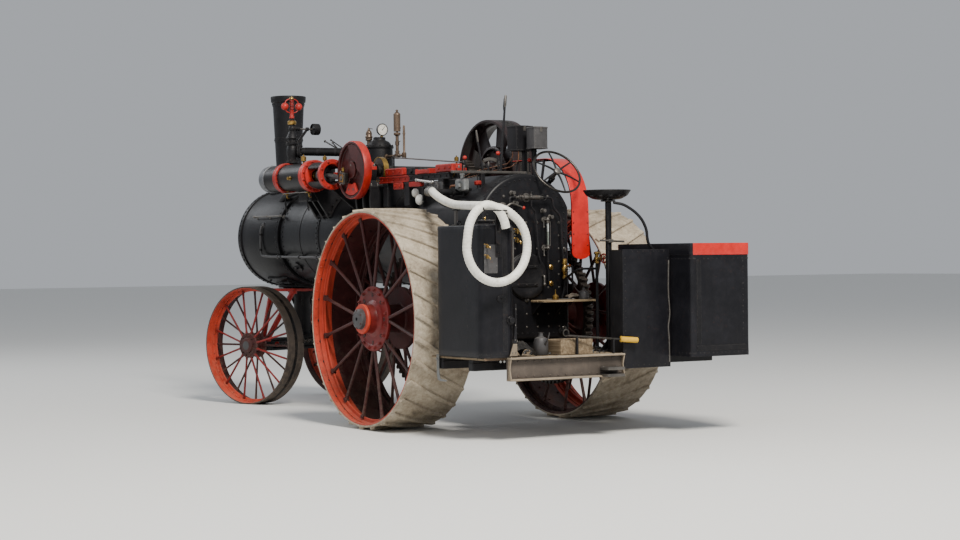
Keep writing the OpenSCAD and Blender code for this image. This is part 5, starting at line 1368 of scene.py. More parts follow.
    # band, lap seam and rivets
    for z, r in ((2.352, 0.1302), (2.78, 0.1484), (zt - 0.085, 0.1680)):
        g.lathe([(r - 0.001, z - 0.022), (r + 0.004, z - 0.021), (r + 0.005, z + 0.021), (r, z + 0.022)], (x, 0, 0), (0, 0, 1), 72)
        for i in range(20):
            a = math.radians(18 * i)
            g.rivet((x + (r + 0.0045) * math.cos(a), (r + 0.0045) * math.sin(a), z), (math.cos(a), math.sin(a), 0), 0.0075, 6)
    t = math.radians(215)
    for i in range(22):
        z = 2.40 + 0.0345 * i
        r = 0.1285 + (0.168 - 0.1285) * (z - 2.345) / (zt - 0.074 - 2.345)
        g.rivet((x + r * math.cos(t), r * math.sin(t), z), (math.cos(t), math.sin(t), 0), 0.007, 6)
    g.make("smoke_stack_riveted", "chassis", ("smoke_stack",))

def fire_outline(ins=0.0, n=40):
    """Outer wrapper outline (y, z): straight sides into the round top, rounded foot."""
    w, r = FW - ins, 0.5 - ins
    pts = []
    a0 = math.degrees(math.acos(w / r))
    for i in range(n + 1):
        a = math.radians(a0 + (180 - 2 * a0) * i / n)
        pts.append((r * math.cos(a), BZ + r * math.sin(a)))
    pts += [(-w, 1.60), (-w, 0.80), (-w + 0.03, 0.77 + ins), (w - 0.03, 0.77 + ins), (w, 0.80), (w, 1.60)]
    return pts

def firebox():
    X = (1, 0, 0)
    g = G("boiler")
    out = fire_outline()
    # wrapper with rolled flange ends
    n = len(out)
    rings = []
    for x, ins in ((FX0, 0.030), (FX0 + 0.004, 0.014), (FX0 + 0.014, 0.004), (FX0 + 0.03, 0.0), (FX1 - 0.03, 0.0), (FX1 - 0.014, 0.004), (FX1 - 0.004, 0.014), (FX1, 0.030)):
        o = fire_outline(ins)
        rings.append([(x, p[0], p[1]) for p in o])
    vs = [p for rg in rings for p in rg]
    F = []
    for k in range(len(rings) - 1):
        for i in range(n):
            j = (i + 1) % n
            F.append((k * n + i, k * n + j, (k + 1) * n + j, (k + 1) * n + i))
    F.append(tuple(range((len(rings) - 1) * n, len(rings) * n)))
    # backplate with the fire hole: a ring of quads from the outline to the hole
    m0 = len(vs)
    hc = (0.0, 1.33)
    for k, (rr, dx) in enumerate(((0.186, 0.0), (0.165, 0.006), (0.165, 0.11))):
        for i in range(n):
            p = out[i]
            a = math.atan2(p[1] - hc[1], p[0] - hc[0])
            vs.append((FX0 + dx, hc[0] + rr * math.cos(a), hc[1] + rr * math.sin(a)))
    for i in range(n):
        j = (i + 1) % n
        F.append((i, j, m0 + j, m0 + i))
        F.append((m0 + i, m0 + j, m0 + n + j, m0 + n + i))
        F.append((m0 + n + i, m0 + n + j, m0 + 2 * n + j, m0 + 2 * n + i))
    g.add(vs, F)
    # inner box seen through the fire hole
    g.mat("rusty")
    w = FW - 0.06
    g.add([(FX0 + 0.11, -w, 0.82), (FX1 - 0.06, -w, 0.82), (FX1 - 0.06, w, 0.82), (FX0 + 0.11, w, 0.82), (FX0 + 0.11, -w, 1.78), (FX1 - 0.06, -w, 1.78), (FX1 - 0.06, w, 1.78), (FX0 + 0.11, w, 1.78)],
          [(0, 1, 2, 3), (4, 5, 6, 7), (0, 1, 5, 4), (2, 3, 7, 6), (1, 2, 6, 5)])
    g.mat("cast")
    for i in range(11):
        y = -0.37 + 0.074 * i
        g.box(FX0 + 0.13, FX1 - 0.08, y - 0.014, y + 0.014, 0.822, 0.846, 0.004)
    g.mat("boiler")
    # fire hole ring and its rivets
    g.lathe([(0.168, FX0 - 0.001), (0.168, FX0 - 0.009), (0.172, FX0 - 0.012), (0.198, FX0 - 0.012), (0.205, FX0 - 0.006), (0.205, FX0 + 0.001)], (0, 0, 1.33), X, 48)
    g.rivet_ring((FX0 - 0.0115, 0, 1.33), (-1, 0, 0), 0.1865, 24, 0.008)
    # flange rivets round the wrapper at both ends
    per = fire_outline(0.0, 60)
    def along(pts, step, close=True):
        res, carry = [], 0.0
        m = len(pts)
        for i in range(m):
            a, b = Vector(pts[i]), Vector(pts[(i + 1) % m])
            L = (b - a).length
            if L < 1e-6:
                continue
            d = step - carry
            while d <= L:
                p = a + (b - a) * (d / L)
                t = (b - a) / L
                res.append((p, Vector((t.y, -t.x))))
                d += step
            carry = (carry + L) % step
        return res
    for x in (FX0 + 0.048, FX1 - 0.05):
        for p, d in along(per, 0.055):
            if p.y > 0.80:
                q = Vector((x, p.x, p.y)) - Vector((0, d.x, d.y)) * 0.0005
                g.rivet(q, (0, d.x, d.y), 0.0105, 8)
    # backplate: flange rivets and stay heads
    for p, d in along(fire_outline(0.052, 60), 0.055):
        if p.y > 0.80:
            g.rivet((FX0 + 0.0005, p.x, p.y), (-1, 0, 0), 0.0095, 7)
    for iz in range(0, 11):
        for iy in range(-3, 4):
            y, z = iy * 0.115, 0.88 + iz * 0.115
            if math.hypot(y, z - 1.33) < 0.25 or abs(y) > FW - 0.07 or math.hypot(y, z - BZ) > 0.42 and z > BZ:
                continue
            if iz >= 8 and iz % 2:
                continue
            g.mat("worn")
            g.rivet((FX0 + 0.0005, y, z), (-1, 0, 0), 0.0095 if z < 1.75 else 0.014, 8)
    # stay heads on both sides
    for s_ in (-1, 1):
        for ix in range(9):
            for iz in range(8):
                g.rivet((FX0 + 0.12 + ix * 0.115, s_ * FW, 0.88 + iz * 0.115), (0, s_, 0), 0.0095, 7)
    g.mat("cast")
    # wash-out plugs in the corners
    for y in (-0.36, 0.36):
        for z in (0.835,):
            g.cyl((FX0 + 0.002, y, z), (FX0 - 0.014, y, z), 0.030, 20, 0.003)
            g.box(FX0 - 0.030, FX0 - 0.013, y - 0.011, y + 0.011, z - 0.011, z + 0.011, 0.003)
    for s_ in (-1, 1):
        for x in (FX0 + 0.13, FX1 - 0.13):
            g.cyl((x, s_ * (FW - 0.002), 0.835), (x, s_ * (FW + 0.014), 0.835), 0.030, 20, 0.003)
            g.box(x - 0.011, x + 0.011, s_ * (FW + 0.013), s_ * (FW + 0.028), 0.824, 0.846, 0.003)
    # foundation ring rivets
    for s_ in (-1, 1):
        g.rivets((FX0 + 0.07, s_ * FW, 0.795), (FX1 - 0.07, s_ * FW, 0.795), 0.06, (0, s_, 0), 0.010, 8)
    g.make("firebox_wrapper", "chassis", ("firebox",))

    # fire door
    g = G("cast")
    x = FX0 - 0.030
    g.lathe([(0, x + 0.015), (0.190, x + 0.015), (0.196, x + 0.011), (0.196, x + 0.004), (0.190, x), (0.150, x - 0.002), (0.140, x + 0.003), (0, x + 0.003)], (0, 0, 1.33), X, 56)
    for z in (1.25, 1.41):
        g.bar((x - 0.001, 0.245, z), (x - 0.001, -0.10 if z > 1.3 else -0.10, z), 0.030, 0.009, up=X)
        for y in (-0.07, 0.02, 0.11):
            g.rivet((x - 0.005, y, z), (-1, 0, 0), 0.010)
        g.ring((FX0 - 0.030, 0.25, 0), (0, 0, 1), 0.0082, 0.016, z - 0.024, z + 0.024, 20)
    g.mat("worn")
    g.tube(spline([(x, -0.15, 1.33), (x - 0.022, -0.15, 1.33), (x - 0.030, -0.15, 1.315), (x - 0.030, -0.15, 1.26)], 5), 0.009, 10)
    g.sphere((x - 0.030, -0.15, 1.255), 0.015, 12, 8)
    g.make("fire_door_plate", "fire_hole_door", ("fire_door",))

    # ash pan
    g = G("sheet")
    t = 0.012
    g.box(-0.56, 0.44, -0.40, -0.388, 0.56, 0.77, 0.002)
    g.box(-0.56, 0.44, 0.388, 0.40, 0.56, 0.77, 0.002)
    g.box(-0.56, 0.44, -0.388, 0.388, 0.56, 0.572, 0.002)
    g.box(0.428, 0.44, -0.388, 0.388, 0.572, 0.77, 0.002)
    g.box(-0.56, 0.44, -0.408, -0.388, 0.745, 0.768, 0.002)
    g.box(-0.56, 0.44, 0.388, 0.408, 0.745, 0.768, 0.002)
    for s_ in (-1, 1):
        g.rivets((-0.53, s_ * 0.40, 0.60), (0.41, s_ * 0.40, 0.60), 0.08, (0, s_, 0), 0.008, 7)
    # damper door half open at the back
    g.push(Matrix.Translation((-0.556, 0, 0.742)) @ Matrix.Rotation(math.radians(-6), 4, "Y"))
    g.box(-0.004, 0.002, -0.37, 0.37, -0.15, 0.0, 0.002)
    g.pop()
    g.make("ash_pan_sheet", "chassis", ("ash_pan",))
boiler()
firebox()

# ------------------------------------------------------------------ dome and what stands on it
def dome_group():
    Z = (0, 0, 1)
    x = 2.01
    g = G("cast")
    # flanged saddle on the barrel, then the dome and its bolted cover
    vs, F, rows = [], [], []
    k = 56
    for r, h in ((0.202, 0.0), (0.205, 0.012), (0.196, 0.020), (0.160, 0.026), (0.145, 0.040), (0.138, 0.070)):
        row = []
        for i in range(k):
            a = 2 * math.pi * i / k
            px, py = r * math.cos(a), r * math.sin(a)
            zb = BZ + math.sqrt(0.4805 ** 2 - py * py)
            b = max(0.0, 1 - h / 0.06)
            row.append(len(vs))
            vs.append((x + px, py, zb * b + (BZ + 0.482) * (1 - b) + h))
        rows.append(row)
    for a, b in zip(rows, rows[1:]):
        for i in range(k):
            j = (i + 1) % k
            F.append((a[i], a[j], b[j], b[i]))
    g.add(vs, F)
    for i in range(16):
        a = math.radians(22.5 * i)
        py = 0.182 * math.sin(a)
        zb = BZ + math.sqrt(0.4805 ** 2 - py * py)
        g.rivet((x + 0.182 * math.cos(a), py, zb + 0.021), (0, py / 0.48, 1), 0.012, 8)
    g.lathe([(0.138, 2.27), (0.1365, 2.29), (0.132, 2.57), (0.130, 2.585), (0.140, 2.588), (0.142, 2.592), (0.142, 2.604), (0.139, 2.608), (0.122, 2.612), (0.108, 2.640), (0.092, 2.656), (0.064, 2.668), (0.0605, 2.674), (0.0605, 2.694), (0.056, 2.699), (0, 2.6995)], (x, 0, 0), Z, 56)
    g.bolt_ring((x, 0, 2.6085), Z, 0.130, 14, 0.010, 0.008)
    g.bolt_ring((x, 0, 2.699), Z, 0.040, 4, 0.008, 0.0008, stud=False)
    g.lathe([(0.139, 2.30), (0.1405, 2.302), (0.1405, 2.328), (0.1385, 2.33)], (x, 0, 0), Z, 56)
    g.make("steam_dome_cast", "chassis", ("steam_dome",))

    g = G("bronze")
    px, py = 2.112, 0.062
    g.lathe([(0.020, 2.625), (0.020, 2.668), (0.030, 2.670), (0.034, 2.674), (0.034, 2.688), (0.031, 2.692), (0.036, 2.697), (0.038, 2.704), (0.036, 2.712), (0.030, 2.720), (0.028, 2.746), (0.030, 2.750), (0.028, 2.756), (0.017, 2.772), (0.012, 2.776), (0.012, 2.784), (0.008, 2.790), (0.008, 2.798), (0, 2.800)], (px, py, 0), Z, 28)
    for i in range(6):
        a = math.radians(60 * i)
        g.cyl((px + 0.0285 * math.cos(a), py + 0.0285 * math.sin(a), 2.724), (px + 0.0285 * math.cos(a), py + 0.0285 * math.sin(a), 2.744), 0.003, 6, 0)
    g.mat("worn")
    g.tube(spline([(px, py, 2.788), (px - 0.03, py, 2.790), (px - 0.075, py, 2.782)], 4), 0.004, 6)
    g.make("pop_valve", "chassis", ("safety_valve",))

    g = G("copper")
    # siphon pipe, cock, then the gauge with its face to the driver
    g.tube([(1.962, 0, 2.70), (1.962, 0, 2.716)], 0.0085, 10)
    g.mat("brass")
    g.hexa((1.962, 0, 2.7005), Z, 0.015, 0.012)
    g.cyl((1.962, 0, 2.712), (1.962, 0, 2.728), 0.011, 12)
    g.mat("sheet")
    g.lathe([(0, 1.978), (0.030, 1.978), (0.052, 1.974), (0.058, 1.966), (0.058, 1.946)], (0, 0, 2.772), (1, 0, 0), 40)
    g.mat("grey")
    g.lathe([(0.058, 1.950), (0.0618, 1.948), (0.062, 1.942), (0.060, 1.9385), (0.054, 1.9385), (0.051, 1.943)], (0, 0, 2.772), (1, 0, 0), 40)
    g.mat("dial")
    g.lathe([(0, 1.943), (0.051, 1.943)], (0, 0, 2.772), (1, 0, 0), 40)
    g.mat("sheet")
    t = math.radians(40)
    g.bar((1.9412, 0.010 * math.sin(t), 2.772 - 0.010 * math.cos(t)), (1.9412, -0.038 * math.sin(t), 2.772 + 0.038 * math.cos(t)), 0.004, 0.0012, up=(1, 0, 0), c=0.0003)
    g.lathe([(0, 1.9395), (0.0045, 1.9395), (0.005, 1.943)], (0, 0, 2.772), (1, 0, 0), 12)
    g.make("steam_gauge_dial", "chassis", ("steam_gauge",))

    # whistle, its branch and the slim second valve
    g = G("bronze")
    g.tube([(1.872, 0, 2.5), (1.65, 0, 2.5), (1.515, 0, 2.5)], 0.0145, 12)
    g.hexa((1.872, 0, 2.5), (-1, 0, 0), 0.026, 0.020)
    g.lathe([(0.024, 2.476), (0.028, 2.482), (0.028, 2.518), (0.020, 2.524), (0.016, 2.530), (0.016, 2.545)], (1.65, 0, 0), Z, 20)
    g.hexa((1.65, 0, 2.530), Z, 0.023, 0.018)
    g.mat("bronze")
    g.lathe([(0, 2.470), (0.020, 2.470), (0.020, 2.480)], (1.65, 0, 0), Z, 16)
    g.lathe([(0.0155, 2.54), (0.0155, 2.60), (0.021, 2.603), (0.021, 2.640), (0.016, 2.645), (0.016, 2.690), (0.028, 2.700), (0.034, 2.706), (0.034, 2.722), (0.030, 2.726), (0.010, 2.727), (0.008, 2.735), (0.008, 2.742)], (1.65, 0, 0), Z, 28)
    g.lathe([(0.029, 2.740), (0.0335, 2.736), (0.034, 2.742), (0.034, 2.895), (0.0345, 2.898), (0.0345, 2.905), (0.032, 2.910), (0.020, 2.922), (0.010, 2.928), (0.010, 2.936), (0.014, 2.938), (0.014, 2.944), (0.006, 2.950), (0, 2.950)], (1.65, 0, 0), Z, 28)
    for i in range(3):
        a = math.radians(120 * i + 20)
        g.box(1.65 + 0.0335 * math.cos(a) - 0.004, 1.65 + 0.0335 * math.cos(a) + 0.004, 0.0335 * math.sin(a) - 0.004, 0.0335 * math.sin(a) + 0.004, 2.760, 2.782, 0.001)
    # valve lever and pull wire
    g.mat("worn")
    g.bar((1.665, 0, 2.620), (1.585, 0, 2.640), 0.010, 0.005)
    g.mat("bronze")
    g.lathe([(0, 2.470), (0.018, 2.470), (0.022, 2.478), (0.022, 2.520), (0.014, 2.526), (0.011, 2.535), (0.011, 2.70), (0.014, 2.702), (0.014, 2.716), (0.011, 2.718), (0.011, 2.776), (0.008, 2.788), (0, 2.790)], (1.515, 0, 0), Z, 18)
    g.make("whistle_and_branch", "chassis", ("whistle",))

    # main steam pipe to the governor, with flanged joints
    g = G("cast")
    a, b = Vector((2.01, 0, 2.545)), Vector((2.56, 0.69, 2.575))
    d = (b - a).normalized()
    g.cyl(a + d * 0.13, b - d * 0.052, 0.040, 24)
    for t in (0.128, 0.146):
        g.cyl(a + d * t, a + d * (t + 0.016), 0.068, 24, 0.003)
    for t in ((b - a).length - 0.092, (b - a).length - 0.074):
        g.cyl(a + d * t, a + d * (t + 0.016), 0.068, 24, 0.003)
    g.bolt_ring(a + d * 0.162, d, 0.054, 6, 0.009, 0.008)
    g.bolt_ring(b - d * 0.092, -d, 0.054, 6, 0.009, 0.008)
    # clothed middle with bands
    g.mat("lagging")
    g.cyl(a + d * 0.20, b - d * 0.13, 0.0418, 28, 0.004)
    g.mat("sheet")
    for u in (0.3, 0.5, 0.7):
        p = a + (b - a) * u
        g.ring(p, d, 0.040, 0.0425, -0.008, 0.008, 28, 0.0005)
    # stays and rods that fan out above the pipe
    g.mat("oily")
    for (p, q, r) in (((2.60, 0.30, 2.685), (2.22, 0.30, 2.560), 0.008), ((2.47, 0.30, 2.690), (2.19, 0.30, 2.585), 0.006), ((2.40, 0.32, 2.660), (2.24, 0.30, 2.548), 0.006)):
        g.cyl(p, q, r, 10)
        g.sphere(p, r * 1.7, 10, 6)
    g.cyl((2.24, 0.22, 2.550), (2.24, 0.34, 2.550), 0.016, 14)
    g.make("steam_pipe_flanged", "chassis", ("steam_pipe",))

    # governor: valve body, bonnet, spindle with two balls, belt pulley
    g = G("cast")
    x, y = 2.56, 0.69
    g.lathe([(0.058, 2.452), (0.062, 2.456), (0.062, 2.472), (0.056, 2.476), (0.046, 2.482), (0.046, 2.52), (0.054, 2.535), (0.056, 2.575), (0.054, 2.615), (0.046, 2.628), (0.046, 2.636), (0.060, 2.640), (0.062, 2.644), (0.062, 2.658), (0.058, 2.662),
             (0.044, 2.664), (0.042, 2.698), (0.058, 2.701), (0.060, 2.705), (0.056, 2.716), (0.034, 2.768), (0.027, 2.774), (0.026, 2.86), (0.032, 2.866), (0.032, 2.886), (0.026, 2.892), (0.012, 2.898)], (x, y, 0), Z, 32)
    g.bolt_ring((x, y, 2.662), Z, 0.052, 6, 0.008, 0.007)
    g.bolt_ring((x, y, 2.4765), Z, 0.053, 4, 0.008, 0.007, a0=45)
    g.mat("brass")
    g.lathe([(0.014, 2.838), (0.040, 2.842), (0.044, 2.850), (0.044, 2.872), (0.036, 2.880), (0.027, 2.884)], (x, y, 0), Z, 28)
    g.mat("steel")
    g.cyl((x, y, 2.89), (x, y, 3.118), 0.008, 12)
    g.mat("red")
    g.lathe([(0.010, 2.900), (0.024, 2.904), (0.026, 2.912), (0.020, 2.930), (0.018, 2.975), (0.022, 2.985), (0.012, 2.992)], (x, y, 0), Z, 20)
    g.spring((x, y, 2.992), (x, y, 3.088), 0.019, 0.0042, 7)
    for s_ in (-1, 1):
        g.sphere((x, y + s_ * 0.076, 3.020), 0.0375, 24, 16)
        g.tube(spline([(x, y + s_ * 0.018, 2.960), (x, y + s_ * 0.050, 2.968), (x, y + s_ * 0.070, 2.990)], 5), 0.0055, 8)
        g.tube(spline([(x, y + s_ * 0.074, 3.054), (x, y + s_ * 0.056, 3.082), (x, y + s_ * 0.014, 3.100)], 5), 0.006, 8)
    g.mat("brass")
    g.lathe([(0.010, 3.090), (0.022, 3.092), (0.026, 3.098), (0.022, 3.108), (0.010, 3.114), (0.008, 3.119), (0, 3.120)], (x, y, 0), Z, 20)
    # bevel box, cross shaft and belt pulley on the inner side
    g.mat("cast")
    g.sphere((x, y, 2.80), 0.036, 20, 12)
    g.cyl((x, y - 0.03, 2.80), (x, y - 0.085, 2.80), 0.020, 16)
    g.mat("worn")
    g.cyl((x, y - 0.08, 2.80), (x, y - 0.300, 2.80), 0.008, 12)
    g.mat("cast")
    g.cyl((x, y - 0.155, 2.80), (x, y - 0.185, 2.80), 0.019, 16)
    g.bar((x, y - 0.170, 2.80), (x, y - 0.06, 2.66), 0.026, 0.012, up=(1, 0, 0))
    g.lathe([(0.010, -0.292), (0.020, -0.292), (0.022, -0.287), (0.052, -0.285), (0.055, -0.297), (0.057, -0.295), (0.058, -0.262), (0.057, -0.229), (0.055, -0.227), (0.052, -0.239), (0.022, -0.237), (0.010, -0.232)], (x, y, 2.80), (0, 1, 0), 32)
    g.make("governor_flyball", "chassis", ("governor",))
dome_group()

# ------------------------------------------------------------------ cylinder, guide, rods
def engine():
    X, Y, Z = (1, 0, 0), (0, 1, 0), (0, 0, 1)
    c = (0, EY, 2.305)
    g = G("lagging")
    g.lathe([(0.1315, 2.022), (0.1315, 2.530)], c, X, 56)
    g.lathe([(0.128, 2.600), (0.1315, 2.602), (0.1315, 2.845)], c, X, 56)
    # brass indicator cock on the side of the barrel
    g.mat("brass")
    g.lathe([(0.020, 0.0), (0.020, 0.006), (0.011, 0.009), (0.011, 0.022)], (2.235, EY + 0.1295, 2.290), Y, 18)
    g.hexa((2.235, EY + 0.150, 2.290), Y, 0.017, 0.014)
    g.cyl((2.235, EY + 0.128, 2.290), (2.235, EY + 0.168, 2.290), 0.009, 12)
    g.mat("red")
    g.ring(c, X, 0.060, 0.156, 1.943, 1.968, 56, 0.004)
    g.ring(c, X, 0.120, 0.156, 1.9685, 2.024, 56, 0.005)
    g.ring(c, X, 0.120, 0.150, 2.528, 2.576, 56, 0.005)
    g.ring(c, X, 0.120, 0.150, 2.5765, 2.603, 56, 0.004)
    g.bolt_ring((1.943, EY, 2.305), (-1, 0, 0), 0.138, 12, 0.011, 0.009, a0=15)
    g.bolt_ring((2.528, EY, 2.305), (-1, 0, 0), 0.1385, 12, 0.0085, 0.008, a0=15)
    # stuffing box on the rear cover
    g.mat("brass")
    g.lathe([(0.0255, 1.918), (0.046, 1.918), (0.048, 1.921), (0.048, 1.930), (0.034, 1.934), (0.034, 1.944)], c, X, 28)
    for s_ in (-1, 1):
        g.cyl((1.912, EY + s_ * 0.038, 2.305), (1.946, EY + s_ * 0.038, 2.305), 0.006, 8)
        g.hexa((1.912, EY + s_ * 0.038, 2.305), (-1, 0, 0), 0.010, 0.007)
    # grey domed front casing with its seams
    g.mat("dome_grey")
    g.lathe([(0.131, 2.842), (0.1375, 2.846), (0.138, 2.852), (0.138, 2.872), (0.1365, 2.876), (0.136, 2.918), (0.132, 2.948), (0.122, 2.972), (0.104, 2.994), (0.074, 3.013), (0.036, 3.023), (0, 3.026)], c, X, 56)
    for i in range(18):
        t = math.radians(20 * i)
        g.rivet((2.862, EY + 0.138 * math.cos(t), 2.305 + 0.138 * math.sin(t)), (0, math.cos(t), math.sin(t)), 0.0065, 7)
    # steam chest inboard with a bolted cover on top and the valve rod's gland
    g.mat("cast")
    g.box(2.037, 2.518, 0.478, 0.684, 2.192, 2.402, 0.008)
    g.box(2.035, 2.520, 0.470, 0.685, 2.404, 2.430, 0.004)
    for i in range(6):
        for y in (0.486, 0.669):
            g.hexa((2.056 + 0.0888 * i, y, 2.4295), Z, 0.0115, 0.0075)
    for y in (0.547, 0.608):
        for x in (2.056, 2.500):
            g.hexa((x, y, 2.4295), Z, 0.0115, 0.0075)
    g.mat("brass")
    g.lathe([(0.014, 1.985), (0.034, 1.985), (0.036, 1.988), (0.036, 1.998), (0.024, 2.002), (0.024, 2.038)], (0, 0.580, 2.312), X, 24)
    g.mat("steel")
    g.cyl((1.815, 0.580, 2.312), (2.04, 0.580, 2.312), 0.0125, 16)
    g.mat("red")
    # valve-rod guide and joint, rocker arm to the eccentric rod's line
    g.box(1.800, 1.850, 0.556, 0.604, 2.288, 2.336, 0.005)
    g.cyl((1.825, 0.34, 2.312), (1.825, 0.612, 2.312), 0.0165, 16)
    g.box(1.800, 1.850, 0.350, 0.394, 2.292, 2.362, 0.006)
    g.mat("worn")
    g.bar((1.812, 0.372, 2.344), (1.4675, 0.372, 2.346), 0.020, 0.040)
    g.cyl((1.818, 0.340, 2.344), (1.818, 0.404, 2.344), 0.013, 14)
    # saddle to the boiler: curved web, foot flange, ribs
    g.mat("cast")
    g.box(2.225, 2.50, 0.30, 0.66, 2.07, 2.196, 0.010)
    n = 12
    for xa, xb in ((2.222, 2.252), (2.345, 2.375), (2.470, 2.500)):
        pts = []
        for i in range(n + 1):
            t = math.radians(20 + 48 * i / n)
            pts.append((0.4875 * math.cos(t), BZ + 0.4875 * math.sin(t)))
        pts = pts + [(0.20, 2.195), (0.66, 2.195)]
        g.ext(pts, "x", xa, xb, 0.004)
    vs, F = [], []
    for xs in (2.19, 2.53):
        for i in range(n + 1):
            t = math.radians(22 + 44 * i / n)
            for r in (0.4875, 0.506):
                vs.append((xs, r * math.cos(t), BZ + r * math.sin(t)))
    w = (n + 1) * 2
    for i in range(n):
        a = i * 2
        F += [(a, a + 2, w + a + 2, w + a), (a + 1, w + a + 1, w + a + 3, a + 3), (a, a + 1, a + 3, a + 2), (w + a, w + a + 2, w + a + 3, w + a + 1)]
    F += [(0, w, w + 1, 1), (n * 2, n * 2 + 1, w + n * 2 + 1, w + n * 2)]
    g.add(vs, F)
    for i in range(5):
        t = math.radians(26 + 9 * i)
        for xs in (2.206, 2.515):
            g.bolt((xs, 0.506 * math.cos(t), BZ + 0.506 * math.sin(t)), (0, math.cos(t), math.sin(t)), 0.012, 0.010)
    # drain cocks and their pipes
    for x in (2.04, 2.52):
        g.cock((x, EY + 0.02, 2.176), (0, 0.15, -1), (0, 1, 0.1), k=0.8, lever=0.05)
        g.mat("cast")
        g.tube(spline([(x, EY + 0.04, 2.10), (x, EY + 0.045, 2.04), (x - 0.02, EY + 0.04, 1.97)], 4), 0.008, 8)
    g.mat("worn")
    g.cyl((2.03, EY + 0.065, 2.150), (2.54, EY + 0.065, 2.150), 0.0045, 8)
    g.mat("cast")
    # cylinder lubricator cup
    g.oilcup((2.20, EY, 2.434), 1.3)
    # pipe from the chest to the exhaust, forward into the smokebox's side
    g.mat("cast")
    g.run([(2.49, 0.50, 2.30), (2.66, 0.50, 2.30), (2.80, 0.44, 2.22), (3.40, 0.34, 2.17), (3.60, 0.30, 2.09)], 0.040, 16, 0.09)
    g.cyl((2.515, 0.50, 2.30), (2.535, 0.50, 2.30), 0.066, 24, 0.003)
    g.bolt_ring((2.535, 0.50, 2.30), X, 0.052, 6, 0.009, 0.008)
    g.make("cylinder_casting", "chassis", ("cylinder",))

    # crosshead guide: trunk with open sides
    g = G("red")
    g.ring(c, X, 0.098, 0.148, 1.583, 1.626, 56, 0.006)
    g.ring(c, X, 0.060, 0.128, 1.906, 1.942, 56, 0.003)
    g.mat("cast")
    for a0, a1 in ((34, 146), (214, 326)):
        prof = [(0.126, 1.62), (0.128, 1.64), (0.124, 1.66), (0.124, 1.87), (0.128, 1.89), (0.128, 1.91), (0.104, 1.91), (0.104, 1.62), (0.126, 1.62)]
        m = frame_of(c, X)
        # frame_of's x axis for +X is world up, so the open sides face +-Y
        g.lathe(prof, c, X, 20, a0 - 90, a1 - 90)
        # end faces of the shell segments
        for a in (a0 - 90, a1 - 90):
            t = math.radians(a)
            g.add([m @ Vector((r * math.cos(t), r * math.sin(t), h)) for r, h in prof[:-1]], [tuple(range(8))])
    g.mat("oily")
    for a0, a1 in ((52, 128), (232, 308)):
        g.lathe([(0.1045, 1.63), (0.0985, 1.63), (0.0985, 1.905)], c, X, 12, a0 - 90, a1 - 90)
    g.mat("red")
    g.bolt_ring((1.583, EY, 2.305), (-1, 0, 0), 0.125, 8, 0.011, 0.009, a0=22.5)
    g.oilcup((1.75, EY, 2.428), 1.0)
    # foot down to the boiler
    g.mat("cast")
    g.ext([(0.40, 2.02), (0.46, 1.98), (EY - 0.02, 2.185), (EY + 0.06, 2.20), (EY - 0.10, 2.24), (0.40, 2.12)], "x", 1.690, 1.720, 0.004)
    g.ext([(1.640, 2.02), (1.770, 2.02), (1.770, 2.06), (1.640, 2.06)], "y", 0.34, 0.42, 0.004)
    g.make("crosshead_trunk_guide", "chassis", ("crosshead_guide",))

    # piston rod, crosshead, connecting rod
    g = G("steel")
    g.cyl((1.80, EY, 2.305), (1.943, EY, 2.305), 0.0235, 20)
    g.mat("grey")
    g.lathe([(0.030, 1.700), (0.066, 1.702), (0.072, 1.706), (0.072, 1.806), (0.066, 1.810), (0.036, 1.812), (0.034, 1.832), (0.028, 1.834)], c, X, 36)
    g.mat("oily")
    for s_ in (-1, 1):
        g.box(1.702, 1.808, EY - 0.042, EY + 0.042, 2.305 + s_ * 0.066, 2.305 + s_ * 0.0875, 0.006)
    g.mat("steel")
    g.cyl((1.735, EY - 0.070, 2.305), (1.735, EY + 0.070, 2.305), 0.020, 20)
    g.hexa((1.735, EY + 0.070, 2.305), Y, 0.017, 0.010)
    a, b = Vector((1.735, EY, 2.305)), Vector((1.37, EY, 2.259))
    e = (b - a).normalized()
    g.mat("grey")
    g.tube([a + e * 0.03, a + e * 0.08, (a + b) / 2, b - e * 0.09, b - e * 0.06], [0.019, 0.021, 0.026, 0.022, 0.022], 16)
    # small end strap and big end with brasses, strap, cotter and cup
    g.cyl((1.735, EY - 0.024, 2.305), (1.735, EY + 0.024, 2.305), 0.036, 24, 0.004)
    m = frame_of(b, -e, (0, 0, 1))
    g.push(m)
    g.mat("oily")
    g.box(-0.055, 0.055, -0.024, 0.024, -0.056, 0.075, 0.010)
    g.mat("brass")
    g.box(-0.038, 0.038, -0.0252, 0.0252, -0.040, 0.040, 0.003)
    g.mat("steel")
    g.box(-0.070, 0.066, -0.009, 0.009, 0.046, 0.064, 0.003)
    g.pop()
    g.mat("grey")
    g.cyl((b.x, EY - 0.026, b.z), (b.x, EY + 0.026, b.z), 0.028, 24, 0.003)
    g.hexa((b.x, EY + 0.0255, b.z), Y, 0.018, 0.010)
    g.oilcup((b.x + 0.004, EY, b.z + 0.052), 0.8)
    g.make("rods_and_crosshead", "chassis", ("connecting_rod",))

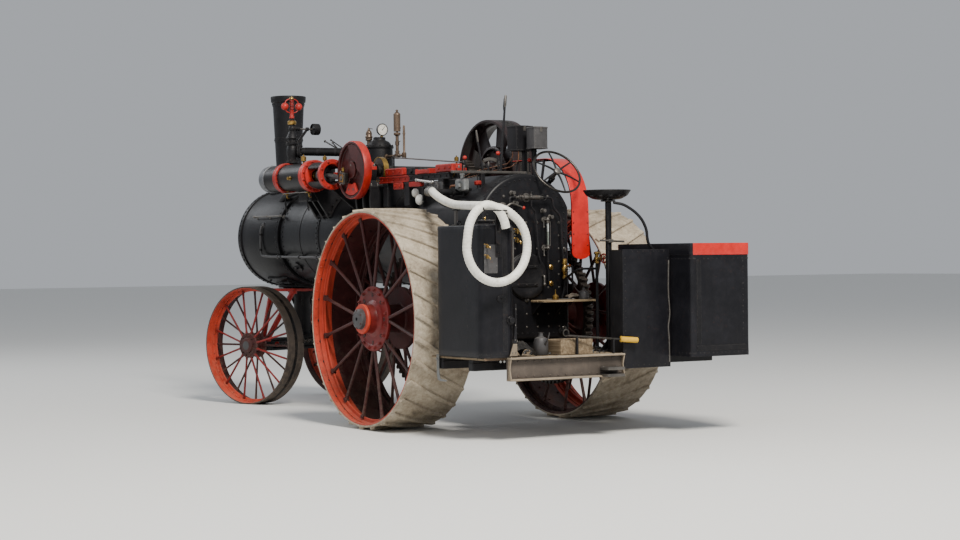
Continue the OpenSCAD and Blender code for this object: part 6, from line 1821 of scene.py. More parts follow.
    # bearings: pedestal, cap, bolts, cup
    g = G("red")
    for sg, y0, y1 in ((1, 0.48, 0.59), (-1, 0.40, 0.515)):
        g.push(Matrix.Diagonal((1, sg, 1, 1)))
        g.mat("cast")
        ym = (y0 + y1) / 2
        zt = CZ
        out = [(CX - 0.105, zt - 0.002)]
        for i in range(0, 13):
            t = math.radians(180 + 15 * i)
            out.append((CX + 0.052 * math.cos(t), CZ + 0.052 * math.sin(t)))
        out += [(CX + 0.105, zt - 0.002), (CX + 0.105, zt - 0.06), (CX + 0.088, zt - 0.10), (CX + 0.105, 2.180), (CX - 0.105, 2.180), (CX - 0.088, zt - 0.10), (CX - 0.105, zt - 0.06)]
        g.ext(out, "y", y0 + 0.004, y1 - 0.004, 0.004)
        g.mat("red")
        cap = [(CX + 0.105, zt + 0.002)]
        for i in range(0, 13):
            t = math.radians(15 * i)
            cap.append((CX + 0.052 * math.cos(t), CZ + 0.052 * math.sin(t)))
        cap += [(CX - 0.105, zt + 0.002), (CX - 0.105, zt + 0.032)]
        for i in range(9):
            t = math.radians(150 - 15 * i)
            cap.append((CX + 0.082 * math.cos(t), CZ + 0.082 * math.sin(t)))
        cap += [(CX + 0.105, zt + 0.032)]
        g.ext(cap, "y", y0 + 0.004, y1 - 0.004, 0.004)
        g.mat("brass")
        g.ring((CX, 0, CZ), Y, 0.0452, 0.060, y0, y1, 36, 0.002)
        g.mat("worn")
        for dx in (-0.090, 0.090):
            for yy in (ym - 0.028, ym + 0.028):
                g.bolt((CX + dx, yy, zt + 0.032), Z, 0.013, 0.012)
        g.mat("red")
        g.oilcup((CX, ym, CZ + 0.081), 1.1)
        # broad foot, ribbed and curved to the boiler
        g.mat("cast")
        n = 10
        for xa, xb in ((CX - 0.15, CX - 0.122), (CX - 0.014, CX + 0.014), (CX + 0.122, CX + 0.15)):
            pts = []
            for i in range(n + 1):
                yy = 0.25 + 0.225 * i / n
                pts.append((yy, BZ + math.sqrt(max(0.0, 0.4885 ** 2 - yy * yy))))
            pts += [(y1 - 0.01, 1.985), (y1 - 0.004, 2.05), (y1 - 0.004, 2.162), (0.26, 2.162)]
            g.ext(pts, "x", xa, xb, 0.004)
        g.box(CX - 0.15, CX + 0.15, 0.262, y1 - 0.002, 2.150, 2.182, 0.006)
        for dx in (-0.128, 0.128):
            for yy in (y0 + 0.012, y1 - 0.03):
                g.mat("worn")
                g.bolt((CX + dx, yy, 2.182), Z, 0.012, 0.011)
                g.mat("cast")
        g.pop()
    g.make("crank_bearing_pedestals", "chassis", ("crank_bearings",))

    # rotating parts
    g = G("oily")
    g.cyl((CX, -1.073, CZ), (CX, 0.614, CZ), 0.045, 36, 0.004)
    for y in (-0.76, 0.325, 0.43):
        g.ring((CX, 0, CZ), Y, 0.0449, 0.066, y - 0.014, y + 0.014, 32, 0.003)
    g.make("crankshaft_turned", "rotor", ("crankshaft",))

    g = G("red")
    o = (CX, 0, CZ)
    g.lathe([(0.045, 0.627), (0.262, 0.627), (0.272, 0.630), (0.275, 0.636), (0.275, 0.701), (0.272, 0.708), (0.268, 0.7095)], o, Y, 96)
    # the disc's face, the balance weight and the pin boss in dark maroon: painted shade on what is the same red as the
    # rim
    g.mat("disc")
    g.lathe([(0.268, 0.7095), (0.266, 0.710), (0.251, 0.710), (0.246, 0.706)], o, Y, 96)
    g.lathe([(0.246, 0.706), (0.244, 0.684), (0.240, 0.680), (0.086, 0.680), (0.082, 0.684), (0.080, 0.706), (0.076, 0.710), (0, 0.710)], o, Y, 96)
    g.lathe([(0.045, 0.628), (0.044, 0.613), (0.070, 0.612), (0.075, 0.616), (0.075, 0.628)], o, Y, 40)
    # balance weight: segment opposite the pin
    pin = math.atan2(2.259 - CZ, 1.37 - CX)
    pts = []
    for i in range(19):
        t = pin + math.pi + math.radians(-62 + 124 * i / 18)
        pts.append((CX + 0.243 * math.cos(t), CZ + 0.243 * math.sin(t)))
    for i in range(9):
        t = pin + math.pi + math.radians(40 - 80 * i / 8)
        pts.append((CX + 0.105 * math.cos(t), CZ + 0.105 * math.sin(t)))
    g.ext(pts, "y", 0.6805, 0.7085, 0.004)
    g.mat("red")
    blk = []
    for i in range(9):
        t = math.radians(-118 + 56 * i / 8)
        blk.append((CX + 0.240 * math.cos(t), CZ + 0.240 * math.sin(t)))
    for i in range(7):
        t = math.radians(-66 - 48 * i / 6)
        blk.append((CX + 0.135 * math.cos(t), CZ + 0.135 * math.sin(t)))
    g.ext(blk, "y", 0.681, 0.7095, 0.004)
    g.mat("worn")
    for t in (-104, -76):
        q = math.radians(t)
        g.hexa((CX + 0.190 * math.cos(q), 0.7095, CZ + 0.190 * math.sin(q)), Y, 0.014, 0.0006)
    g.mat("disc")
    # pin boss
    px, pz = 1.37, 2.259
    g.lathe([(0.052, 0.681), (0.052, 0.704), (0.048, 0.709), (0.030, 0.7095)], (px, 0, pz), Y, 28)
    g.mat("steel")
    g.lathe([(0, 0.7098), (0.030, 0.7098), (0.030, 0.700)], (px, 0, pz), Y, 24)
    g.mat("worn")
    g.box(CX - 0.012, CX + 0.012, 0.709, 0.7105, CZ + 0.036, CZ + 0.056, 0.0005)
    g.make("crank_disc_plate", "rotor", ("crank_disc",))

    g = G("brass")
    eo = (CX + 0.028, 0, CZ + 0.010)
    # sheave and its two-part strap
    g.mat("worn")
    g.lathe([(0.047, 0.349), (0.108, 0.349), (0.110, 0.352), (0.110, 0.393), (0.108, 0.396), (0.047, 0.396)], eo, Y, 48)
    g.mat("brass")
    g.ring(eo, Y, 0.1105, 0.1200, 0.346, 0.399, 56, 0.003)
    for a in (75, 255):
        t = math.radians(a)
        q = Vector(eo) + Vector((0.118 * math.cos(t), 0.3725, 0.118 * math.sin(t)))
        e = Vector((math.cos(t), 0, math.sin(t)))
        tn = Vector((-e.z, 0, e.x))
        for s_ in (-1, 1):
            g.bar(q + tn * (s_ * 0.006) - e * 0.004, q + tn * (s_ * 0.006) + e * 0.001, 0.046, 0.010, up=tn)
    g.make("eccentric_and_strap", "rotor", ("eccentric",))

    g = G("fly")
    y0, y1 = -1.055, -0.79
    ym = (y0 + y1) / 2
    g.lathe([(0.487, y0 + 0.004), (0.490, y0), (0.5095, y0), (0.5125, y0 + 0.004), (0.515, y0 + 0.07), (0.515, y1 - 0.07), (0.5125, y1 - 0.004), (0.5095, y1), (0.490, y1), (0.487, y1 - 0.004),
             (0.484, ym + 0.045), (0.466, ym + 0.030), (0.462, ym + 0.024), (0.462, ym - 0.024), (0.466, ym - 0.030), (0.484, ym - 0.045), (0.487, y0 + 0.004)], o, Y, 120)
    g.mat("rim_worn")
    g.lathe([(0.5125, y0 + 0.012), (0.5150, y0 + 0.070), (0.5150, y1 - 0.070), (0.5125, y1 - 0.012)], o, Y, 120)
    g.mat("fly")
    g.lathe([(0.0455, y0 + 0.022), (0.088, y0 + 0.022), (0.095, y0 + 0.030), (0.095, ym - 0.05), (0.104, ym - 0.03), (0.104, ym + 0.03), (0.095, ym + 0.05), (0.095, y1 - 0.030), (0.088, y1 - 0.022), (0.0455, y1 - 0.022)], o, Y, 48)
    for i in range(6):
        t = math.radians(-(i * 60 + 12))
        c_, s_ = math.cos(t), math.sin(t)
        vs, F = [], []
        k, rows = 16, []
        for u in (0.0, 0.06, 0.14, 0.5, 0.86, 0.94, 1.0):
            r = 0.085 + (0.470 - 0.085) * u
            fl = 1.0 + (0.45 * (1 - u / 0.14) if u < 0.14 else 0) + (0.4 * (u - 0.86) / 0.14 if u > 0.86 else 0)
            a_ = (0.052 + 0.088 * u) * (1.0 + 0.12 * max(0.0, (u - 0.86) / 0.14))
            b_ = (0.024 - 0.006 * u) * fl
            row = []
            for j in range(k):
                q = 2 * math.pi * j / k
                lx, ly = a_ * math.cos(q), b_ * math.sin(q)
                row.append(len(vs))
                vs.append((CX + r * c_ - lx * s_, ym + ly, CZ + r * s_ + lx * c_))
            rows.append(row)
        for a, b in zip(rows, rows[1:]):
            for j in range(k):
                jj = (j + 1) % k
                F.append((a[j], a[jj], b[jj], b[j]))
        g.add(vs, F)
    # friction clutch inside the wheel: drum, ribs, toggle arms
    g.lathe([(0.100, ym - 0.060), (0.236, ym - 0.060), (0.252, ym - 0.056), (0.256, ym - 0.048), (0.256, ym + 0.048), (0.252, ym + 0.056), (0.236, ym + 0.060), (0.228, ym + 0.060), (0.226, ym + 0.026), (0.100, ym + 0.022)], o, Y, 72)
    g.bolt_ring((CX, ym + 0.026, CZ), Y, 0.200, 12, 0.011, 0.010)
    g.bolt_ring((CX, ym - 0.060, CZ), (0, -1, 0), 0.205, 12, 0.011, 0.010)
    g.mat("worn")
    for i in range(3):
        t = math.radians(120 * i + 30)
        e = Vector((math.cos(t), 0, math.sin(t)))
        a = Vector((CX, ym + 0.075, CZ)) + e * 0.085
        b = Vector((CX, ym + 0.050, CZ)) + e * 0.215
        g.bar(a, b, 0.030, 0.014, up=(0, 1, 0))
        g.cyl(b - Vector((0, 0.028, 0)), b + Vector((0, 0.018, 0)), 0.017, 16)
    g.box(CX - 0.010, CX + 0.010, y0 + 0.006, y0 + 0.022, CZ + 0.034, CZ + 0.056, 0.002)
    g.make("flywheel_spoked", "rotor", ("flywheel",))

    # guard over the gears: rolled sheet with a rolled edge and rivets
    g = G("red_sheet")
    line = [(0.38, 2.396)]
    line += [(-0.15 + 0.446 * math.cos(math.radians(a)), 1.95 + 0.446 * math.sin(math.radians(a))) for a in range(90, 181, 6)]
    line += [(-0.596, 1.80), (-0.596, 1.65), (-0.596, 1.52)]
    n = len(line)
    # width grows downwards, and the foot is rounded
    outer = []
    for i, (x, z) in enumerate(line):
        outer.append(-0.700 if z > 2.05 else -0.700 - 0.012 * (2.05 - z) / 0.6)
    inner = [-0.520] * n
    vs, F = [], []
    for i, (x, z) in enumerate(line):
        a, b = line[max(i - 1, 0)], line[min(i + 1, n - 1)]
        t = Vector((b[0] - a[0], 0, b[1] - a[1])).normalized()
        nn = Vector((-t.z, 0, t.x))
        for y, lip in ((outer[i], 0.010), (outer[i], 0.0), (outer[i] + 0.006, -0.002), (inner[i] - 0.006, -0.002), (inner[i], 0.0), (inner[i], 0.010)):
            for th in (0.0, 0.004):
                vs.append((x + nn.x * (lip + th), y, z + nn.z * (lip + th)))
    W = 12
    for i in range(n - 1):
        a, b = i * W, (i + 1) * W
        for j in range(5):
            F.append((a + 2 * j, b + 2 * j, b + 2 * j + 2, a + 2 * j + 2))
            F.append((a + 2 * j + 1, a + 2 * j + 3, b + 2 * j + 3, b + 2 * j + 1))
        F.append((a, a + 1, b + 1, b))
        F.append((a + 10, b + 10, b + 11, a + 11))
    for a in (0, (n - 1) * W):
        for j in range(5):
            F.append((a + 2 * j, a + 2 * j + 2, a + 2 * j + 3, a + 2 * j + 1))
    g.add(vs, F)
    # rounded tongue at the foot
    pts = [(-0.520, 1.525), (-0.712, 1.525)]
    for i in range(13):
        t = math.radians(180 + 15 * i)
        pts.append((-0.616 + 0.096 * math.cos(t), 1.525 + 0.052 * math.sin(t)))
    g.ext(pts, "x", -0.5995, -0.5945, 0.001)
    g.mat("red")
    for (x, z) in ((-0.5985, 1.60), (-0.5985, 1.70), (-0.5985, 1.80), (-0.5985, 1.90)):
        for y in (-0.536, -0.690):
            g.rivet((x, y, z), (-1, 0, 0), 0.008)
    g.mat("sheet")
    for z0 in (1.560, 1.690):
        g.box(-0.592, -0.500, -0.560, -0.452, z0, z0 + 0.010, 0.002)
        g.box(-0.592, -0.584, -0.560, -0.500, z0, z0 + 0.030, 0.002)
        g.bolt((-0.545, -0.475, z0 + 0.010), Z, 0.010, 0.008)
    # flat stays from the firebox side up to the guard's inner edge
    g.mat("sheet")
    for x, z in ((0.300, 2.388), (-0.150, 2.388)):
        g.bar((x, -0.526, z), (x, -0.449, 1.900), 0.030, 0.007, up=(1, 0, 0))
        g.rivet((x, -0.5285, z - 0.03), (0, -1, 0.16), 0.008, 8)
        g.rivet((x, -0.4595, 1.940), (0, -1, 0.16), 0.008, 8)
    g.make("gear_guard_sheet", "chassis", ("gear_guard",))
engine()

# ------------------------------------------------------------------ steering
def steering():
    X, Y, Z = Vector((1, 0, 0)), Vector((0, 1, 0)), Vector((0, 0, 1))
    wc = Vector((-0.630, -0.330, 2.240))
    t = math.radians(36)
    ax = Vector((-math.cos(t), 0, math.sin(t)))
    # hand wheel: rolled iron rim, six tapered spokes, riveted hub
    g = G("oily")
    wr = wc + ax * 0.020
    g.torus(wr, ax, 0.228, 0.0105, 72, 12)
    m = frame_of(wr, ax)
    g.mat("sheet")
    for i in range(6):
        a = math.radians(60 * i)
        e = Vector((math.cos(a), math.sin(a), 0))
        pts = [m @ (e * 0.028 + Vector((0, 0, 0.004))), m @ (e * 0.08 + Vector((0, 0, 0.010))), m @ (e * 0.15 + Vector((0, 0, 0.008))), m @ (e * 0.222)]
        g.tube(spline(pts, 5), [0.0105 - 0.0035 * q / 15 for q in range(16)], 10)
    g.mat("worn")
    g.lathe([(0.0, -0.190), (0.014, -0.190), (0.0155, -0.186), (0.0155, 0.008), (0.028, 0.008), (0.033, 0.014), (0.034, 0.022), (0.034, 0.032), (0.030, 0.040), (0.022, 0.044), (0.0, 0.044)], wc, ax, 32)
    g.hexa(wc + ax * 0.0435, ax, 0.020, 0.0004)
    for i in range(4):
        a = math.radians(90 * i)
        e = Vector((math.cos(a), math.sin(a), 0))
        g.rivet(m @ (e * 0.024 + Vector((0, 0, 0.0195))), ax, 0.004, 6)
    g.make("hand_wheel_rim", "steering_hand_wheel", ("steering_wheel",))

    # column, brackets, bevel box, shafts and worm
    g = G("sheet")
    def L(h):
        return wc + ax * h
    g.lathe([(0.0165, -0.062), (0.024, -0.062), (0.026, -0.066), (0.026, -0.100), (0.021, -0.106), (0.021, -0.255), (0.026, -0.262), (0.026, -0.300), (0.012, -0.300)], wc, ax, 28)
    g.mat("worn")
    for h in (-0.082, -0.282):
        m2 = frame_of(L(h), ax)
        for a in (60, 120):
            q = math.radians(a)
            g.rivet(m2 @ Vector((0.0255 * math.cos(q), 0.0255 * math.sin(q), 0)), m2.to_3x3() @ Vector((math.cos(q), math.sin(q), 0)), 0.005, 6)
    g.mat("cast")
    # bevel box: split case with bolted flange
    g.box(-0.476, -0.344, -0.386, -0.274, 2.044, 2.146, 0.012)
    g.box(-0.480, -0.340, -0.390, -0.270, 2.090, 2.104, 0.003)
    for x in (-0.470, -0.350):
        for y in (-0.382, -0.278):
            g.hexa((x, y, 2.104), Z, 0.007, 0.006)
    # bracket feet from the box down to the firebox crown
    for y in (-0.386, -0.286):
        g.ext([(-0.470, 2.05), (-0.350, 2.05), (-0.330, 2.075), (-0.330, 2.10), (-0.470, 2.10)], "y", y, y + 0.012, 0.002)
    g.mat("worn")
    g.cyl((-0.341, -0.33, 2.13), (0.530, -0.33, 2.13), 0.0155, 20)
    for x in (-0.325, 0.075, 0.500):
        g.mat("cast")
        g.lathe([(0.0155, -0.016), (0.022, -0.016), (0.024, -0.013), (0.024, 0.013), (0.022, 0.016), (0.0155, 0.016)], (x, -0.33, 2.13), X, 24)
        g.mat("worn")
        g.hexa((x, -0.33, 2.153), Z, 0.006, 0.006)
    g.mat("cast")
    g.box(0.5225, 0.572, -0.528, -0.302, 2.062, 2.148, 0.010)
    g.box(0.5205, 0.574, -0.530, -0.300, 2.100, 2.112, 0.003)
    for y in (-0.520, -0.415, -0.310):
        g.hexa((0.5475, y, 2.148), Z, 0.007, 0.0018)
    g.mat("worn")
    g.cyl((0.545, -0.502, 2.061), (0.545, -0.502, 0.920), 0.0138, 20)
    for z in (1.98, 1.50, 1.02):
        g.mat("cast")
        g.lathe([(0.0138, -0.014), (0.021, -0.014), (0.0225, -0.011), (0.0225, 0.011), (0.021, 0.014), (0.0138, 0.014)], (0.545, -0.502, z), Z, 24)
    g.mat("cast")
    # half-round bearing clips on the firebox shoulder
    for z in (1.70, 1.22):
        g.box(0.523, 0.567, -0.524, -0.458, z - 0.016, z + 0.016, 0.005)
        g.hexa((0.532, -0.524, z), -Y, 0.006, 0.005)
        g.hexa((0.558, -0.524, z), -Y, 0.006, 0.005)
    g.box(0.525, 0.568, -0.524, -0.480, 0.874, 0.924, 0.008)
    g.mat("worn")
    g.cyl((0.569, -0.502, 0.900), (1.421, -0.502, 0.900), 0.0138, 20)
    for x in (0.62, 1.00, 1.38):
        g.mat("cast")
        g.lathe([(0.0138, -0.015), (0.022, -0.015), (0.0235, -0.012), (0.0235, 0.012), (0.022, 0.015), (0.0138, 0.015)], (x, -0.502, 0.90), X, 24)
    g.mat("cast")
    # worm case, open at the bottom front, with ribs
    g.box(1.424, 1.576, -0.536, -0.454, 0.854, 1.006, 0.016)
    g.ring((1.5, 0, 0.93), Y, 0.030, 0.052, -0.540, -0.452, 32, 0.004)
    g.bolt_ring((1.5, -0.5365, 0.93), -Y, 0.060, 6, 0.007, 0.0025, stud=False)
    g.box(1.421, 1.579, -0.540, -0.450, 0.920, 0.932, 0.003)
    # hangers with forked eyes down to the roller shaft
    for y0, y1 in ((-0.436, -0.402), (0.400, 0.434)):
        pts = [(1.452, 1.556), (1.450, 1.10), (1.462, 0.99), (1.450, 0.93)]
        for i in range(9):
            a = math.radians(180 + 22.5 * i)
            pts.append((1.50 + 0.050 * math.cos(a), 0.920 + 0.050 * math.sin(a)))
        pts += [(1.550, 0.93), (1.538, 0.99), (1.550, 1.10), (1.548, 1.556)]
        g.ext(pts, "y", y0, y1, 0.004)
        for z in (1.40, 1.50):
            yy, d = (y0, -Y) if y0 < 0 else (y1, Y)
            g.bolt((1.475, yy, z), d, 0.011, 0.008)
            g.bolt((1.525, yy, z), d, 0.011, 0.008)
        g.ring((1.5, 0, 0.93), Y, 0.0206, 0.034, y0 - 0.003, y1 + 0.003, 28, 0.003)
    # strap under the barrel that ties both hangers
    pts = []
    for i in range(25):
        a = math.radians(-148 + 116 * i / 24)
        pts.append((0.4845 * math.cos(a), BZ + 0.4845 * math.sin(a)))
    out = [(p[0] * 1.012, BZ + (p[1] - BZ) * 1.012) for p in pts]
    g.ext(pts + out[::-1], "x", 1.468, 1.532, 0.0)
    g.make("steering_gear_case", "chassis", ("steering_column",))

    # chain roller: spiral-wound barrel
    g = G("chain")
    g.cyl((1.5, -0.443, 0.93), (1.5, 0.440, 0.93), 0.0195, 20)
    g.mat("worn")
    g.cyl((1.5, -0.360, 0.93), (1.5, 0.360, 0.93), 0.0480, 32)
    for y in (-0.352, 0.352):
        g.lathe([(0.046, y - 0.008), (0.083, y - 0.008), (0.085, y - 0.004), (0.085, y + 0.004), (0.083, y + 0.008), (0.046, y + 0.008)], (1.5, 0, 0.93), Y, 36)
    g.make("chain_roller_barrel", "chain_roller", ())
    g = G("chain")
    # turns of chain that lie on the barrel, as a close winding of links
    for side in (-1, 1):
        k = 26
        for i in range(k):
            a = 2 * math.pi * i / 9.0
            y = side * (0.335 - 0.0085 * i)
            e = Vector((math.cos(a), 0, math.sin(a)))
            tn = Vector((-e.z, 0, e.x))
            c = Vector((1.5, y, 0.93)) + e * 0.0505
            if i % 2:
                g.tube([c - tn * 0.019 + Y * 0.006, c - tn * 0.010 + Y * 0.010, c + tn * 0.010 + Y * 0.010, c + tn * 0.019 + Y * 0.006, c + tn * 0.019 - Y * 0.006, c + tn * 0.010 - Y * 0.010, c - tn * 0.010 - Y * 0.010, c - tn * 0.019 - Y * 0.006, c - tn * 0.019 + Y * 0.006], 0.0042, 6, False)
            else:
                g.tube([c - tn * 0.018, c + tn * 0.018], 0.0046, 6)
    g.make("roller_chain_turns", "chain_roller", ("steering_roller",))

    # chains from roller to axle: linked, sagging between chassis and axle
    def chain(name, a, b, sag):
        a, b = Vector(a), Vector(b)
        L = (b - a).length
        n = int(L / 0.046)
        P = [a + (b - a) * (i / n) - Vector((0, 0, sag * 4 * (i / n) * (1 - i / n))) for i in range(n + 1)]
        g = G("chain")
        for i in range(n):
            p, q = P[i], P[i + 1]
            d = (q - p).normalized()
            c = (p + q) / 2
            u = Vector((0, 0, 1)) if i % 2 else Vector((0, 1, 0))
            u = (u - d * u.dot(d)).normalized()
            pts = []
            for j in range(13):
                s_ = 2 * math.pi * j / 12
                pts.append(c + d * (0.0275 * math.copysign(abs(math.cos(s_)) ** 0.6, math.cos(s_))) + u * (0.0135 * math.copysign(abs(math.sin(s_)) ** 0.7, math.sin(s_))))
            g.tube(pts, 0.0052, 6, False)
        ob = g.make(name, None, ())
        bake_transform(ob)
    chain("steering_chain_left", (1.52, 0.290, 0.872), (3.508, 0.4095, 0.612), 0.030)
    chain("steering_chain_right", (1.52, -0.290, 0.872), (3.808, -0.460, 0.612), 0.030)
steering()

# ------------------------------------------------------------------ reverse frame, levers, oil boxes
def controls():
    X, Y, Z = Vector((1, 0, 0)), Vector((0, 1, 0)), Vector((0, 0, 1))
    g = G("red")
    # beam: built-up channel with flanges and bolts, painted at its front end and bare behind
    for m_, xa, xb in (("sheet", -0.150, 0.560), ("red", 0.5605, 1.120)):
        g.mat(m_)
        g.box(xa, xb, 0.452, 0.490, 2.204, 2.256, 0.004)
        g.box(xa, xb, 0.442, 0.499, 2.247, 2.260, 0.003)
        g.box(xa, xb, 0.442, 0.499, 2.200, 2.212, 0.003)
    for i in range(12):
        g.mat("sheet" if i < 7 else "red")
        g.hexa((-0.10 + 0.106 * i, 0.490, 2.230), Y, 0.009, 0.008)
    g.mat("red")
    # block at the lever's foot: guide box with cap and bolts
    g.box(0.162, 0.418, 0.432, 0.510, 2.262, 2.300, 0.006)
    g.box(0.160, 0.200, 0.430, 0.512, 2.259, 2.306, 0.004)
    g.box(0.380, 0.420, 0.430, 0.512, 2.259, 2.306, 0.004)
    g.mat("worn")
    for x in (0.215, 0.255, 0.325, 0.365):
        g.hexa((x, 0.50, 2.300), Z, 0.009, 0.006)
    g.mat("sheet")
    for x0, x1 in ((-0.06, 0.03), (0.56, 0.65), (0.96, 1.05)):
        g.box(x0 + 0.004, x1 - 0.004, 0.336, 0.494, 2.06, 2.198, 0.006)
        ym = 0.415
        zb = BZ + 0.482 * math.cos(math.asin(0.334 / 0.482))
        g.ext([(0.334, 2.150), (0.496, 2.150), (0.496, 1.985), (0.44, 1.955), (0.365, 2.055), (0.334, 2.078)], "x", x0, x1, 0.004)
        g.box(x0, x1, 0.330, 0.500, 2.180, 2.199, 0.004)
        g.mat("worn")
        for y in (0.350, 0.480):
            g.hexa(((x0 + x1) / 2 - 0.03, y, 2.199), Z, 0.009, 0.0008)
        g.mat("sheet")
    g.make("reversing_beam", "chassis", ("reverse_frame",))

    # small castings that hang on the beam: weigh shaft, brackets, blocks, reach rod
    g = G("red")
    g.box(0.665, 0.845, 0.455, 0.505, 2.135, 2.198, 0.008)
    g.hexa((0.71, 0.505, 2.166), Y, 0.013, 0.010)
    g.hexa((0.80, 0.505, 2.166), Y, 0.013, 0.010)
    # valve-rod head and its bracket on the beam's painted end
    g.box(0.680, 1.010, 0.445, 0.498, 2.262, 2.335, 0.010)
    for x in (0.73, 0.845, 0.96):
        g.hexa((x, 0.498, 2.298), Y, 0.013, 0.010)
    g.box(0.350, 0.560, 0.452, 0.500, 2.150, 2.198, 0.006)
    g.mat("sheet")
    g.box(0.440, 0.600, 0.440, 0.498, 2.262, 2.330, 0.008)
    g.cyl((0.52, 0.430, 2.296), (0.52, 0.512, 2.296), 0.024, 20)
    g.mat("red")
    g.box(-0.215, 0.085, 0.452, 0.498, 2.262, 2.335, 0.010)
    for x in (-0.17, -0.08, 0.02):
        g.hexa((x, 0.498, 2.300), Y, 0.012, 0.009)
    # bright reach rod with forked ends
    g.mat("steel")
    g.cyl((0.10, 0.515, 2.178), (0.38, 0.515, 2.208), 0.0125, 16)
    g.sphere((0.10, 0.515, 2.178), 0.019, 14, 8)
    g.sphere((0.38, 0.515, 2.208), 0.019, 14, 8)
    # dark casting below the beam, pump-like, with a flange and a plug
    g.mat("grey")
    g.box(-0.055, 0.200, 0.440, 0.500, 2.085, 2.190, 0.014)
    g.lathe([(0, 0.495), (0.052, 0.495), (0.054, 0.500), (0.054, 0.512), (0.050, 0.516), (0, 0.516)], (0.07, 0, 2.130), Y, 28)
    g.bolt_ring((0.07, 0.512, 2.130), Y, 0.040, 6, 0.007, 0.006)
    g.mat("cast")
    g.cyl((0.19, 0.470, 2.150), (0.26, 0.470, 2.150), 0.022, 18)
    g.run([(0.25, 0.470, 2.150), (0.33, 0.470, 2.150), (0.36, 0.455, 2.02)], 0.014, 12, 0.04)
    # check valve, grey block further back
    g.mat("galv")
    g.box(-0.395, -0.225, 0.425, 0.480, 2.085, 2.190, 0.012)
    g.hexa((-0.31, 0.480, 2.137), Y, 0.030, 0.020)
    g.cyl((-0.31, 0.450, 2.190), (-0.31, 0.450, 2.235), 0.018, 16)
    g.hexa((-0.31, 0.450, 2.225), Z, 0.022, 0.016)
    g.mat("copper")
    g.run([(-0.23, 0.455, 2.137), (-0.12, 0.455, 2.137), (-0.12, 0.455, 2.10), (-0.05, 0.455, 2.10)], 0.012, 12, 0.03)
    # pale rags and paint splashes left by the plugs
    g.mat("hose")
    for (x, z, r) in ((0.495, 2.095, 0.034), (0.418, 2.030, 0.040)):
        g.sphere((x, 0.466, z), r, 14, 9, 1.25)
    # long thin rod along the boiler's top
    g.mat("worn")
    g.cyl((1.02, 0.404, 2.446), (-0.28, 0.404, 2.340), 0.0065, 10)
    for x in (1.00, -0.24):
        z = 2.446 + (x - 1.02) * 0.106 / 1.30
        g.mat("sheet")
        g.bar((x, 0.404, z - 0.004), (x, 0.404, 2.10), 0.016, 0.008, up=(1, 0, 0))
        g.cyl((x - 0.010, 0.404, z), (x + 0.010, 0.404, z), 0.013, 12)
    g.make("valve_gear_fittings", "chassis", ())

    # levers: tapered, with grips, latches, a notched quadrant
    g = G("worn")
    g.box(-0.418, -0.374, -0.160, 0.610, 2.238, 2.262, 0.004)
    g.mat("sheet")
    for y in (-0.120, 0.300):
        g.box(-0.414, -0.378, y - 0.018, y + 0.018, 2.092, 2.240, 0.004)
        g.box(-0.420, -0.372, y - 0.020, y + 0.020, 2.226, 2.240, 0.003)
        g.bolt((-0.396, y, 2.262), Z, 0.009, 0.002, stud=False)
    for fy, ty, tz, r in ((0.290, 0.355, 2.620, 0.009), (0.105, 0.042, 2.940, 0.013), (0.235, 0.228, 2.345, 0.009)):
        a, b = Vector((-0.396, fy, 2.262)), Vector((-0.396, ty, tz))
        d = (b - a).normalized()
        Ln = (b - a).length
        g.mat("sheet")
        g.tube([a, a + d * Ln * 0.3, a + d * Ln * 0.75, b - d * min(0.10, Ln * 0.4)], [r * 1.0, r * 0.95, r * 0.72, r * 0.62], 12)
        g.mat("worn")
        g.tube([b - d * min(0.11, Ln * 0.5), b - d * min(0.09, Ln * 0.4), b - d * 0.012, b], [r * 0.6, r * 0.98, r * 0.95, r * 0.5], 12)
        if Ln > 0.2:
            # latch rod and hand latch beside the lever
            w = Vector((1, 0, 0))
            g.mat("sheet")
            g.cyl(a + d * 0.05 + w * (r + 0.004), b - d * 0.13 + w * (r * 0.7 + 0.004), 0.0032, 8)
            g.tube(spline([b - d * 0.14 + w * (r + 0.002), b - d * 0.10 + w * (r + 0.012), b - d * 0.03 + w * (r + 0.010)], 4), 0.0038, 8)
    # red knobs on short stalks, and two small red castings under the bar
    g.mat("red")
    for (y, z) in ((0.475, 2.375), (0.130, 2.420), (-0.205, 2.365)):
        g.sphere((-0.396, y, z), 0.019, 16, 10)
    g.box(-0.425, -0.375, 0.318, 0.372, 2.135, 2.175, 0.008)
    g.box(-0.425, -0.375, 0.250, 0.300, 2.085, 2.122, 0.008)
    g.cyl((-0.430, 0.345, 2.155), (-0.365, 0.345, 2.155), 0.012, 14)
    g.cyl((-0.430, 0.275, 2.104), (-0.365, 0.275, 2.104), 0.012, 14)
    g.mat("sheet")
    for (y, z) in ((0.475, 2.375), (0.130, 2.420), (-0.205, 2.365)):
        g.cyl((-0.396, y, 2.258), (-0.396, y, z - 0.012), 0.006, 10)
    for y in (0.345, 0.275):
        g.bar((-0.396, y, 2.245), (-0.396, y, 2.10), 0.014, 0.008, up=(1, 0, 0))
    # notched quadrant in the levers' plane, close in front of the bar
    pts = []
    for i in range(33):
        t = math.radians(60 + 60 * i / 32)
        R = 0.150 + (0.004 if i % 2 else 0.0)
        pts.append((0.20 + R * math.cos(t), 2.230 + R * math.sin(t)))
    for i in range(13):
        t = math.radians(120 - 60 * i / 12)
        pts.append((0.20 + 0.126 * math.cos(t), 2.230 + 0.126 * math.sin(t)))
    g.mat("worn")
    g.ext(pts, "x", -0.384, -0.378, 0.0)
    g.make("lever_bar_and_levers", "chassis", ("control_levers",))

